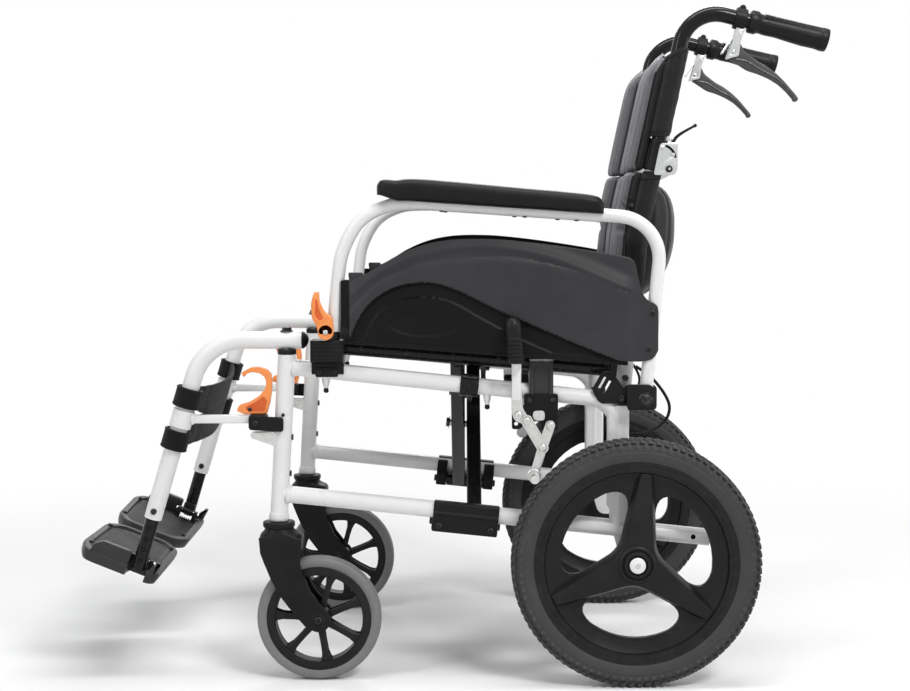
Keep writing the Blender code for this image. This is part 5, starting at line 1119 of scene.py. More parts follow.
def frame_hardware(piece, s):
    """Caps, pins, brackets and heads that are fixed to one side frame."""
    y = s * FRAME_Y
    out = Vector((0, s, 0))
    swing_x = post_x(POST_TOP_Z)
    piece.add(turned(disc_profile(0.4715, 0.4795, POST_R + 0.0008, 0.0022), (swing_x, y, 0), Z, 48),
              BLACK_PLASTIC)
    piece.add(pin((swing_x, y, 0.4760), (swing_x, y, 0.5070), 0.005), ZINC)
    post_foot = Vector((post_x(0.2330), y, 0.2330))
    piece.add(turned([(-0.0004, 0.0), (-0.0004, POST_R + 0.0008), (0.0030, POST_R + 0.0020),
                      (0.0105, POST_R + 0.0006), (0.0120, POST_R - 0.001), (0.0120, 0.0)],
                     post_foot, Z, 48), WHITE_PAINT)

    axle = (WHEEL_X, WHEEL_R)
    piece.add(pin((axle[0], y - s * 0.003, axle[1]), (axle[0], s * 0.282, axle[1]), 0.006), STEEL)
    piece.add(pin((axle[0], y, axle[1]), (axle[0], s * 0.2327, axle[1]), 0.010, 0.0012), WHITE_PAINT)
    piece.add(turned([(0.0003, 0.0), (0.0003, 0.0095), (0.0011, 0.0112), (0.0028, 0.0112), (0.0039, 0.0098),
                      (0.0044, 0.0068), (0.0045, 0.0)], (axle[0], s * 0.279, axle[1]), out, 40), WHITE_PAINT)
    piece.add(turned([(0.0046, 0.0), (0.0046, 0.0042), (0.0040, 0.0050), (0.0040, 0.0)],
                     (axle[0], s * 0.279, axle[1]), out, 24), STEEL)

    kx = post_x(0.3605) - POST_R
    keeper = rounded([(kx - 0.033, 0.3605), (kx + 0.006, 0.3605), (kx + 0.006, 0.3395),
                      (kx - 0.002, 0.3415), (kx - 0.033, 0.3525)], 0.004)
    for side_y in (y - 0.0090, y + 0.0065):
        piece.add(plate(keeper, side_y, side_y + 0.0025, 0.0006), ZINC)
    piece.add(plate([(kx - 0.032, 0.3540), (kx + 0.004, 0.3420), (kx + 0.004, 0.3445), (kx - 0.032, 0.3565)],
                    y - 0.0085, y + 0.0085, 0.0006), ZINC)

    block = [(0.0155, 0.014), (0.0155, -0.030), (-0.004, -0.030), (-0.004, 0.014)]
    outline = rounded([(s * a, b) for a, b in block], 0.004, 4)
    body = extruded(outline, lambda a, b, along: rail_point(along, y + a, b), -0.0472, 0.0472, 0.0020, 3)
    ridge = extruded(rounded([(s * 0.0145, 0.0010), (s * 0.0172, -0.0015), (s * 0.0172, -0.0045),
                              (s * 0.0145, -0.0070)], 0.0015),
                     lambda a, b, along: rail_point(along, y + a, b), -0.0465, 0.0465, 0.0006, 1)
    piece.add(body, BLACK_PLASTIC)
    piece.add(ridge, BLACK_PLASTIC)
    pivot_y = s * BRACE_HALF
    ear = [(y, 0.010), (y, -0.031), (pivot_y - s * 0.010, -0.031), (pivot_y - s * 0.010, -0.010),
           (y - s * 0.010, 0.010)]
    for low, high in ((-0.048, -0.031), (0.031, 0.048)):
        piece.add(extruded(rounded(ear, 0.005, 5), lambda a, b, along: rail_point(along, a, b), low, high,
                           0.0018, 3), BLACK_PLASTIC)
    piece.add(pin(rail_point(-0.044, pivot_y, -BRACE_DROP), rail_point(0.044, pivot_y, -BRACE_DROP),
                  0.0045), ZINC)
    heads = [(rail_point(a, y + s * 0.0155, -0.021), out, 0.0085) for a in (-0.0372, 0.0372)]
    heads += [(rail_point(sign * 0.0478, pivot_y, -BRACE_DROP), RAIL_DIR * sign, 0.011) for sign in (-1, 1)]
    piece.heads("socket", heads, BLACK_SCREW)

    x0, x1 = 0.112, 0.146
    shelf = seat_z(x1) - SEAT_RAIL_R - GAP
    wall = s * (SEAT_RAIL_Y + SEAT_RAIL_R + 0.0015)
    edge = s * (FRAME_Y + RAIL_R + 0.004)
    low = upper_z(0.129) - RAIL_R - 0.003
    inner = s * (FRAME_Y - RAIL_R - 0.003)
    cradle = [(edge, low), (edge, shelf + 0.020), (wall, shelf + 0.020), (wall, shelf),
              (s * (SEAT_RAIL_Y - SEAT_RAIL_R), shelf), (s * (SEAT_RAIL_Y - SEAT_RAIL_R), shelf - 0.006),
              (inner, shelf - 0.010), (inner, low)]
    piece.add(extruded(rounded(cradle, 0.003, 3), lambda a, b, x: Vector((x, a, b)), x0, x1, 0.0015, 2),
              PLATE_PLASTIC)
    window = rounded([(x0 + 0.006, low + 0.006), (x1 - 0.006, low + 0.006), (x1 - 0.006, shelf + 0.012),
                      (x0 + 0.006, shelf + 0.012)], 0.005)
    piece.add(pierced(rounded([(x0 + 0.001, low + 0.001), (x1 - 0.001, low + 0.001),
                               (x1 - 0.001, shelf + 0.019), (x0 + 0.001, shelf + 0.019)], 0.004), [window],
                      edge - s * 0.0005, edge + s * 0.0022, 0.0006), PLATE_PLASTIC)

    lx, lz = 0.09624, 0.3864
    sx, sz = 0.14124, 0.3717
    top = upper_z(0.128)
    outline = rounded([(0.0868, 0.3655), (0.0990, 0.3655), (0.1075, 0.3765), (0.1270, 0.3765),
                       (0.1300, sz - 0.0078), (0.1526, sz - 0.0078), (0.1526, top), (0.1042, top),
                       (0.1042, 0.3985), (0.0868, 0.3985)], 0.0035)
    piece.add(pierced(outline, [round_hole((0.0930, 0.3732), 0.0028)], s * 0.2285, s * 0.2345, 0.0008),
              MATT_BLACK)
    tab = rounded([(0.1167, 0.3781), (0.1337, 0.3781), (0.1337, 0.3924), (0.1167, 0.3924)], 0.0055, 6)
    piece.add(plate(tab, s * 0.2343, s * 0.2370, 0.0008), ZINC)
    for x, z in ((lx, lz), (sx, sz)):
        piece.add(pin((x, s * 0.2305, z), (x, s * 0.2444, z), 0.0035), ZINC)
    piece.heads("cross", [(Vector((x, s * 0.2440, z)), out, 0.0112) for x, z in ((lx, lz), (sx, sz))], ZINC)
    piece.heads("hex", [(Vector((x, s * 0.2345, 0.4075)), out, 0.0085)
                        for x in (lx + 0.0155, sx + 0.004)], BLACK_SCREW)

    x, z = 0.2761, 0.4094
    face = s * (ARM_Y - ARM_R - GAP)
    bracket = rounded([(REAR_POST_X, z - 0.018), (x + 0.018, z - 0.018), (x + 0.018, z + 0.018),
                       (REAR_POST_X + 0.012, z + 0.018), (REAR_POST_X, z + 0.004)], 0.007, 5)
    piece.add(plate(bracket, s * (FRAME_Y - 0.006), face, 0.0016, 3), BLACK_PLASTIC)
    end = s * (ARM_Y + ARM_R + GAP + 0.0040)
    outer = rounded([(0.2491, 0.3953), (0.2894, 0.3953), (0.2894, 0.4240), (0.2820, 0.4307),
                     (0.2491, 0.4307)], 0.006, 5)
    piece.add(plate(outer, end - s * 0.0040, end, 0.0010, 3), BLACK_PLASTIC)
    piece.add(pin((0.2550, face - s * 0.002, 0.4010), (0.2550, end - s * 0.001, 0.4010), 0.004),
              BLACK_PLASTIC)
    piece.add(pin((x, face - s * 0.01, z), (x, end + s * 0.002, z), 0.005), ZINC)
    piece.add(turned([(0.0002, 0.0), (0.0002, 0.0105), (0.0010, 0.0108), (0.0012, 0.0)],
                     (x, end, z), out, 36), BLACK_SCREW)
    piece.heads("hex", [(Vector((x, end + s * 0.0010, z)), out, 0.0150)], BLACK_SCREW)

    anchor = rounded([(0.2006, 0.4210), (0.2150, 0.4470), (0.2290, 0.4485), (0.2520, 0.4160),
                      (0.2520, 0.4016), (0.2120, 0.4016)], 0.006, 5)
    slots = [rounded([(0.2085, 0.4225), (0.2185, 0.4405), (0.2215, 0.4390), (0.2115, 0.4205)], 0.0012),
             rounded([(0.2160, 0.4180), (0.2255, 0.4350), (0.2285, 0.4335), (0.2190, 0.4160)], 0.0012)]
    piece.add(pierced(anchor, slots, s * 0.2270, s * 0.2315, 0.0009), BLACK_PLASTIC)
    piece.add(plate(rounded([(0.2240, 0.4040), (0.2500, 0.4040), (0.2500, 0.4150), (0.2290, 0.4300)], 0.004),
                    s * 0.2200, s * 0.2272, 0.0006), BLACK_PLASTIC)
    piece.heads("hex", [(Vector((0.2428, s * 0.2312, 0.4095)), out, 0.0100)], BLACK_SCREW)
    backs = [(Vector((post_x(z) + POST_R - 0.0006, y, z)), X, 0.0090) for z in (0.3526, 0.3000)]
    piece.heads("hex", backs, BLACK_SCREW)
    piece.heads("socket", [(Vector((post_x(0.3859), y + s * (POST_R - 0.0006), 0.3859)), out, 0.0052)],
                BLACK_SCREW)
    # Painted shade: a dark dome on the rail stands for the shade inside a hole.
    holes = [(Vector((0.3473, y + s * (RAIL_R - 0.0002), lower_z(0.3473))), out, 0.0075)]
    piece.heads("rivet", holes, HOLE_PAINTED_SHADE)
    for px in (-0.179, 0.052):
        z = upper_z(px) - RAIL_R
        piece.add(turned([(0.002, 0.0), (0.002, 0.0055), (-0.004, 0.0055), (-0.013, 0.0030), (-0.014, 0.0)],
                         (px, y, z), Z, 28), ZINC)
        piece.add(turned([(-0.0138, 0.0), (-0.0138, 0.0034), (-0.0185, 0.0038), (-0.0200, 0.0024),
                          (-0.0205, 0.0)], (px, y, z), Z, 24), BLACK_PLASTIC)


def side_frame(s, side):
    """One whole side frame."""
    piece = Piece("side_frame_" + side)
    welded_frame(piece, s)
    frame_hardware(piece, s)
    piece.done("frame_" + side, "frame", "side_frame_" + side)


def arm_socket(s, side):
    """The moulded socket on the upper rail that the arm's front foot stands in."""
    y_out = s * (ARM_Y + ARM_R + 0.004)
    rail = upper_z(-0.1754)
    top = 0.4945 - GAP
    step = s * (SEAT_RAIL_Y + SEAT_RAIL_R + 0.0015)
    section = [(y_out, top), (y_out, rail + 0.016), (s * (FRAME_Y + RAIL_R + 0.004), rail + 0.012),
               (s * (FRAME_Y + RAIL_R + 0.004), rail - 0.004),
               (s * (FRAME_Y - RAIL_R - 0.0035), rail - 0.004),
               (s * (FRAME_Y - RAIL_R - 0.0035), rail + RAIL_R + 0.003), (step, rail + RAIL_R + 0.005),
               (step, top)]
    body = extruded(rounded(section, 0.003, 3), lambda a, b, x: Vector((x, a, b)),
                    -0.1984, -0.1524, 0.0020, 3)
    tunnel = swept([(x, s * FRAME_Y, upper_z(x)) for x in (-0.21, -0.14)], circle(RAIL_R + 0.0002, 48))
    piece = Piece("arm_socket_" + side)
    piece.add(cut(body, [tunnel]), BLACK_PLASTIC)
    px, pz = -0.1760, 0.5060
    face = s * (ARM_Y + ARM_R + GAP + 0.008)
    piece.add(pin((px, s * (ARM_Y + ARM_R + 0.0004), pz), (px, face + s * 0.0010, pz), 0.0025), STEEL)
    out = Vector((0, s, 0))
    piece.heads("cross", [(Vector((px, face + s * 0.0004, pz)), out, 0.0074)], STEEL)
    side_y = s * (FRAME_Y + RAIL_R + 0.004)
    clamp = rounded([(-0.1929, rail + 0.006), (-0.1603, rail + 0.006), (-0.1603, rail - 0.0075),
                     (-0.1929, rail - 0.0075)], 0.003)
    piece.add(plate(clamp, side_y - s * 0.001, side_y + s * 0.0018, 0.0008), BLACK_PLASTIC)
    piece.heads("socket", [(Vector((x, side_y + s * 0.0016, rail - 0.0005)), out, 0.0062)
                           for x in (-0.1875, -0.1655)], BLACK_SCREW)
    ribs_y = y_out
    for z in spread(rail + 0.021, top - 0.004, 5):
        piece.add(plate(rounded([(-0.1960, z - 0.0010), (-0.1548, z - 0.0010), (-0.1548, z + 0.0010),
                                 (-0.1960, z + 0.0010)], 0.0009, 2), ribs_y - s * 0.0006, ribs_y + s * 0.0008,
                        0.0003, 1), BLACK_PLASTIC)
    piece.done("frame_" + side, "black_plastic", "arm_socket_" + side)


def back_cane(s, side):
    """The lower cane, bolted to the rear post, with the eye that the upper cane folds on."""
    y = s * CANE_Y
    piece = Piece("back_cane_" + side)
    line = [Vector((cane_x(z), y, z))
            for z in (0.3702, 0.48, 0.60, 0.635, 0.645, 0.655, 0.665, 0.70, BACK_JOINT_Z)]
    piece.add(swept(line, circle(CANE_R, 44)), WHITE_PAINT)
    piece.add(turned([(-0.0002, 0.0), (-0.0002, CANE_R + 0.0007), (0.010, CANE_R + 0.0007),
                      (0.0115, CANE_R - 0.001), (0.0115, 0.0)], line[0], line[1] - line[0], 40),
              BLACK_PLASTIC)
    x, z = BACK_PIVOT
    ear = rounded([(cane_x(0.716), 0.716), (cane_x(0.731), 0.7318), (x - 0.004, z + 0.0070),
                   (x + 0.003, z + 0.0070), (x + 0.0072, z + 0.002), (x + 0.0060, z - 0.006),
                   (x - 0.004, 0.722)], 0.004, 4)
    piece.add(plate(ear, y - 0.0022, y + 0.0022, 0.0006), STEEL)
    reach = 0.0146 + GAP + 0.0008
    piece.add(pin((x, y - reach, z), (x, y + reach, z), 0.004), STEEL)
    for sign in (-1, 1):
        spot = Vector((x, y + sign * (reach - 0.0008), z))
        piece.heads("hex", [(spot, Y * sign, 0.0095)], BLACK_SCREW)
        piece.add(disc(spot + Y * sign * 0.0026, Y * sign, 0.0006, 0.0022), STEEL)
    sleeve = [Vector((cane_x(z), y, z)) for z in (0.7285, 0.7290, 0.7300, 0.7310, 0.7319)]
    sizes = [CANE_R + 0.0012, CANE_R + 0.0022, CANE_R + 0.0026, CANE_R + 0.0022, CANE_R + 0.0010]
    piece.add(loft([[p + Vector((a * r, b * r, 0)) for a, b in circle(1.0, 40)]
                    for p, r in zip(sleeve, sizes)]), BLACK_PLASTIC)
    bolts = [(Vector((cane_x(z), y + s * (CANE_R - 0.0004), z)), Vector((0, s, 0)), 0.0100)
             for z in (0.392, 0.436)]
    piece.heads("hex", bolts, BLACK_SCREW)
    piece.done("frame_" + side, "frame", "back_cane_" + side)


# Rear wheels
SPOKE_TURNS = [math.radians(84.3 + 120 * k) for k in range(3)]


def tyre(s, side):
    """The pneumatic tyre: smooth walls with moulding lines, shoulder studs and a block tread."""
    centre = (WHEEL_X, s * WHEEL_Y, WHEEL_R)
    profile = [(-0.0148, 0.1455), (-0.0160, 0.1475), (-0.0172, 0.1520), (-0.0180, 0.1575), (-0.0179, 0.1600),
               (-0.0173, 0.1609), (-0.0176, 0.1618), (-0.0168, 0.1660), (-0.0150, 0.1698), (-0.0120, 0.1738),
               (-0.0080, 0.1757), (-0.0040, 0.1765), (0.0, 0.1768)]
    profile += [(-a, r) for a, r in profile[-2::-1]]
    profile += [(0.0120, 0.1442), (0.0, 0.1438), (-0.0120, 0.1442)]
    piece = Piece("rear_tyre_" + side)
    piece.add(turned(profile, centre, Y, 168, loop=True), TYRE_RUBBER)
    block = loft([[Vector((x, a, b)) for a, b in ((0.0046 * k, 0.0036 * k), (0.0012 * k, 0.0044 * k),
                                                  (-0.0046 * k, 0.0012 * k), (-0.0046 * k, -0.0036 * k),
                                                  (-0.0012 * k, -0.0044 * k), (0.0046 * k, -0.0012 * k))]
                  for x, k in ((-0.0030, 1.06), (0.0, 0.94))])
    count = 92
    pitch = math.tau / count
    for across, radius, phase in ((-0.0052, 0.17785, 0.0), (0.0052, 0.17785, 0.5), (-0.0126, 0.1742, 0.5),
                                  (0.0126, 0.1742, 0.0)):
        shape = block.copy()
        shape.transform(Matrix.Rotation(-0.42 * across / 0.0128, 4, "Z") if abs(across) > 0.01
                        else Matrix.Identity(4))
        spot = (centre[0], centre[1] + across, centre[2])
        piece.add(blocks_round(shape, TYRE_RUBBER, count, radius, spot, phase * pitch), TYRE_RUBBER)
    block.free()
    stud = loft([[Vector((x, a, b)) for a, b in ((0.0011, 0.0032 * k), (-0.0011, 0.0030 * k),
                                                 (-0.0011, -0.0030 * k), (0.0011, -0.0032 * k))]
                 for x, k in ((-0.0028, 1.0), (0.0012, 0.80))])
    for sign in (-1, 1):
        spot = (centre[0], centre[1] + sign * 0.0171, centre[2])
        shape = stud.copy()
        shape.transform(Matrix.Rotation(sign * 0.30, 4, "Z"))
        piece.add(blocks_round(shape, TYRE_RUBBER, count, 0.1655, spot, 0.25 * pitch), TYRE_RUBBER)
    stud.free()
    piece.done("wheel_" + side, "tyre", "rear_tyre_" + side)


def wheel_window(turn, centre):
    """The tool that opens one rounded three-sided window in the wheel's disc."""
    first = SPOKE_TURNS[turn]
    second = first + math.tau / 3
    offset, outer = 0.0195, 0.1085
    lines = []
    for angle, sign in ((first, 1), (second, -1)):
        out = Vector((math.cos(angle), math.sin(angle)))
        side = Vector((-out.y, out.x)) * sign
        lines.append((side * offset, out))
    (p, d), (q, e) = lines
    cross = d.x * e.y - d.y * e.x
    apex = p + d * (((q - p).x * e.y - (q - p).y * e.x) / cross)

    def on_arc(point, run):
        """Where a side line meets the outer arc."""
        along = point.dot(run)
        return point + run * (-along + math.sqrt(along * along - point.dot(point) + outer * outer))

    start, end = on_arc(p, d), on_arc(q, e)
    begin = math.atan2(start.y, start.x)
    span = (math.atan2(end.y, end.x) - begin) % math.tau
    arc = [(outer * math.cos(begin + span * k / 14), outer * math.sin(begin + span * k / 14))
           for k in range(15)]
    corners = [tuple(apex)] + arc
    smooth = rounded_by(corners, {0: 0.014, 1: 0.034, 15: 0.034})
    outline = [(centre[0] + a, centre[2] + b) for a, b in smooth]
    low, high = sorted((centre[1] - 0.03, centre[1] + 0.03))
    return loft([[Vector((a, y, b)) for a, b in outline] for y in (low, high)])


def rounded_by(outline, reaches, steps=8):
    """An outline with its named corners rounded, each by its own reach, along its neighbours' line."""
    made = []
    count = len(outline)
    for k, corner in enumerate(outline):
        if k not in reaches:
            near = any(k != j and math.dist(corner, outline[j]) < reach * 0.9 for j, reach in reaches.items())
            if not near:
                made.append(corner)
            continue
        points = []
        for way in (-1, 1):
            left = reaches[k]
            spot, j = Vector(corner), k
            while True:
                j = (j + way) % count
                step = Vector(outline[j]) - spot
                if step.length > left:
                    spot = spot + step.normalized() * left
                    break
                left -= step.length
                spot = Vector(outline[j])
            points.append(spot)
        start, end = points
        corner = Vector(corner)
        for step in range(steps + 1):
            t = step / steps
            made.append(tuple(start * (1 - t) ** 2 + corner * 2 * t * (1 - t) + end * t ** 2))
    return made


def wheel_star(centre, face):
    """The three raised spokes in one: flat faces, steep sides, blunt ends and rounded inner corners."""

    def outline(grow, reach):
        """The star's plan, grown sideways by grow, with its spokes reaching to reach."""
        corners = []
        for angle in SPOKE_TURNS:
            out = Vector((math.cos(angle), math.sin(angle)))
            across = Vector((-out.y, out.x))
            for sign in (-1, 1):
                corners.append(out * reach + across * sign * (0.0068 + grow))
            left = out * 0.0200 + across * (0.0182 + grow)
            other = Matrix.Rotation(math.tau / 3, 2) @ Vector((out * 0.0200 - across * (0.0182 + grow)))
            corners.append((left + other) / 2)
        return rounded_by([tuple(c) for c in corners],
                          {k: (0.0030, 0.0030, 0.0190)[k % 3] for k in range(9)}, 8)

    rings = []
    for grow, reach, drop in ((0.0060, 0.1325, None), (0.0052, 0.1322, 0.0105), (0.0012, 0.1300, 0.0024),
                              (0.0004, 0.1290, 0.0006), (-0.0008, 0.1280, 0.0)):
        ring = []
        for a, b in outline(grow, reach):
            crest = 0.0205 - 0.0075 * step_between(math.hypot(a, b), 0.020, 0.134)
            stand = 0.0010 if drop is None else crest - drop
            ring.append(Vector(centre) + Vector((a, face * stand, b)))
        rings.append(ring)
    return loft(rings)


def rim(s, side):
    """The moulded three-spoke wheel: rim lip, dished band, web with three windows, spokes and hub."""
    centre = (WHEEL_X, s * WHEEL_Y, WHEEL_R)
    piece = Piece("rear_rim_" + side, 28)
    lip = [(-0.0150, 0.1312), (-0.0150, 0.1458), (-0.0138, 0.1468), (-0.0118, 0.1462), (-0.0104, 0.1444),
           (0.0104, 0.1444), (0.0118, 0.1462), (0.0138, 0.1468), (0.0150, 0.1458), (0.0150, 0.1335),
           (0.0143, 0.1318), (0.0120, 0.1306), (0.0096, 0.1296), (0.0058, 0.1200), (0.0042, 0.1135),
           (0.0030, 0.1105), (-0.0030, 0.1105), (-0.0042, 0.1135), (-0.0058, 0.1200), (-0.0105, 0.1290)]
    piece.add(turned(lip, centre, Y, 144, loop=True), RIM_PLASTIC)
    groove = [(0.0149, 0.1352), (0.0155, 0.1356), (0.0158, 0.1364), (0.0155, 0.1372), (0.0149, 0.1376)]
    for sign in (-1, 1):
        piece.add(turned([(sign * a, r) for a, r in groove], centre, Y, 144, loop=True), RIM_PLASTIC)
    web = turned([(-0.0042, 0.0), (-0.0042, 0.1085), (-0.0040, 0.1150), (0.0040, 0.1150), (0.0042, 0.1085),
                  (0.0042, 0.0)], centre, Y, 96)
    web = cut(web, [wheel_window(k, centre) for k in range(3)])
    piece.add(soften(web, 0.0011, 2, 50), RIM_PLASTIC)
    for face in (1, -1):
        piece.add(wheel_star(centre, face), RIM_PLASTIC)
    hub = [(-0.0230, 0.0064), (-0.0230, 0.0150), (-0.0222, 0.0162), (-0.0205, 0.0240), (-0.0190, 0.0262),
           (0.0170, 0.0270), (0.0212, 0.0264), (0.0226, 0.0246), (0.0224, 0.0222), (0.0206, 0.0206),
           (0.0206, 0.0198), (0.0236, 0.0184), (0.0242, 0.0166), (0.0238, 0.0146), (0.0200, 0.0138),
           (0.0190, 0.0064)]
    piece.add(turned([(a * s, r) for a, r in hub], centre, Y, 72, loop=True), RIM_PLASTIC)
    valve = Vector((centre[0] + 0.101 + 0.008, centre[1], centre[2] + 0.050 + 0.004))
    way = Vector((-0.101, 0, -0.050)).normalized()
    piece.add(turned([(0, 0), (0, 0.0042), (0.006, 0.0030), (0.018, 0.0027), (0.0185, 0.0034),
                      (0.0260, 0.0032), (0.0270, 0.0022), (0.0272, 0)], valve + Vector((0.012, 0, 0.006)),
                     way, 24), BLACK_PLASTIC)
    piece.done("wheel_" + side, "rim", "rear_rim_" + side)


# Casters
CASTER = (-0.1912, 0.0900)


def caster_wheel(s, side):
    """A caster: solid grey tyre, black rim, seven ribbed spokes and a hub."""
    centre = (CASTER[0], s * FRAME_Y, CASTER[1])
    piece = Piece("caster_wheel_" + side, 28)
    tread = [(-0.0110, 0.0755), (-0.0128, 0.0785), (-0.0138, 0.0825), (-0.0132, 0.0858), (-0.0112, 0.0882),
             (-0.0070, 0.0896), (0.0, 0.0900)]
    tread += [(-a, r) for a, r in tread[-2::-1]]
    piece.add(turned(tread, centre, Y, 128, loop=True), CASTER_RUBBER)
    band = [(-0.0124, 0.0640), (-0.0124, 0.0735), (-0.0116, 0.0752), (-0.0106, 0.0760), (0.0106, 0.0760),
            (0.0116, 0.0752), (0.0124, 0.0735), (0.0124, 0.0640), (0.0112, 0.0630), (0.0035, 0.0636),
            (-0.0035, 0.0636), (-0.0112, 0.0630)]
    piece.add(turned(band, centre, Y, 112, loop=True), RIM_PLASTIC)
    for k in range(7):
        angle = math.radians(-80.8 + 360 * k / 7)
        out = Vector((math.cos(angle), 0, math.sin(angle)))
        across = Vector((-out.z, 0, out.x))
        rings = []
        for r, half in ((0.0110, 0.0056), (0.0200, 0.0047), (0.0350, 0.0041), (0.0520, 0.0046),
                        (0.0600, 0.0066), (0.0645, 0.0098)):
            section = [(-half, -0.0098), (half, -0.0098), (half, -0.0066), (0.0018, -0.0050),
                       (0.0018, 0.0050), (half, 0.0066), (half, 0.0098), (-half, 0.0098), (-half, 0.0066),
                       (-0.0018, 0.0050), (-0.0018, -0.0050), (-half, -0.0066)]
            rings.append([Vector(centre) + out * r + across * a + Y * b for a, b in section])
        piece.add(soften(loft(rings), 0.0007, 2, 40), RIM_PLASTIC)
        valley = angle + math.pi / 7
        ring = [Vector(centre) + Vector((math.cos(valley + t), 0, math.sin(valley + t))) * 0.0146
                for t in (-0.3, -0.15, 0.0, 0.15, 0.3)]
        piece.add(swept(ring, rounded_box(0.016, 0.0030, 0.0010, 2), side=Y), RIM_PLASTIC)
    hub = [(-0.0150, 0.0044), (-0.0150, 0.0098), (-0.0142, 0.0112), (-0.0118, 0.0140), (0.0118, 0.0140),
           (0.0142, 0.0112), (0.0150, 0.0098), (0.0150, 0.0044)]
    piece.add(turned(hub, centre, Y, 48, loop=True), RIM_PLASTIC)
    piece.done("caster_wheel_" + side, "caster_tyre", "caster_wheel_" + side)


def caster_fork(s, side):
    """The moulded swivel fork: collar, round shoulder and two swept legs run together, with the axle bolt."""
    y = s * FRAME_Y
    ax, az = CASTER
    foot = POST_FOOT[0]
    leg = [(foot - 0.0275, 0.2110), (foot - 0.0262, 0.1985), (foot - 0.0256, 0.1880), (foot - 0.0205, 0.1739),
           (foot - 0.0104, 0.1492), (foot + 0.0015, 0.1263), (foot + 0.0187, 0.1033), (foot + 0.0380, 0.0805)]
    leg += [(ax + 0.0178 * math.cos(math.radians(a)), az + 0.0178 * math.sin(math.radians(a)))
            for a in range(215, 376, 16)]
    leg += [(ax + 0.0148, 0.1010), (foot + 0.0625, 0.1110), (foot + 0.0468, 0.1315), (foot + 0.0349, 0.1597),
            (foot + 0.0318, 0.1710), (foot + 0.0335, 0.1860), (foot + 0.0345, 0.2080)]
    shells = [plate(leg, y + d * 0.0166, y + d * 0.0232, 0.0014) for d in (-1, 1)]
    rings = []
    for z, front, rear, wide, corner in ((0.1860, -0.0245, 0.0315, 0.0460, 0.006),
                                         (0.2000, -0.0262, 0.0335, 0.0474, 0.010),
                                         (0.2090, -0.0272, 0.0350, 0.0478, 0.014),
                                         (0.2130, -0.0262, 0.0330, 0.0460, 0.018),
                                         (0.2165, -0.0225, 0.0260, 0.0440, 0.0215),
                                         (0.2195, -0.0205, 0.0215, 0.0410, 0.0200),
                                         (0.2225, -0.0202, 0.0206, 0.0404, 0.0200)):
        section = rounded_box(rear - front, wide,
                              min(corner, wide / 2 - 0.0002, (rear - front) / 2 - 0.0002), 7)
        rings.append([Vector((foot + (front + rear) / 2 + a, y + b, z)) for a, b in section])
    shells.append(loft(rings))
    piece = Piece("caster_fork_" + side, 50)
    piece.add(moulded(shells, 0.0012, 5, 0.45), BLACK_PLASTIC)
    piece.add(turned([(0.2215, 0.0), (0.2215, 0.0212), (0.2232, 0.0224), (0.2245, 0.0230), (0.2292, 0.0230),
                      (0.2303, 0.0222), (0.2307, 0.0205), (0.2307, 0.0)], (foot, y, 0), Z, 64), BLACK_PLASTIC)
    piece.add(turned([(0.2306, 0.0), (0.2306, 0.0112), (0.2312, 0.0118), (0.2316, 0.0110), (0.2316, 0.0)],
                     (foot, y, 0), Z, 40), ZINC)
    for d in (-1, 1):
        spot = Vector((ax, y + d * 0.0229, az))
        boss = [(-0.002, 0.0066), (0.0012, 0.0108), (0.0019, 0.0100), (0.0019, 0.0068), (-0.0008, 0.0062)]
        piece.add(turned(boss, spot, Y * d, 40, loop=True), BLACK_PLASTIC)
        piece.heads("socket", [(spot - Y * d * 0.0012, Y * d, 0.0112)], BLACK_SCREW)
    piece.add(pin((ax, y - 0.0224, az), (ax, y + 0.0224, az), 0.004), STEEL)
    piece.done("caster_" + side, "black_plastic", "caster_fork_" + side)


# Arms
ARM_TOP = (-0.0371, 0.6872)
ARM_SLOPE = 0.0702
ARM_PIVOT = Vector((0.2761, 0, 0.4094))


def arm_line(x):
    """Centre height of the arm tube's long upper run."""
    return ARM_TOP[1] - ARM_SLOPE * (x - ARM_TOP[0])


def arm_tube(s, side):
    """The arm's bent tube, with its pad screws, end plug and pivot eye."""
    y = s * ARM_Y
    front = flowing([(-0.1672, y, 0.4945), (-0.1592, y, 0.5803), (-0.1505, y, 0.6240), (-0.1255, y, 0.6640),
                     (-0.0840, y, 0.6845), (ARM_TOP[0], y, ARM_TOP[1])], 7)
    rear = bent([(ARM_TOP[0], y, ARM_TOP[1]), (0.3001, y, arm_line(0.3001)),
                 (ARM_PIVOT.x, y, ARM_PIVOT.z)], 0.060, 5)
    piece = Piece("arm_tube_" + side)
    piece.add(swept(front + rear[1:], circle(ARM_R, 40)), WHITE_PAINT)
    eye = [(-0.0118, 0.0052), (-0.0118, 0.0116), (-0.0108, 0.0125), (0.0108, 0.0125), (0.0118, 0.0116),
           (0.0118, 0.0052)]
    eye = [(a * ARM_R / 0.0118, r) for a, r in eye]
    piece.add(turned(eye, (ARM_PIVOT.x, y, ARM_PIVOT.z), Y, 48, loop=True), WHITE_PAINT)
    piece.add(turned([(-0.001, 0.0), (-0.001, ARM_R + 0.0008), (0.0115, ARM_R + 0.0008),
                      (0.0128, ARM_R - 0.001), (0.0128, 0.0)], front[0], front[1] - front[0], 36),
              BLACK_PLASTIC)
    out = Vector((0, s, 0))
    under = [(Vector((x, y, arm_line(x) - ARM_R + 0.0004)), -Z, 0.0080) for x in (-0.012, 0.105, 0.178)]
    piece.heads("cross", under, BLACK_SCREW)
    stop = Vector((0.2885, y, 0.5260))
    piece.heads("rivet", [(stop + out * (ARM_R - 0.0004), out, 0.0060)], BLACK_SCREW)
    piece.done("arm_" + side, "frame", "arm_tube_" + side)


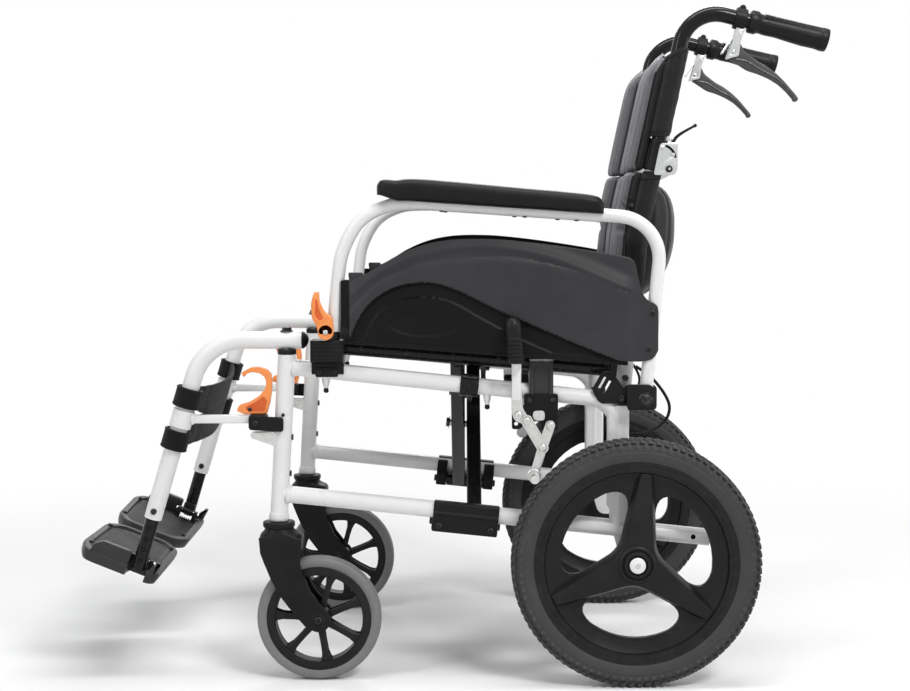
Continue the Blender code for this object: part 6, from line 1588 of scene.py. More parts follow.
PANEL_TOP = ((-0.1545, 0.5785), (-0.1480, 0.5797), (-0.1370, 0.5803), (-0.1065, 0.5948), (-0.0776, 0.6121),
             (-0.0502, 0.6243), (-0.0228, 0.6319), (0.0120, 0.6362), (0.0624, 0.6361), (0.1050, 0.6325),
             (0.1537, 0.6264), (0.2024, 0.6190), (0.2480, 0.6108), (0.2565, 0.6068), (0.2605, 0.5985),
             (0.2635, 0.5850), (0.2700, 0.5610), (0.2770, 0.5510), (0.2860, 0.5460), (0.2915, 0.5410),
             (0.2930, 0.5340))
PANEL_FOOT = ((-0.1545, 0.4965), (0.2288, 0.4660), (0.2650, 0.4632), (0.2800, 0.4652), (0.2880, 0.4700),
              (0.2930, 0.4790))
PANEL_CREST = ((-0.1545, 0.5420), (-0.1400, 0.5600), (-0.1100, 0.5860), (-0.0600, 0.6120), (-0.0100, 0.6240),
               (0.0300, 0.6280), (0.0624, 0.6272), (0.1050, 0.6212), (0.1506, 0.6091), (0.1963, 0.5908),
               (0.2510, 0.5674), (0.2950, 0.5500))
PANEL_STEP = ((-0.1520, 0.5130), (-0.1461, 0.5300), (-0.1233, 0.5558), (-0.0989, 0.5786), (-0.0715, 0.5923),
              (-0.0411, 0.6015), (0.0015, 0.6072), (0.0441, 0.6103), (0.0898, 0.6091), (0.1354, 0.6021),
              (0.1750, 0.5917), (0.2115, 0.5786), (0.2419, 0.5634), (0.2723, 0.5522), (0.2950, 0.5440))
ARCH_OUTER = ((-0.1440, 0.4900), (-0.1415, 0.5026), (-0.1309, 0.5254), (-0.1141, 0.5482), (-0.0867, 0.5674),
              (-0.0533, 0.5765), (-0.0228, 0.5765), (0.0076, 0.5674), (0.0380, 0.5528), (0.0745, 0.5345),
              (0.1354, 0.5086), (0.1810, 0.4889), (0.2267, 0.4706), (0.2500, 0.4600))
ARCH_INNER = ((-0.1240, 0.4900), (-0.1202, 0.5010), (-0.1080, 0.5254), (-0.0867, 0.5452), (-0.0533, 0.5549),
              (-0.0228, 0.5549), (0.0015, 0.5482), (0.0198, 0.5391), (0.0441, 0.5248), (0.0745, 0.5086),
              (0.1004, 0.4950), (0.1430, 0.4761), (0.1700, 0.4640))


def fine_line(points):
    """A smooth plan line as plain (a, b) pairs."""
    return [(p.x, p.z) for p in flowing([(a, 0, b) for a, b in points], 4)]


def beyond(line, a, b):
    """How far (a, b) lies on the upper side of a line; below it the distance is negative."""
    best, sign = 1e9, 1.0
    for (a0, b0), (a1, b1) in zip(line, line[1:]):
        da, db = a1 - a0, b1 - b0
        t = max(0.0, min(1.0, ((a - a0) * da + (b - b0) * db) / (da * da + db * db)))
        gap = math.hypot(a - a0 - da * t, b - b0 - db * t)
        if gap < best:
            best = gap
            sign = 1.0 if da * (b - b0) - db * (a - a0) > 0 else -1.0
    return best * sign


def panel_relief(lines, a, b):
    """How far the side panel's face stands out from its back plane."""
    crest, step, outer, inner = (beyond(line, a, b) for line in lines)
    ridge = 0.0018 * math.exp(-((crest + 0.0035) / 0.0042) ** 2)
    if crest > 0:
        stand = 0.0084 - 0.0046 * step_between(crest, 0.0, 0.020)
    elif step > 0:
        stand = 0.0084 - 0.0016 * step_between(-crest, 0.0, 0.009)
    else:
        stand = (0.0098 - 0.0018 * step_between(0.006 + step, 0.0, 0.006)
                 + 0.0006 * step_between(-step, 0.004, 0.050))
    stand += ridge
    stand += 0.0009 * math.exp(-((step + 0.0012) / 0.0011) ** 2)
    well = step_between(-outer, 0.0, 0.0075)
    floor = (0.0030 + 0.0022 * step_between(-inner, 0.0, 0.0014)
             + 0.0007 * math.exp(-((inner + 0.0016) / 0.0009) ** 2))
    stand += (floor - stand) * well
    across = ((a + 0.0380) * 0.999 - (b - 0.5163) * 0.035) / 0.0500
    tall = ((b - 0.5163) + (a + 0.0380) * 0.035) / 0.0175
    stand -= 0.0016 * step_between(1.0 - math.hypot(across, tall), 0.0, 0.10)
    stand += (0.0030 - stand) * step_between(a, 0.2440, 0.2700)
    stand += (0.0032 - stand) * (1 - step_between(a, -0.1470, -0.1400)) * step_between(b, 0.500, 0.515)
    return min(stand, 0.0110)


def side_panel(s, side):
    """The clothing guard: one moulded shell with its flange, crest, arched recess and screwed rear tab."""
    lines = [fine_line(points) for points in (PANEL_CREST, PANEL_STEP, ARCH_OUTER, ARCH_INNER)]
    columns = [-0.1545, -0.1541, -0.1534] + spread(-0.1524, 0.2908, 176) + [0.2918, 0.2926, 0.2930]
    shares = [0.0, 0.004, 0.010] + spread(0.02, 0.982, 74) + [0.990, 0.996, 1.0]
    y0 = s * PANEL_Y
    rows_out, rows_in = [], []
    for a in columns:
        low, top = through(PANEL_FOOT, a), through(PANEL_TOP, a)
        out, back = [], []
        for share in shares:
            b = low + (top - low) * share
            edge = min((b - low), (top - b), a + 0.1545, 0.2930 - a)
            stand = panel_relief(lines, a, b) - 0.0007 * (1 - step_between(edge, 0.0, 0.0016))
            out.append(Vector((a, y0 + s * stand, b)))
            back.append(Vector((a, y0 + s * max(0.0, stand - 0.0026), b)))
        rows_out.append(out)
        rows_in.append(back)
    bm = bmesh.new()
    front = [[bm.verts.new(p) for p in row] for row in rows_out]
    rear = [[bm.verts.new(p) for p in row] for row in rows_in]
    for skin in (front, rear):
        for i in range(len(columns) - 1):
            for j in range(len(shares) - 1):
                bm.faces.new((skin[i][j], skin[i + 1][j], skin[i + 1][j + 1], skin[i][j + 1]))
    last = len(shares) - 1
    for i in range(len(columns) - 1):
        for j in (0, last):
            bm.faces.new((front[i][j], front[i + 1][j], rear[i + 1][j], rear[i][j]))
    for i in (0, len(columns) - 1):
        for j in range(last):
            bm.faces.new((front[i][j], front[i][j + 1], rear[i][j + 1], rear[i][j]))
    bmesh.ops.recalc_face_normals(bm, faces=bm.faces)
    piece = Piece("side_panel_" + side, 50)

    def skin(face):
        """Painted shade: the arch band, what it frames, the front flange and the back of the shell get a
        smooth darker plastic that stands for shade.
        """
        spot = face.calc_center_median()
        if face.normal.y * s < 0.2 or spot.x < -0.1430:
            return PANEL_PAINTED_SHADE
        return PANEL_PAINTED_SHADE if beyond(lines[2], spot.x, spot.z) < -0.0012 else None

    piece.add(bm, PANEL_SKIN, skin)
    out = Vector((0, s, 0))
    screws = [(Vector((a, y0 + s * 0.0028, b)), out, 0.0084) for a, b in ((0.2851, 0.5324), (0.2793, 0.4813))]
    piece.heads("cross", screws, BLACK_SCREW)
    for a, b in ((0.2851, 0.5324), (0.2793, 0.4813)):
        piece.add(turned([(0.0022, 0.0046), (0.0034, 0.0050), (0.0034, 0.0064), (0.0022, 0.0070)],
                         (a, y0, b), out, 32, loop=True), PANEL_SKIN)
    inner = [(Vector((a, y0 - s * 0.0002, b)), -out, 0.0070) for a, b in ((-0.148, 0.512), (-0.148, 0.560))]
    piece.heads("cross", inner, BLACK_SCREW)
    lug = rounded([(-0.1420, 0.5740), (-0.1220, 0.5800), (-0.1230, 0.5900), (-0.1440, 0.5900)], 0.003)
    piece.add(plate(lug, y0 + s * 0.0002, y0 + s * 0.0050, 0.0010), PANEL_SKIN)
    mesh_band = [(-0.1500, 0.4960 - 0.0065), (0.2500, 0.4643 - 0.0065), (0.2500, 0.4683), (-0.1500, 0.5000)]
    piece.add(plate(mesh_band, y0 + s * 0.0004, y0 + s * 0.0044, 0.0010), SPACER_CLOTH)
    piece.done("arm_" + side, "side_panel", "side_panel_" + side)


PAD_Y = 0.246


def arm_pad(s, side):
    """The arm's foam pad: rounded nose, level top, seam and the channel that sits over the tube."""
    front, rear = -0.1027, 0.2145
    long = rear - front
    stations = ((0.0, 0.24, 0.44), (0.012, 0.52, 0.66), (0.03, 0.68, 0.78), (0.07, 0.82, 0.92),
                (0.13, 0.93, 1.03), (0.22, 1.0, 1.07), (0.35, 1.0, 1.05), (0.5, 1.0, 1.01),
                (0.65, 0.99, 0.97), (0.80, 0.98, 0.94), (0.92, 0.94, 0.89), (0.965, 0.88, 0.83),
                (0.988, 0.76, 0.72), (1.0, 0.56, 0.52))
    rings = []
    for share in [k / 90 for k in range(91)]:
        t = share * share * (3 - 2 * share) * 0.35 + share * 0.65
        wide = 0.046 * through([(a, b) for a, b, _ in stations], t)
        tall = 0.030 * through([(a, b) for a, _, b in stations], t)
        x = front + long * t
        base = arm_line(max(x, -0.06)) + ARM_R * 0.25
        lift = 0.008 * (1 - step_between(t, 0.0, 0.10))
        ring = []
        for k in range(44):
            angle = math.tau * k / 44
            c, d = math.cos(angle), math.sin(angle)
            bow = abs(c) ** 0.62 * math.copysign(1, c)
            rise = abs(d) ** (0.72 if d > 0 else 0.50) * math.copysign(1, d)
            up = base + lift + tall * (0.46 + 0.50 * rise)
            seam = 0.0008 * math.exp(-((rise + 0.42) / 0.07) ** 2)
            ring.append(Vector((x, s * PAD_Y + (wide / 2 - seam) * bow, up)))
        rings.append(ring)
    body = loft(rings)
    run = [(-0.140, arm_line(-0.140) - 0.016), (-0.100, arm_line(-0.100) - 0.0055),
           (-0.070, arm_line(-0.070) + 0.0005), (0.0, arm_line(0.0)),
           (rear + 0.025, arm_line(rear + 0.025))]
    channel = swept([(x, s * ARM_Y, z) for x, z in run], circle(ARM_R + 0.0012, 40))
    piece = Piece("arm_pad_" + side, 48)
    piece.add(cut(body, [channel]), PAD_SKIN)
    made = piece.done("arm_" + side, "upholstery", "arm_pad_" + side)


def arm_latch(s, side):
    """The orange catch beside the arm's foot, with its finger hook and pivot boss."""
    x, z = -0.1760, 0.5060
    y0 = s * (ARM_Y + ARM_R + GAP)
    out = Vector((0, s, 0))
    blade = rounded([(x - 0.0105, z - 0.004), (x - 0.0125, z + 0.008), (x - 0.0195, z + 0.020),
                     (x - 0.0205, z + 0.040), (x - 0.0165, z + 0.0555), (x - 0.0090, z + 0.0562),
                     (x - 0.0085, z + 0.044), (x - 0.0020, z + 0.030), (x + 0.0095, z + 0.021),
                     (x + 0.0112, z + 0.006), (x + 0.0105, z - 0.004)], 0.004, 5)
    piece = Piece("arm_latch_" + side)
    body = cut(plate(blade, y0, y0 + s * 0.008, 0.0016, 3),
               [pin((x, y0 - s * 0.01, z), (x, y0 + s * 0.02, z), 0.0029, 0.0)])
    piece.add(body, ORANGE)
    boss = [(0.0, 0.0029), (0.0, 0.0105), (0.0010, 0.0112), (0.0070, 0.0112), (0.0080, 0.0100),
            (0.0080, 0.0029)]
    piece.add(turned(boss, (x, y0, z), out, 44, loop=True), ORANGE)
    hollow = rounded([(x - 0.0150, z + 0.024), (x - 0.0140, z + 0.046), (x - 0.0118, z + 0.046),
                      (x - 0.0085, z + 0.030), (x - 0.0020, z + 0.020), (x - 0.0085, z + 0.0155)], 0.003)
    piece.add(pierced(rounded([(x - 0.0175, z + 0.0205), (x - 0.0165, z + 0.0500), (x - 0.0105, z + 0.0500),
                               (x - 0.0060, z + 0.0330), (x + 0.0050, z + 0.0215),
                               (x - 0.0080, z + 0.0125)], 0.003), [hollow], y0 + s * 0.0076,
                      y0 + s * 0.0087, 0.0004), ORANGE)
    # Painted shade: a darker orange sheet over the hollow stands for the shade in the recess.
    piece.add(plate(hollow, y0 + s * 0.0074, y0 + s * 0.0081, 0.0002, 1), ORANGE_PAINTED_SHADE)
    for k in range(4):
        at = (x - 0.0158 + 0.0022 * k, z + 0.0561)
        dot = pin((at[0], y0 + s * 0.001, at[1]), (at[0], y0 + s * 0.007, at[1]), 0.0007, 0.0003, 10)
        piece.add(dot, ORANGE)
    piece.done("arm_latch_" + side, "orange_plastic", "arm_latch_" + side)


# Parking brakes
BRAKE_LEVER = (0.09624, 0.3864)
BRAKE_SHOE = (0.14124, 0.3717)
BRAKE_JOINT = (0.13044, 0.3402)
SHOE = (0.11834, 0.2993)
BRAKE_Y = 0.2345


def parking_lever(s, side):
    """The lever: zinc crank, flat painted blade and a ribbed rubber grip."""
    lx, lz = BRAKE_LEVER
    y1 = s * (BRAKE_Y + GAP)
    y2 = y1 + s * 0.0045
    piece = Piece("parking_lever_" + side)
    crank = rounded([(lx - 0.010, lz + 0.004), (lx - 0.006, lz - 0.008), (lx + 0.010, lz - 0.014),
                     (lx + 0.018, lz - 0.009), (lx + 0.006, lz + 0.010), (lx + 0.004, 0.4300),
                     (lx - 0.010, 0.4300)], 0.005, 5)
    piece.add(pierced(crank, [round_hole(BRAKE_LEVER, 0.0037)], y1, y2, 0.0006), ZINC)
    blade = rounded([(lx - 0.0092, 0.4080), (lx + 0.0032, 0.4080), (lx + 0.0040, 0.4666),
                     (lx - 0.0100, 0.4666)], 0.003, 4)
    piece.add(plate(blade, y1 + s * 0.0003, y2 + s * 0.0007, 0.0009), WHITE_PAINT)
    grip_y = s * (ARM_Y + ARM_R + GAP + PANEL_T + 0.0135)
    low, high = 0.4626, 0.5274
    step = swept(flowing([(lx - 0.003, y1 + s * 0.003, low - 0.020),
                          (lx - 0.0032, y1 + s * 0.006, low - 0.010),
                          (lx - 0.0038, grip_y - s * 0.004, low - 0.003),
                          (lx - 0.004, grip_y, low + 0.010)], 5), rounded_box(0.0105, 0.0060, 0.0022, 4),
                 side=X)
    piece.add(step, WHITE_PAINT)
    rings = []
    rows = [(0.0, 0.0086), (0.0006, 0.0102), (0.0022, 0.0110)]
    for k in range(6):
        base = 0.0040 + k * 0.0056
        rows += [(base, 0.0112), (base + 0.0008, 0.0121), (base + 0.0036, 0.0121), (base + 0.0044, 0.0112)]
    rows += [(0.0390, 0.0114), (0.0420, 0.0122), (0.0480, 0.0123), (0.0540, 0.0118), (0.0590, 0.0104),
             (0.0625, 0.0080), (0.0643, 0.0048), (0.0648, 0.0012)]
    for rise, radius in rows:
        share = rise / (high - low)
        centre = Vector((lx - 0.004 - 0.006 * share, grip_y, low + rise))
        facets = 1.0 if rise < 0.040 else 0.965
        ring = []
        for k in range(40):
            angle = math.tau * k / 40
            flat = radius * (facets + (1 - facets) * abs(math.cos(4 * angle)))
            ring.append(centre + Vector((flat * math.cos(angle), flat * 0.94 * math.sin(angle), 0)))
        rings.append(ring)
    piece.add(loft(rings), GRIP_RUBBER)
    out = Vector((0, s, 0))
    top = (lx + 0.0113, lz - 0.00735)
    piece.add(pin((top[0], y1, top[1]), (top[0], y2 + s * 0.0065, top[1]), 0.0032), ZINC)
    heads = [(Vector((top[0], y2 + s * 0.0052, top[1])), out, 0.0108)]
    piece.heads("cross", heads, ZINC)
    piece.done("brake_lever_" + side, "zinc_plate", "parking_lever_" + side)


def brake_shoe(s, side):
    """The shoe arm: two flat bars on one joint and the roller that presses the tyre."""
    y1 = s * (BRAKE_Y + GAP)
    y2 = y1 + s * 0.0045
    piece = Piece("brake_shoe_" + side)
    piece.add(pierced(strip(BRAKE_SHOE, BRAKE_JOINT, 0.014), [round_hole(BRAKE_SHOE, 0.0038)], y1, y2,
                      0.0006), ZINC)
    piece.add(plate(strip(BRAKE_JOINT, SHOE, 0.013), y1 + s * 0.0001, y2 - s * 0.0001, 0.0006), ZINC)
    roller = [(0.0, 0.0), (0.0, 0.0064), (0.0006, 0.0070), (0.0350, 0.0070), (0.0388, 0.0062), (0.0392, 0.0)]
    piece.add(turned(roller, (SHOE[0], y1, SHOE[1]), Vector((0, s, 0)), 36), ZINC)
    for k in range(7):
        knurl = [(0.0092 + k * 0.0036, 0.0066), (0.0094 + k * 0.0036, 0.0074), (0.0110 + k * 0.0036, 0.0074),
                 (0.0112 + k * 0.0036, 0.0066)]
        piece.add(turned(knurl, (SHOE[0], y1, SHOE[1]), Vector((0, s, 0)), 30, loop=True), ZINC)
    out = Vector((0, s, 0))
    boss = [(-0.0002, 0.0), (-0.0002, 0.0088), (0.0005, 0.0095), (0.0045, 0.0095), (0.0052, 0.0086),
            (0.0052, 0.0)]
    piece.add(turned(boss, (SHOE[0], y1, SHOE[1]), out, 36), ZINC)
    spot = Vector((BRAKE_JOINT[0], y2 + s * 0.0052, BRAKE_JOINT[1]))
    piece.add(pin(spot - out * 0.009, spot, 0.0030), ZINC)
    piece.heads("cross", [(spot - out * 0.0003, out, 0.0108)], ZINC)
    piece.done("brake_shoe_" + side, "zinc_plate", "brake_shoe_" + side)


def brake_link(s, side):
    """The flat link between lever and shoe arm."""
    y3 = s * (BRAKE_Y + GAP + 0.0045 + GAP)
    top = (BRAKE_LEVER[0] + 0.0113, BRAKE_LEVER[1] - 0.00735)
    piece = Piece("brake_link_" + side)
    piece.add(plate(strip(top, BRAKE_JOINT, 0.0165), y3, y3 + s * 0.0040, 0.0006), ZINC)
    piece.add(pierced(strip(top, BRAKE_JOINT, 0.0165), [strip(top, BRAKE_JOINT, 0.0125)], y3 + s * 0.0034,
                      y3 + s * 0.0054, 0.0005), ZINC)
    piece.done("brake_link_" + side, "zinc_plate", "brake_link_" + side)


# Front rigging
DOWN = Vector((-HANGER_RAKE, 0, -1)).normalized()
HANGER_Z = 0.4925
LATCH = (-0.2960, 0.3863)


def hanger(s, side):
    """The swing-away hanger: bent tube, brace to the hook, bracket sleeve and bolts."""
    y = s * FRAME_Y
    out = Vector((0, s, 0))
    mouth = Vector((HANGER_LOW[0], y, HANGER_LOW[1]))
    path = bent([(-0.2129, y, HANGER_Z), (hanger_x(HANGER_Z), y, HANGER_Z), mouth], 0.075, 4)
    piece = Piece("hanger_" + side)
    piece.add(swept(path, circle(HANGER_R, 48)), WHITE_PAINT)
    cap = [(-0.001, 0.0), (-0.001, HANGER_R * 0.98), (0.0012, HANGER_R * 0.98), (0.0040, HANGER_R * 0.88),
           (0.0068, HANGER_R * 0.66), (0.0090, HANGER_R * 0.36), (0.0100, 0.0)]
    piece.add(turned(cap, (-0.2129, y, HANGER_Z), X, 44), BLACK_PLASTIC)
    swing_x = post_x(POST_TOP_Z)
    piece.add(turned([(0.0127, 0.0052), (0.0127, 0.0085), (0.0137, 0.0098), (0.0142, 0.0052)],
                     (swing_x, y, HANGER_Z), Z, 36, loop=True), BLACK_SCREW)
    piece.heads("hex", [(Vector((swing_x, y, HANGER_Z + 0.0138)), Z, 0.0140)], BLACK_SCREW)
    piece.add(turned([(0.0008, 0.0101), (0.0008, HANGER_R - 0.0019), (-0.0020, HANGER_R - 0.0016),
                      (-0.0020, 0.0101)], mouth, DOWN, 44, loop=True), BLACK_PLASTIC)

    brace_z = 0.381
    start = Vector((hanger_x(brace_z), y, brace_z))
    bar = extruded(rounded([(-0.006, -0.008), (0.006, -0.008), (0.006, 0.004), (-0.006, 0.004)], 0.0025, 4),
                   lambda a, b, x: Vector((x, y + a, brace_z + b)), start.x, -0.2860, 0.0008)
    piece.add(bar, WHITE_PAINT)
    sleeve = [(-0.0135, HANGER_R - 0.001), (-0.0135, HANGER_R + 0.0022), (-0.0125, HANGER_R + 0.0030),
              (0.0125, HANGER_R + 0.0030), (0.0135, HANGER_R + 0.0022), (0.0135, HANGER_R - 0.001)]
    piece.add(turned(sleeve, start + Vector((0, 0, -0.001)), DOWN, 44, loop=True), WHITE_PAINT)
    piece.add(bead(start + Vector((HANGER_R + 0.0025, 0, -0.002)), X, 0.0065, 0.003), WHITE_PAINT)

    side_y = y + s * (POST_R + 0.0012)
    hook = rounded([(-0.2887, 0.3855), (-0.2887, 0.3650), (-0.2390, 0.3620), (-0.2390, 0.3830)], 0.005, 5)
    piece.add(plate(hook, side_y, side_y + s * 0.005, 0.0012, 3), BLACK_PLASTIC)
    web = [(-0.2890, 0.3680), (-0.2630, 0.3680), (-0.2630, 0.3860), (-0.2890, 0.3860)]
    low, high = sorted((y - s * 0.008, side_y + s * 0.002))
    piece.add(plate(rounded(web, 0.004, 4), low, high, 0.0016, 3), BLACK_PLASTIC)
    piece.heads("socket", [(Vector((-0.2790, side_y + s * 0.0048, 0.3745)), out, 0.0072)], BLACK_SCREW)
    low_bolt = Vector((hanger_x(0.2468), y, 0.2468))
    piece.heads("hex", [(low_bolt + out * (HANGER_R - 0.0004), out, 0.0096),
                        (low_bolt - out * (HANGER_R - 0.0004), -out, 0.0096)], BLACK_SCREW)
    for z in (0.4130, 0.3460):
        spot = Vector((hanger_x(z), y, z))
        piece.heads("rivet", [(spot + out * (HANGER_R - 0.0006), out, 0.0058)], BLACK_SCREW)
    piece.done("hanger_" + side, "frame", "hanger_" + side)


def hanger_latch(s, side):
    """The orange hooked lever that frees the hanger."""
    y = s * FRAME_Y
    hx, hz = LATCH
    outline = rounded([(hx, hz), (hx - 0.011, hz + 0.0047), (-0.3040, 0.3990), (-0.2880, 0.4040),
                       (-0.2740, 0.4130), (-0.2660, 0.4230), (-0.2640, 0.4320), (-0.2665, 0.4400),
                       (-0.2740, 0.4455), (-0.2850, 0.4470), (-0.2930, 0.4440), (-0.2960, 0.4390),
                       (-0.3000, 0.4460), (-0.2860, 0.4535), (-0.2740, 0.4540), (-0.2640, 0.4510),
                       (-0.2575, 0.4440), (-0.2560, 0.4340), (-0.2570, 0.4180), (-0.2590, 0.4040),
                       (-0.2640, hz)], 0.0025, 4)
    inner = rounded([(hx + 0.004, hz + 0.004), (hx + 0.001, hz + 0.010), (-0.2800, 0.4035), (-0.2680, 0.4120),
                     (-0.2630, 0.4060), (-0.2670, hz + 0.004)], 0.003, 4)
    piece = Piece("hanger_latch_" + side)
    piece.add(plate(outline, y - 0.0060, y + 0.0060, 0.0014, 3), ORANGE)
    for d in (-1, 1):
        rim_line = rounded([(hx - 0.002, hz + 0.001), (hx - 0.006, hz + 0.009), (-0.2860, 0.4020),
                            (-0.2700, 0.4145), (-0.2605, 0.4180), (-0.2600, 0.4040), (-0.2645, hz + 0.001)],
                           0.003, 4)
        piece.add(pierced(rim_line, [inner], y + d * 0.0056, y + d * 0.0069, 0.0004), ORANGE)
        # Painted shade: a darker orange sheet inside the raised rim stands for the shade in the recess.
        piece.add(plate(inner, y + d * 0.0054, y + d * 0.0061, 0.0002, 1), ORANGE_PAINTED_SHADE)
        piece.heads("cross", [(Vector((hx + 0.008, y + d * 0.0058, hz + 0.007)), Y * d, 0.0062)], BLACK_SCREW)
    piece.done("hanger_latch_" + side, "orange_plastic", "hanger_latch_" + side)


FOOT_TIP_DROP = 0.076
FOOT_HINGE_Y = 0.1965
PLATE_PITCH = math.radians(22)
PLATE_ALONG = Vector((math.cos(PLATE_PITCH), 0, -math.sin(PLATE_PITCH)))
PLATE_UP = Vector((-PLATE_ALONG.z, 0, PLATE_ALONG.x))


def plate_hinge(s):
    """The footplate's hinge, just inboard of the foot tube's end."""
    tip = Vector((HANGER_LOW[0], s * FRAME_Y, HANGER_LOW[1])) + DOWN * FOOT_TIP_DROP
    return tip, Vector((tip.x + 0.002, s * FOOT_HINGE_Y, tip.z + 0.008))


def foot_tube(s, side):
    """The height-adjusting foot tube with its end lug, hinge pin and row of holes, which are dark discs of
    painted shade.
    """
    mouth = Vector((HANGER_LOW[0], s * FRAME_Y, HANGER_LOW[1]))
    tip, hinge = plate_hinge(s)
    piece = Piece("foot_tube_" + side)
    piece.add(swept([mouth - DOWN * 0.080, tip], circle(0.010, 40)), GLOSS_BLACK)
    piece.add(turned([(0.0, 0.0), (0.0, 0.0092), (0.0016, 0.0080), (0.0020, 0.0)], tip, DOWN, 36),
              BLACK_PLASTIC)
    out = Vector((0, s, 0))
    # Painted shade: each hole is a near-black disc on the tube, standing for the shade inside it.
    for k in range(4):
        spot = mouth + DOWN * (0.014 + 0.016 * k)
        for d in (-1, 1):
            piece.add(turned([(0.0096, 0.0), (0.0096, 0.0030), (0.0102, 0.0032), (0.0102, 0.0024),
                              (0.0098, 0.0022), (0.0098, 0.0)], spot, out * d, 24), HOLE_PAINTED_SHADE)
    lug = extruded(rounded([(-0.0098, -0.010), (0.0098, -0.010), (0.0098, 0.010), (-0.0098, 0.010)],
                           0.004, 4),
                   lambda a, b, depth: (tip - DOWN * (0.0115 - b) - Vector((0, s * depth, 0))
                                        + PLATE_ALONG * a),
                   0.004, 0.0160, 0.0010)
    piece.add(lug, BLACK_PLASTIC)
    piece.add(pin(hinge - PLATE_ALONG * 0.010, hinge + PLATE_ALONG * 0.010, 0.0055, 0.0008), BLACK_PLASTIC)
    piece.add(pin(hinge - PLATE_ALONG * 0.020, hinge + PLATE_ALONG * 0.020, 0.003), STEEL)
    piece.done("footrest_" + side, "frame", "foot_tube_" + side)


def footplate(s, side):
    """The flip-up footplate: bevelled border, sunk ribbed tread, raised outer wall and hinge lugs."""
    _, hinge = plate_hinge(s)
    shift = (-0.4785 - hinge.x) / PLATE_ALONG.x

    def at(a, b, c):
        """A point along the plate, at |y| = b, above the hinge line."""
        return hinge + PLATE_ALONG * (a + shift) + PLATE_UP * c + Vector((0, s * (b - FOOT_HINGE_Y), 0))

    half, top, low = 0.062, -0.007, -0.025
    outer, inner = 0.226, 0.015
    outline = rounded([(-half + 0.012, outer), (-half, outer - 0.035), (-half + 0.004, inner + 0.030),
                       (-half + 0.022, inner), (half - 0.020, inner), (half, inner + 0.030),
                       (half, outer - 0.012), (half - 0.010, outer)], 0.014, 6)
    middle = ((outer + inner) / 2, 0.0)

    def ring(grow, c):
        """The plate's outline, grown or shrunk towards its middle, at one height."""
        wide = (outer - inner) / 2
        return [at(a * (1 + grow / half), middle[0] + (b - middle[0]) * (1 + grow / wide), c)
                for a, b in outline]

    body = loft([ring(-0.0075, low), ring(-0.0030, low + 0.0010), ring(-0.0012, low + 0.0060),
                 ring(-0.0002, top - 0.0040), ring(-0.0008, top - 0.0012), ring(-0.0026, top),
                 ring(-0.0100, top), ring(-0.0115, top - 0.0030), ring(-0.0130, top - 0.0036)])
    notch = loft([[at(-shift + a, b, c) for a, b in ((-0.0125, 0.1865), (0.0125, 0.1865), (0.0145, 0.2025),
                                                     (0.0145, 0.246), (-0.0145, 0.246), (-0.0145, 0.2025))]
                  for c in (-0.06, 0.06)])
    piece = Piece("footplate_" + side)
    walls = []
    for a0, a1, rise in ((-half + 0.018, -shift - 0.0150, 0.012), (-shift + 0.0150, half - 0.004, 0.010)):
        shape = [(a0, top - 0.004), (a1, top - 0.004), (a1, rise - 0.002), (a1 - 0.004, rise),
                 (a0 + 0.016, rise), (a0 + 0.004, rise - 0.008)]
        walls.append(extruded(rounded(shape, 0.003, 4), lambda a, c, b: at(a, b, c), outer - 0.0125,
                              outer - 0.0010, 0.0012, 2))

    def tread(face):
        """The sunk middle of the plate is darker than its border."""
        rise = (face.calc_center_median() - hinge).dot(PLATE_UP)
        return MATT_BLACK if face.normal.dot(PLATE_UP) > 0.9 and low < rise < top - 0.0030 else None

    piece.add(cut(body, [notch]), PLATE_PLASTIC, tread)
    for wall in walls:
        piece.add(wall, PLATE_PLASTIC)
    for a, b in ((-0.0175, -0.0105), (0.0105, 0.0175)):
        block = [(-shift + a, low + 0.004), (-shift + b, low + 0.004), (-shift + b, 0.004),
                 (-shift + a, 0.004)]
        piece.add(extruded(rounded(block, 0.002, 3), lambda p, c, b: at(p, b, c), 0.1905, 0.2015, 0.0008),
                  BLACK_PLASTIC)
    start = at(-half + 0.020, 0.1150, top - 0.0034)
    step = at(-half + 0.0236, 0.1150, top - 0.0034) - start
    rib_shape = loft([[p for p in (Vector((0, b, 0)) + PLATE_ALONG * a + PLATE_UP * c
                                   for a, c in ((-0.0010, -0.001), (0.0010, -0.001), (0.0006, 0.0006),
                                                (-0.0006, 0.0006)))] for b in (-0.078, 0.078)])
    piece.add(ribs(rib_shape, MATT_BLACK, 24, start, step), MATT_BLACK)
    spots = [(at(a, b, top + 0.0001), PLATE_UP, 0.0078) for a in (-half + 0.012, half - 0.012)
             for b in (inner + 0.040, outer - 0.042)]
    piece.heads("socket", spots, BLACK_SCREW)
    piece.done("footplate_" + side, "black_plastic", "footplate_" + side)


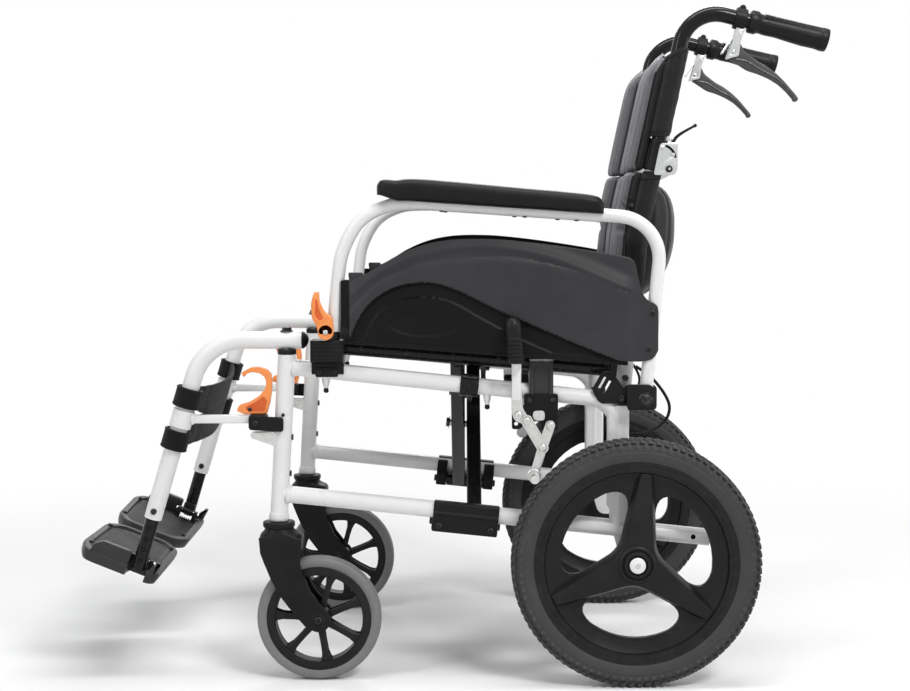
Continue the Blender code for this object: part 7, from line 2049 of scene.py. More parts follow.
def calf_strap(s, side):
    """Half of the elastic calf strap: two loops round the hanger and the band that sags to the middle."""
    y = s * FRAME_Y
    out = Vector((-DOWN.z, 0, DOWN.x))
    middle = Vector((hanger_x(0.380), y, 0.380))
    half, split = 0.046, 0.017
    loop_r = HANGER_R + 0.0042
    piece = Piece("calf_strap_" + side)
    for d in (-1, 1):
        tall = half - split
        centre = middle + DOWN * (d * (half + split) / 2)
        round_path = [centre + (out * math.cos(math.tau * k / 48) + Y * math.sin(math.tau * k / 48)) * loop_r
                      for k in range(48)]
        piece.add(swept(round_path, rounded_box(tall, 0.0042, 0.0016, 4), side=DOWN, loop=True), WEBBING)
        for edge in (-1, 1):
            hem = [p + DOWN * (edge * (tall / 2 - 0.0022)) + (p - centre).normalized() * 0.0019
                   for p in round_path]
            piece.add(swept(hem, circle(0.0010, 8), side=DOWN, loop=True), WEBBING)
        rings = []
        band_y = abs(y) - HANGER_R - 0.0030
        for k in range(41):
            t = k / 40
            b = GAP + (band_y - GAP) * (1 - t)
            sag = 0.024 * math.sin(math.pi / 2 * t) ** 0.8
            near = 0.0006 if t > 0.42 else 0.0006 + (split - 0.0006) * (1 - step_between(t, 0.0, 0.42))
            far = half - 0.0016 * math.sin(math.pi * t)
            ripple = 0.0012 * math.sin(t * 31) * (1 - t) ** 2
            base = Vector((middle.x, s * b, middle.z)) + out * (sag + ripple)
            ring = []
            for across, thick in ([(p, -1) for p in spread(near, far, 12)]
                                  + [(p, 1) for p in spread(far, near, 12)]):
                edge = min(across - near, far - across)
                swell = 0.0021 - 0.0008 * (1 - step_between(edge, 0.0, 0.0016)) + 0.0005 * (
                    1 - step_between(abs(edge - 0.003), 0.0, 0.0014))
                ring.append(base + DOWN * (d * across) + out * (thick * swell))
            rings.append(ring)
        piece.add(loft(rings), WEBBING)
    tab_y = s * (FRAME_Y - HANGER_R - 0.0200)
    tab = middle + Vector((0, tab_y - y, 0)) + out * 0.0062
    rings = []
    for k in range(13):
        t = k / 12
        wave = 0.0009 * math.sin(t * 19)
        rings.append([tab + DOWN * (t * 0.084 - 0.042) + Y * a + out * (b + wave)
                      for a, b in rounded_box(0.026, 0.0024, 0.0009, 3)])
    piece.add(loft(rings), SMOOTH_CLOTH)
    made = piece.done("hanger_" + side, "webbing", "calf_strap_" + side)
    return made


# Cross brace
def cross_bar(letter, s_foot, body):
    """A square cross bar with its foot barrel, seat rail and centre bolt."""
    x = 0.0335 if letter == "a" else 0.0095
    foot = Vector((x, s_foot * BRACE_HALF, lower_z(x) - BRACE_DROP))
    s_top = -s_foot
    top = Vector((x, s_top * SEAT_RAIL_Y, seat_z(x)))
    along = (top - foot).normalized()
    paint = MATT_BLACK if letter == "a" else GLOSS_BLACK
    piece = Piece("cross_bar_" + letter)
    piece.add(swept([foot, top - along * 0.004], rounded_box(0.0214, 0.0214, 0.0032, 5), side=X), paint)
    reach = 0.048 - 0.017 - GAP
    piece.add(turned([(-reach, 0.0049), (-reach, 0.0098), (-reach + 0.0008, 0.0105),
                      (reach - 0.0008, 0.0105), (reach, 0.0098), (reach, 0.0049)],
                     rail_point(0, foot.y, -BRACE_DROP), RAIL_DIR, 44, loop=True), paint)
    rail = [Vector((p, top.y, seat_z(p))) for p in (SEAT_FRONT[0], SEAT_REAR_X)]
    piece.add(swept(rail, circle(SEAT_RAIL_R, 40)), GLOSS_BLACK)
    run = (rail[1] - rail[0]).normalized()
    for end, way in ((rail[0], -run), (rail[1], run)):
        piece.add(turned([(-0.006, 0.0), (-0.006, SEAT_RAIL_R + 0.0003), (0.0, SEAT_RAIL_R + 0.0005),
                          (0.0020, SEAT_RAIL_R - 0.0010), (0.0030, SEAT_RAIL_R - 0.004), (0.0032, 0.0)],
                         end - way * 0.0030, way, 40), BLACK_PLASTIC)
    piece.add(bead(top - along * 0.0120, along * -1, 0.0095, 0.003), paint)
    out = Vector((0, s_top, 0))
    screws = [(Vector((p, top.y + s_top * (SEAT_RAIL_R - 0.0006), seat_z(p))), out, 0.0070)
              for p in spread(-0.130, 0.200, 6)]
    piece.heads("cross", screws, BLACK_SCREW)
    rise = (seat_z(BRACE_X) - (lower_z(BRACE_X) - BRACE_DROP)) * BRACE_HALF / (BRACE_HALF + SEAT_RAIL_Y)
    centre = Vector((BRACE_X, 0, lower_z(BRACE_X) - BRACE_DROP + rise))
    if letter == "a":
        piece.add(pin(centre - RAIL_DIR * 0.030, centre + RAIL_DIR * 0.004, 0.005), STEEL)
        piece.add(turned([(0.0, 0.0), (0.0, 0.0095), (0.0010, 0.0098), (0.0011, 0.0)],
                         centre - RAIL_DIR * 0.0254, -RAIL_DIR, 32), BLACK_SCREW)
        piece.heads("hex", [(centre - RAIL_DIR * 0.0262, -RAIL_DIR, 0.0140)], BLACK_SCREW)
    bar_heads = [(foot + along * d - X * 0.0105, -X, 0.0078) for d in (0.034, 0.342)]
    piece.heads("hex", bar_heads, BLACK_SCREW)
    piece.done(body, "black_metal", "cross_bar_" + letter)


def side_link(s, side):
    """The stabiliser link: clamp sleeve on the upper rail and flat strap beside the cross bar."""
    bar_x = 0.0095 if s < 0 else 0.0335
    x = bar_x + 0.011 + 0.0075 / 2 + 0.0022
    start = Vector((x, s * FRAME_Y, upper_z(x)))
    drop = math.radians(12.5)
    toward = Vector((0, -s * math.cos(drop), -math.sin(drop)))
    bore = RAIL_R + SLIP
    piece = Piece("side_link_" + side)
    sleeve = [(-0.0130, bore), (-0.0130, bore + 0.0030), (-0.0120, bore + 0.0040), (-0.0030, bore + 0.0040),
              (-0.0020, bore + 0.0033), (0.0020, bore + 0.0033), (0.0030, bore + 0.0040),
              (0.0120, bore + 0.0040), (0.0130, bore + 0.0030), (0.0130, bore)]
    piece.add(turned(sleeve, start, RAIL_DIR, 48, loop=True), GLOSS_BLACK)
    strap = swept([start + toward * (bore + 0.001), start + toward * 0.128],
                  rounded_box(0.0075, 0.018, 0.0016, 4), side=X)
    piece.add(strap, MATT_BLACK)
    end = start + toward * 0.128
    piece.add(pin(end - X * 0.00375, end + X * 0.00375, 0.0105, 0.0012), MATT_BLACK)
    piece.heads("hex", [(end - X * 0.0036, -X, 0.0092), (end + X * 0.0036, X, 0.0092)], BLACK_SCREW)
    piece.heads("socket", [(start + Vector((0, s * (bore + 0.0036), 0)), Vector((0, s, 0)), 0.0060)],
                BLACK_SCREW)
    piece.done("link_" + side, "black_metal", "side_link_" + side)


# Handles
HANDLE_AXIS = Vector((1, 0, -HANDLE_SLOPE)).normalized()


def handle_post(s, side):
    """The folding upper cane and push handle, with its hinge cheeks and foot sleeve."""
    y = s * CANE_Y
    px, pz = BACK_PIVOT
    low = 0.7326
    route = bent([(upper_cane_x(low), y, low), (HANDLE_CORNER[0], y, HANDLE_CORNER[1]),
                  (0.5300, y, handle_z(0.5300))], 0.0515, 4)
    piece = Piece("handle_post_" + side)
    piece.add(swept(route, circle(HANDLE_R, 44)), GLOSS_BLACK)
    axis = Vector((upper_cane_x(0.777) - upper_cane_x(low), 0, 0.777 - low)).normalized()
    sleeve = [(0.0, 0.0), (0.0, 0.0132), (0.0008, 0.0139), (0.0380, 0.0139), (0.0420, 0.0142),
              (0.0446, 0.0136), (0.0452, 0.0118), (0.0452, 0.0)]
    piece.add(turned(sleeve, (upper_cane_x(low), y, low), axis, 48), BLACK_PLASTIC)
    for d in (-0.5, 0.5):
        run = [Vector((upper_cane_x(z) - 0.0138 * math.cos(d), y + s * 0.0138 * math.sin(d), z))
               for z in (0.7380, 0.7720)]
        piece.add(swept(run, rounded_box(0.0022, 0.0030, 0.0009, 3)), BLACK_PLASTIC)
    cheek = rounded([(cane_x(0.744), 0.7440), (px - 0.010, pz + 0.0035), (px - 0.006, pz - 0.008),
                     (px + 0.006, pz - 0.008), (px + 0.014, 0.772), (cane_x(0.772), 0.775)], 0.004, 5)
    slot = [(px + 0.0110 + 0.0240 * math.cos(math.radians(a)) - 0.024,
             pz + 0.012 + 0.024 * math.sin(math.radians(a))) for a in range(10, 71, 10)]
    slot += [(px + 0.0110 + 0.0205 * math.cos(math.radians(a)) - 0.024,
              pz + 0.012 + 0.0205 * math.sin(math.radians(a))) for a in range(70, 9, -10)]
    outer = rounded([(upper_cane_x(0.771) + 0.0010, 0.7716), (upper_cane_x(0.727) + 0.0010, 0.7262),
                     (px + 0.0075, 0.7262), (px + 0.0120, 0.7340), (px + 0.0120, 0.7716)], 0.0045, 5)
    for d in (-1, 1):
        holes = [round_hole((px, pz), 0.0044, 20), round_hole((0.3170, 0.7546), 0.0034, 18)]
        piece.add(pierced(cheek, holes, y + d * 0.0025, y + d * 0.0065, 0.0007), STEEL)
        face = y + d * 0.0146
        piece.add(pierced(outer, holes, y + d * 0.0128, face, 0.0005), STEEL)
        # Painted shade: a near-black sheet on the cheek stands for the shade in the slot.
        piece.add(plate(slot, face - d * 0.0002, face + d * 0.0003, 0.0001, 1), HOLE_PAINTED_SHADE)
        spot = Vector((upper_cane_x(0.7640) + 0.0050, face - d * 0.0002, 0.7655))
        piece.heads("rivet", [(spot, Y * d, 0.0072)], STEEL)
        piece.add(pin((px + 0.0080, y + d * 0.0060, 0.7690), (px + 0.0080, y + d * 0.0135, 0.7690), 0.0024),
                  STEEL)
    piece.add(plate(rounded([(px - 0.004, 0.7740), (px + 0.002, 0.7740), (px + 0.0015, 0.7815),
                             (px - 0.0035, 0.7815)], 0.0012), y - 0.0064, y - 0.0040, 0.0004), STEEL)
    piece.add(plate(rounded([(px + 0.004, 0.7720), (px + 0.009, 0.7720), (px + 0.0085, 0.7790),
                             (px + 0.0045, 0.7790)], 0.0012), y + 0.0040, y + 0.0064, 0.0004), STEEL)
    piece.done("back_" + side, "black_cane", "handle_post_" + side)


def back_release(s, side):
    """The thin thumb lever of the back's folding joint."""
    y = s * CANE_Y
    x, z = 0.3170, 0.7546
    piece = Piece("back_release_" + side)
    piece.add(pin((x, y - 0.0019, z), (x, y + 0.0019, z), 0.0055, 0.0006), BLACK_PLASTIC)
    blade = flowing([(x, y, z), (x + 0.0015, y, z + 0.018), (x + 0.010, y, z + 0.029),
                     (x + 0.0325, y, z + 0.042)], 8)
    piece.add(swept(blade, rounded_box(0.0038, 0.0046, 0.0016, 4),
                    scale=lambda t: 1.0 - 0.25 * step_between(t, 0.5, 1.0)), BLACK_PLASTIC)
    piece.add(turned([(-0.003, 0.0), (-0.003, 0.0016), (0.0, 0.0026), (0.0022, 0.0020), (0.003, 0.0)],
                     blade[-1], blade[-1] - blade[-2], 20), BLACK_PLASTIC)
    piece.add(pin((x, y - 0.0150, z), (x, y + 0.0150, z), 0.003), STEEL)
    piece.done("release_" + side, "black_plastic", "back_release_" + side)


def hand_grip(s, side):
    """The moulded push grip: collar, ribbed back, parting line and closed end."""
    y = s * CANE_Y
    start = Vector((GRIP_START_X, y, handle_z(GRIP_START_X)))
    long = (GRIP_END_X - GRIP_START_X) / HANDLE_AXIS.x
    up = Vector((-HANDLE_AXIS.z, 0, HANDLE_AXIS.x))
    rings = []
    stations = [(0.0, 0.0112), (0.0, 0.0150), (0.0008, 0.0162), (0.0024, 0.0166), (0.0100, 0.0166),
                (0.0120, 0.0160), (0.0140, 0.0143), (0.0180, 0.0138), (0.0240, 0.0140), (0.0400, 0.0146),
                (0.0600, 0.0152), (0.0800, 0.0156), (0.0980, 0.0160), (long - 0.0110, 0.0162),
                (long - 0.0100, 0.0166), (long - 0.0020, 0.0165), (long - 0.0006, 0.0156), (long, 0.0136),
                (long, 0.0050)]
    for along, radius in stations:
        ring = []
        for k in range(48):
            angle = math.tau * k / 48
            c, d = math.cos(angle), math.sin(angle)
            finger = 0.0
            if d < 0 and 0.02 < along < 0.1:
                finger = 0.0007 * math.sin((along - 0.02) / 0.08 * math.tau * 3.0) * -d
            ring.append(start + HANDLE_AXIS * along + Y * (radius * 0.97 * c) + up * ((radius + finger) * d))
        rings.append(ring)
    piece = Piece("hand_grip_" + side)
    piece.add(loft(rings), GRIP_RUBBER)
    arc = [(math.cos(math.radians(a)), math.sin(math.radians(a))) for a in range(28, 153, 12)]
    rib = loft([[HANDLE_AXIS * t + Y * (r * 0.97 * c) + up * (r * d) for c, d in arc]
                + [HANDLE_AXIS * t + Y * (0.0118 * c) + up * (0.0118 * d) for c, d in arc[::-1]]
                for t, r in ((-0.0011, 0.0150), (-0.0005, 0.0160), (0.0005, 0.0160), (0.0011, 0.0150))])
    piece.add(ribs(rib, GRIP_RUBBER, 25, start + HANDLE_AXIS * 0.0215, HANDLE_AXIS * 0.00305), GRIP_RUBBER)
    for d in (-1, 1):
        line = [start + HANDLE_AXIS * t + Y * (d * (r * 0.97 - 0.0001)) for t, r in stations[8:15]]
        piece.add(swept(line, circle(0.0005, 8)), GRIP_RUBBER)
    piece.done("back_" + side, "black_plastic", "hand_grip_" + side)


def brake_bracket(s, side):
    """The attendant brake's clamp and its flag bracket."""
    y = s * CANE_Y
    px, pz = 0.4020, 0.9000
    start = Vector((0.4045, y, handle_z(0.4045)))
    piece = Piece("brake_bracket_" + side)
    clamp = [(0.0, 0.0112), (0.0, 0.0146), (0.0012, 0.0156), (0.0148, 0.0156), (0.0160, 0.0146),
             (0.0160, 0.0112)]
    piece.add(turned(clamp, start, HANDLE_AXIS, 48, loop=True), BLACK_PLASTIC)
    up = Vector((-HANDLE_AXIS.z, 0, HANDLE_AXIS.x))
    seat = start + HANDLE_AXIS * 0.008 + up * 0.0138
    piece.add(disc(seat, up, 0.0042, 0.0048, 0.0008), BLACK_PLASTIC)
    piece.heads("socket", [(seat + up * 0.0040, up, 0.0066)], BLACK_SCREW)
    outline = rounded([(px - 0.010, pz - 0.010), (px + 0.008, pz - 0.006), (px + 0.0105, pz + 0.0150),
                       (px + 0.0165, 0.9330), (px + 0.0045, 0.9365), (px - 0.0015, pz + 0.0160)], 0.003, 5)
    for d in (-1, 1):
        piece.add(pierced(outline, [round_hole((px, pz), 0.0034, 20)], y + d * 0.0038, y + d * 0.0073,
                          0.0006), STEEL)
        spots = [(Vector((px + 0.0095, y + d * 0.0070, 0.9262)), Y * d, 0.0066)]
        piece.heads("rivet", spots, WHITE_PAINT)
    flange = [(px - 0.0030, 0.9200), (px - 0.0165, 0.8985), (px - 0.0150, 0.8970), (px - 0.0010, 0.9185)]
    piece.add(plate(rounded(flange, 0.001), y - 0.0075, y + 0.0075, 0.0005), STEEL)
    piece.done("back_" + side, "zinc_plate", "brake_bracket_" + side)


def brake_lever(s, side):
    """The attendant's squeeze lever: cast, ribbed along its middle, with a rolled tip."""
    y = s * CANE_Y
    px, pz = 0.4020, 0.9000
    outline = rounded([(px - 0.006, pz - 0.009), (px - 0.005, pz + 0.008), (px + 0.010, pz + 0.014),
                       (px + 0.016, pz + 0.002), (px + 0.034, pz - 0.012), (px + 0.048, pz - 0.0195),
                       (px + 0.062, pz - 0.030), (px + 0.074, pz - 0.0415), (px + 0.083, pz - 0.052),
                       (px + 0.0925, pz - 0.063), (px + 0.0925, pz - 0.068), (px + 0.0885, pz - 0.070),
                       (px + 0.076, pz - 0.056), (px + 0.065, pz - 0.0460), (px + 0.052, pz - 0.038),
                       (px + 0.036, pz - 0.0310), (px + 0.020, pz - 0.026)], 0.004, 5)
    piece = Piece("brake_lever_" + side)
    piece.add(cut(plate(outline, y - 0.0035, y + 0.0035, 0.0013, 3),
                  [pin((px, y - 0.01, pz), (px, y + 0.01, pz), 0.0031, 0.0)]), LEVER_METAL)
    spine = flowing([(px + 0.004, y, pz - 0.010), (px + 0.020, y, pz - 0.0130),
                     (px + 0.040, y, pz - 0.0250), (px + 0.062, y, pz - 0.0370),
                     (px + 0.078, y, pz - 0.0515), (px + 0.0895, y, pz - 0.0662)], 6)
    for d in (-1, 1):
        ridge = [p + Y * (d * 0.0033) for p in spine]
        piece.add(swept(ridge, circle(0.0016, 10), scale=lambda t: 1.1 - 0.5 * t), LEVER_METAL)
    piece.add(pin((px + 0.0893, y - 0.0046, pz - 0.0662), (px + 0.0893, y + 0.0046, pz - 0.0662), 0.0040,
                  0.0014), LEVER_METAL)
    piece.add(pin((px, y - 0.0073, pz), (px, y + 0.0073, pz), 0.003), STEEL)
    for d in (-1, 1):
        piece.heads("rivet", [(Vector((px, y + d * 0.0071, pz)), Y * d, 0.0070)], STEEL)
    piece.done("hand_brake_" + side, "lever_metal", "brake_lever_" + side)


# Soft goods
def inflated(body, voxel, cap, held):
    """A sewn shell filled with foam: cloth blown up a little, each point moving no further than cap.

    held(co) says how firmly a point is sewn down, from 0 to 1.
    """
    made = linked("pad", as_mesh(body))
    remesh = made.modifiers.new("even cloth", "REMESH")
    remesh.mode = "VOXEL"
    remesh.voxel_size = voxel
    mesh = plain_mesh(made)
    rest = [v.co.copy() for v in mesh.vertices]
    made = linked("pad", mesh)
    sewn = made.vertex_groups.new(name="sewn")
    for index, co in enumerate(rest):
        sewn.add([index], held(co), "REPLACE")
    cloth = made.modifiers.new("fill", "CLOTH")
    cloth.settings.quality = 4
    cloth.settings.mass = 0.15
    cloth.settings.use_pressure = True
    cloth.settings.uniform_pressure_force = 4.0
    cloth.settings.vertex_group_mass = "sewn"
    cloth.settings.effector_weights.gravity = 0.0
    cloth.settings.tension_stiffness = 12.0
    cloth.settings.compression_stiffness = 12.0
    cloth.settings.bending_stiffness = 0.6
    scene = bpy.context.scene
    for frame_number in range(1, 21):
        scene.frame_set(frame_number)
    ready = made.evaluated_get(bpy.context.evaluated_depsgraph_get())
    blown = [v.co.copy() for v in ready.data.vertices]
    scene.frame_set(1)
    made.modifiers.remove(cloth)
    mesh = made.data
    bpy.data.objects.remove(made)
    for vert, start, end in zip(mesh.vertices, rest, blown):
        move = end - start
        vert.co = start + move * min(1.0, cap / max(move.length, 1e-9))
    made = linked("pad", mesh)
    finer = made.modifiers.new("finer", "SUBSURF")
    finer.levels = finer.render_levels = 1
    bm = bmesh.new()
    bm.from_mesh(plain_mesh(made))
    return bm


def pressed(bm, shift):
    """Move every point of a shell along its own normal by shift(co, normal)."""
    bm.normal_update()
    for vert, move in [(v, v.normal * shift(v.co, v.normal)) for v in bm.verts]:
        vert.co += move
    return bm


def laid_on(bm, points, lift=0.0):
    """Drop a line of points onto the nearest part of a shell."""
    tree = BVHTree.FromBMesh(bm)
    laid = []
    for point in points:
        spot, normal, _, _ = tree.find_nearest(Vector(point))
        laid.append(spot + normal * lift)
    return laid


PAD_FACE = 0.0135
PAD_WRAP = 0.014
PAD_CENTRE = 0.0255
PAD_BOLSTER = 0.0295
PAD_SEAM_Y = 0.086


def pad_front(y, z):
    """How far the back pad's front stands before the canes: flat middle, seam, bolster, pulled-in side."""
    bolster = PAD_BOLSTER + 0.0070 * step_between(z, 0.653, 0.697)
    front = PAD_CENTRE + (bolster - PAD_CENTRE) * step_between(y, PAD_SEAM_Y, 0.121)
    seam = 0.003 * math.exp(-((y - PAD_SEAM_Y) / 0.007) ** 2)
    return front - seam - 0.009 * step_between(y, 0.1732, 0.2047)


def pouch(y, z):
    """How far the lower pad's back stands before the canes; the lumbar pouch hangs well behind them."""
    flat = PAD_FACE - 0.004 * (1 - step_between(y, 0.150, 0.172))
    up = max(0.0, min(1.0, (z - 0.545) / (0.718 - 0.545)))
    over = max(0.0, min(1.0, y / 0.180))
    return flat - 0.075 * math.sin(math.pi * over) ** 0.5 * math.sin(math.pi * up) ** 0.3


def end_round(far, radius, least):
    """The share of its thickness that a pad keeps near a rounded end."""
    share = 1 - min(max(far, 0.0), radius) / radius
    return max(least, math.sqrt(max(0.0, 1 - share * share)))


def back_half(s, part, side):
    """One quarter of the back: foam pad, cloth sleeve round the cane, seams and piping."""
    lower = part == "lower"
    centre = cane_x if lower else upper_cane_x
    low, top = (0.4715, 0.7309) if lower else (0.7331, 0.9110)

    def at(n, y, z):
        """A point n before the cane, at |y|."""
        return Vector((centre(z) - n, s * y, z))

    rings = []
    for z in spread(low, top, 44):
        keep = end_round(z - low, 0.022 if lower else 0.004, 0.35 if lower else 0.90)
        keep *= end_round(top - z, 0.004 if lower else 0.040, 0.90 if lower else 0.30)
        droop = 0.0 if lower else step_between(z, top - 0.06, top)
        ring = []
        for y in [0.0014] + spread(0.006, 0.196, 32) + [0.2010, 0.2038]:
            n = PAD_FACE + (pad_front(y, z) - PAD_FACE - 0.0020) * keep
            ring.append(at(n, y, z - droop * (0.009 + 0.012 * step_between(y, 0.165, 0.2072))))
        ring.append(at(PAD_FACE + 0.0040, 0.2050, z - droop * 0.021))
        ring.append(at(PAD_FACE + 0.0012, 0.2042, z - droop * 0.021))
        for y in spread(0.196, 0.006, 26) + [0.0014]:
            n = pouch(y, z) + 0.0020 if lower else PAD_FACE - 0.0020
            n = PAD_FACE + 0.0010 if y > 0.170 else n
            ring.append(at(min(n, PAD_FACE + 0.0010), y, z - droop * 0.014))
        rings.append(ring)

    def held(co):
        """Sewn along the middle fold, the seam, the side welt and the back board."""
        y = abs(co.y)
        n = centre(co.z) - co.x
        if n < 0.012 and not lower:
            return 1.0
        near = min(abs(y - PAD_SEAM_Y), abs(y - 0.0014), abs(y - 0.196) + 0.002)
        return max(0.0, 1.0 - near / 0.008)

    body = inflated(loft(rings), 0.0050, 0.0045, held)

    def sewn(co, normal):
        """Seam, long creases and the wrinkled corner above the flat lower part."""
        y = abs(co.y)
        n = centre(co.z) - co.x
        if n < PAD_FACE + 0.001:
            if lower and n < 0.004:
                fold = sum(math.exp(-((y - at_y) / 0.004) ** 2) for at_y in (0.045, 0.092, 0.139))
                return -0.0022 * fold * step_between(-n, 0.004, 0.03)
            return 0.0
        wave = 0.0018 * math.sin(co.z * 47 + 0.6)
        shift = -0.0026 * math.exp(-((y - PAD_SEAM_Y) / 0.0034) ** 2)
        for at_y, deep, wide in ((0.112, 0.0004, 0.0034), (0.139, 0.0007, 0.0030), (0.158, 0.0006, 0.0026),
                                 (0.173, 0.0009, 0.0032)):
            shift -= deep * math.exp(-((y - at_y - wave) / wide) ** 2)
        if lower:
            close = step_between(0.030 - abs(co.z - 0.675), 0.0, 0.030) * step_between(y, 0.125, 0.165)
            shift += close * 0.0019 * math.sin((co.z + 0.35 * y) * 520)
            shift -= 0.0022 * math.exp(-((co.z - 0.648) / 0.0045) ** 2) * step_between(y, 0.120, 0.150)
        return shift

    pressed(body, sewn)
    lines = [0.45, 0.62, 0.65, 0.68, 0.76] if lower else [0.71, 0.95]
    bore = swept([(centre(z), s * CANE_Y, z) for z in lines],
                 circle(CANE_R + 0.0008 if lower else 0.0134, 28))
    seam_z = spread(low + 0.008, top - (0.004 if lower else 0.030), 46)
    seam = laid_on(body, [at(0.032, PAD_SEAM_Y, z) for z in seam_z], 0.0002)
    rows = [laid_on(body, [at(0.032, PAD_SEAM_Y + d, z) for z in seam_z], 0.0003) for d in (-0.0042, 0.0042)]
    welt = laid_on(body, [at(0.0300, 0.1990, z - (0.0 if lower else 0.014 * step_between(z, top - 0.06, top)))
                          for z in seam_z], 0.0004)
    outline = laid_on(body, [at(PAD_FACE + 0.004, y, top - 0.002) for y in spread(0.010, 0.196, 40)], 0.0003)
    body = cut(body, [bore])
    cover = SATIN_CLOTH

    def cloth(face):
        """Mesh behind, satin in front, coated cloth down the side."""
        spot = face.calc_center_median()
        y = abs(spot.y)
        n = centre(spot.z) - spot.x
        if n < PAD_FACE + 0.0015:
            return SMOOTH_CLOTH if lower and n < 0.0 else SPACER_CLOTH
        if y > 0.1965:
            return SMOOTH_CLOTH
        return None

    piece = Piece("back_pad_%s_%s" % (part, side), 60)
    piece.add(body, cover, cloth)
    for line in ([welt] + ([outline] if not lower else [])):
        piece.add(swept(line, circle(0.0011, 10)), SMOOTH_CLOTH)
    piece.add(swept(seam, circle(0.0006, 8)), SMOOTH_CLOTH)
    for row in rows:
        piece.add(stitched(row, SATIN_CLOTH), SATIN_CLOTH)

    sleeve_z = spread(0.4725, 0.7288, 67) if lower else spread(0.7815, 0.9060, 40)
    sleeve = []
    for k, z in enumerate(sleeve_z):
        ends = min(k, len(sleeve_z) - 1 - k)
        grow = ((-0.0010, -0.0002)[ends] if ends < 2
                else 0.0003 * math.sin(z * 130) + 0.0002 * math.sin(z * 311))
        slant = 0.0 if lower else -0.012 * step_between(z, 0.87, 0.906)
        ring = []
        for j in range(56):
            angle = math.tau * j / 56
            c, d = math.cos(angle), math.sin(angle)
            fore = 0.0185 if d > 0 else PAD_WRAP
            n = (fore + grow) * d
            y = CANE_Y + (PAD_WRAP + grow) * abs(c) ** (0.8 if d > 0 else 1.0) * math.copysign(1, c)
            ring.append(at(n, y, z + slant * max(0.0, d)))
        sleeve.append(ring)
    tool = swept([(centre(z), s * CANE_Y, z) for z in lines], circle(CANE_R + 0.0006, 28))
    piece.add(cut(loft(sleeve), [tool]), HERRINGBONE_CLOTH)
    for z in (sleeve_z[2], sleeve_z[-3]):
        hem = [at((0.0187 if d > 0 else PAD_WRAP + 0.0002) * d, CANE_Y + (PAD_WRAP + 0.0002)
                  * abs(c) ** (0.8 if d > 0 else 1.0) * math.copysign(1, c),
                  z + (0.0 if lower or z < 0.8 else -0.012 * max(0.0, d)))
               for c, d in [(math.cos(math.tau * j / 40), math.sin(math.tau * j / 40)) for j in range(40)]]
        piece.add(swept(hem, circle(0.0008, 8), side=Z, loop=True), SMOOTH_CLOTH)
    made = piece.done("pad_%s_%s" % (part, side), "upholstery", "back_pad_%s_%s" % (part, side))


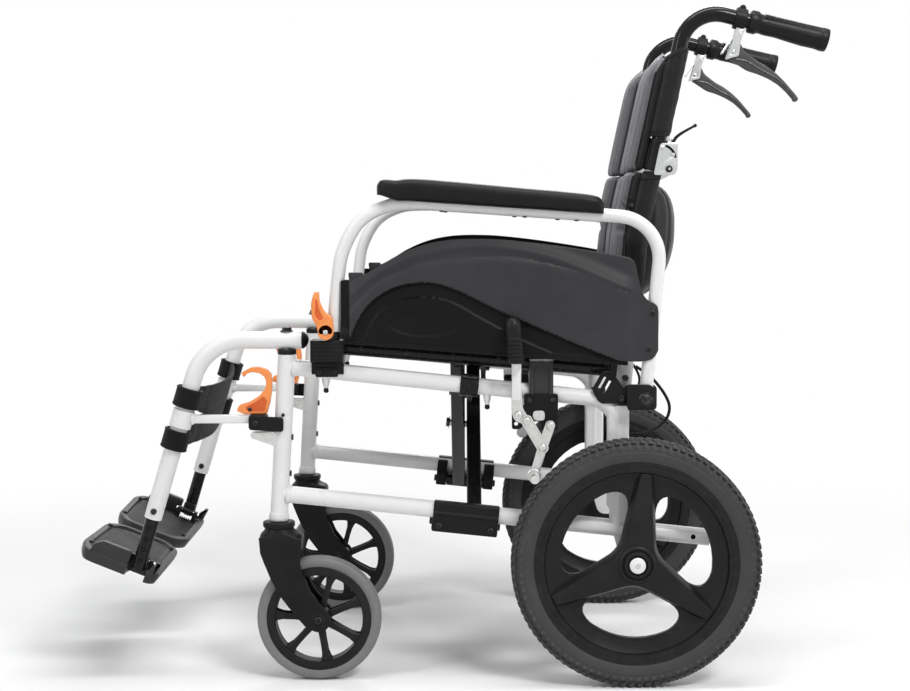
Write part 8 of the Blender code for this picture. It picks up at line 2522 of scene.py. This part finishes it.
def seat_half(s, side):
    """One half of the seat: crowned foam from rail to middle fold, sewn channels, a rolled front."""
    front, rear = -0.1625, 0.1825
    inner, outer = 0.0022, 0.1990
    rings = []
    for u in spread(0.0, 1.0, 50):
        x = front + (rear - front) * u
        crown = math.sqrt(max(0.02, 1 - abs(2 * u - 1) ** 9))
        ring = []
        points = []
        for v in spread(0.0, 1.0, 30):
            y = inner + (outer - inner) * v
            sag = 0.010 * (1 - v)
            tall = 0.017 * (0.45 + 0.55 * crown) * (0.78 + 0.22 * math.sin(math.pi * (0.5 + v / 2)))
            base = seat_z(x) + 0.0128 - sag
            points.append((y, base, base + tall * max(0.30, math.sqrt(max(0.0, 1 - abs(2 * v - 1) ** 10)))))
        ring = [Vector((x, s * y, base)) for y, base, _ in points]
        ring += [Vector((x, s * y, crest)) for y, _, crest in points[::-1]]
        rings.append(ring)
    channels = [front + (rear - front) * u for u in (0.25, 0.5, 0.75)]

    def held(co):
        """Sewn along the channels, the fold, the sides and the flat underside."""
        y = abs(co.y)
        sag = 0.010 * (1 - (y - inner) / (outer - inner))
        if co.z < seat_z(co.x) + 0.0150 - sag:
            return 1.0
        near = min([abs(co.x - c) for c in channels] + [abs(y - inner) + 0.003, abs(y - outer) + 0.003])
        return max(0.0, 1.0 - near / 0.009)

    body = inflated(loft(rings), 0.0050, 0.0040, held)

    def sewn(co, normal):
        """Channels across the seat and fine pulls beside them."""
        if normal.z < 0.2:
            return 0.0
        pull = 0.0005 * math.sin(abs(co.y) * 260)
        return sum(-0.0030 * math.exp(-((co.x - c) / 0.0040) ** 2)
                   + pull * math.exp(-((co.x - c) / 0.014) ** 2) for c in channels)

    pressed(body, sewn)
    piece = Piece("seat_pad_" + side, 60)
    ys = spread(inner + 0.008, outer - 0.006, 44)
    rows = [laid_on(body, [(c + d, s * y, seat_z(c) + 0.05) for y in ys], 0.0003) for c in channels
            for d in (-0.0046, 0.0046)]
    edge = laid_on(body, [(x, s * (outer + 0.004), seat_z(x) + 0.020)
                          for x in spread(front + 0.006, rear - 0.006, 70)], 0.0003)
    nose = laid_on(body, [(front - 0.004, s * y, seat_z(front) + 0.016) for y in ys], 0.0003)

    def cloth(face):
        """Mesh on top, coated cloth on the edges and beneath."""
        return SMOOTH_CLOTH if face.normal.z < 0.25 else None

    piece.add(body, SPACER_CLOTH, cloth)
    for line in (edge, nose):
        piece.add(swept(line, circle(0.0012, 10)), SMOOTH_CLOTH)
    for row in rows:
        piece.add(stitched(row, SATIN_CLOTH, 0.0050), SATIN_CLOTH)
    made = piece.done("seat_" + side, "upholstery", "seat_pad_" + side)


for s, side in SIDES:
    brake_cable(s, side)
    side_frame(s, side)
    arm_socket(s, side)
    back_cane(s, side)
    tyre(s, side)
    rim(s, side)
    caster_fork(s, side)
    caster_wheel(s, side)
    arm_tube(s, side)
    side_panel(s, side)
    arm_pad(s, side)
    arm_latch(s, side)
    parking_lever(s, side)
    brake_shoe(s, side)
    brake_link(s, side)
    hanger(s, side)
    hanger_latch(s, side)
    foot_tube(s, side)
    footplate(s, side)
    calf_strap(s, side)
    side_link(s, side)
    handle_post(s, side)
    back_release(s, side)
    hand_grip(s, side)
    brake_bracket(s, side)
    brake_lever(s, side)
    seat_half(s, side)
    back_half(s, "lower", side)
    back_half(s, "upper", side)
cross_bar("a", -1, "brace_a")
cross_bar("b", 1, "brace_b")
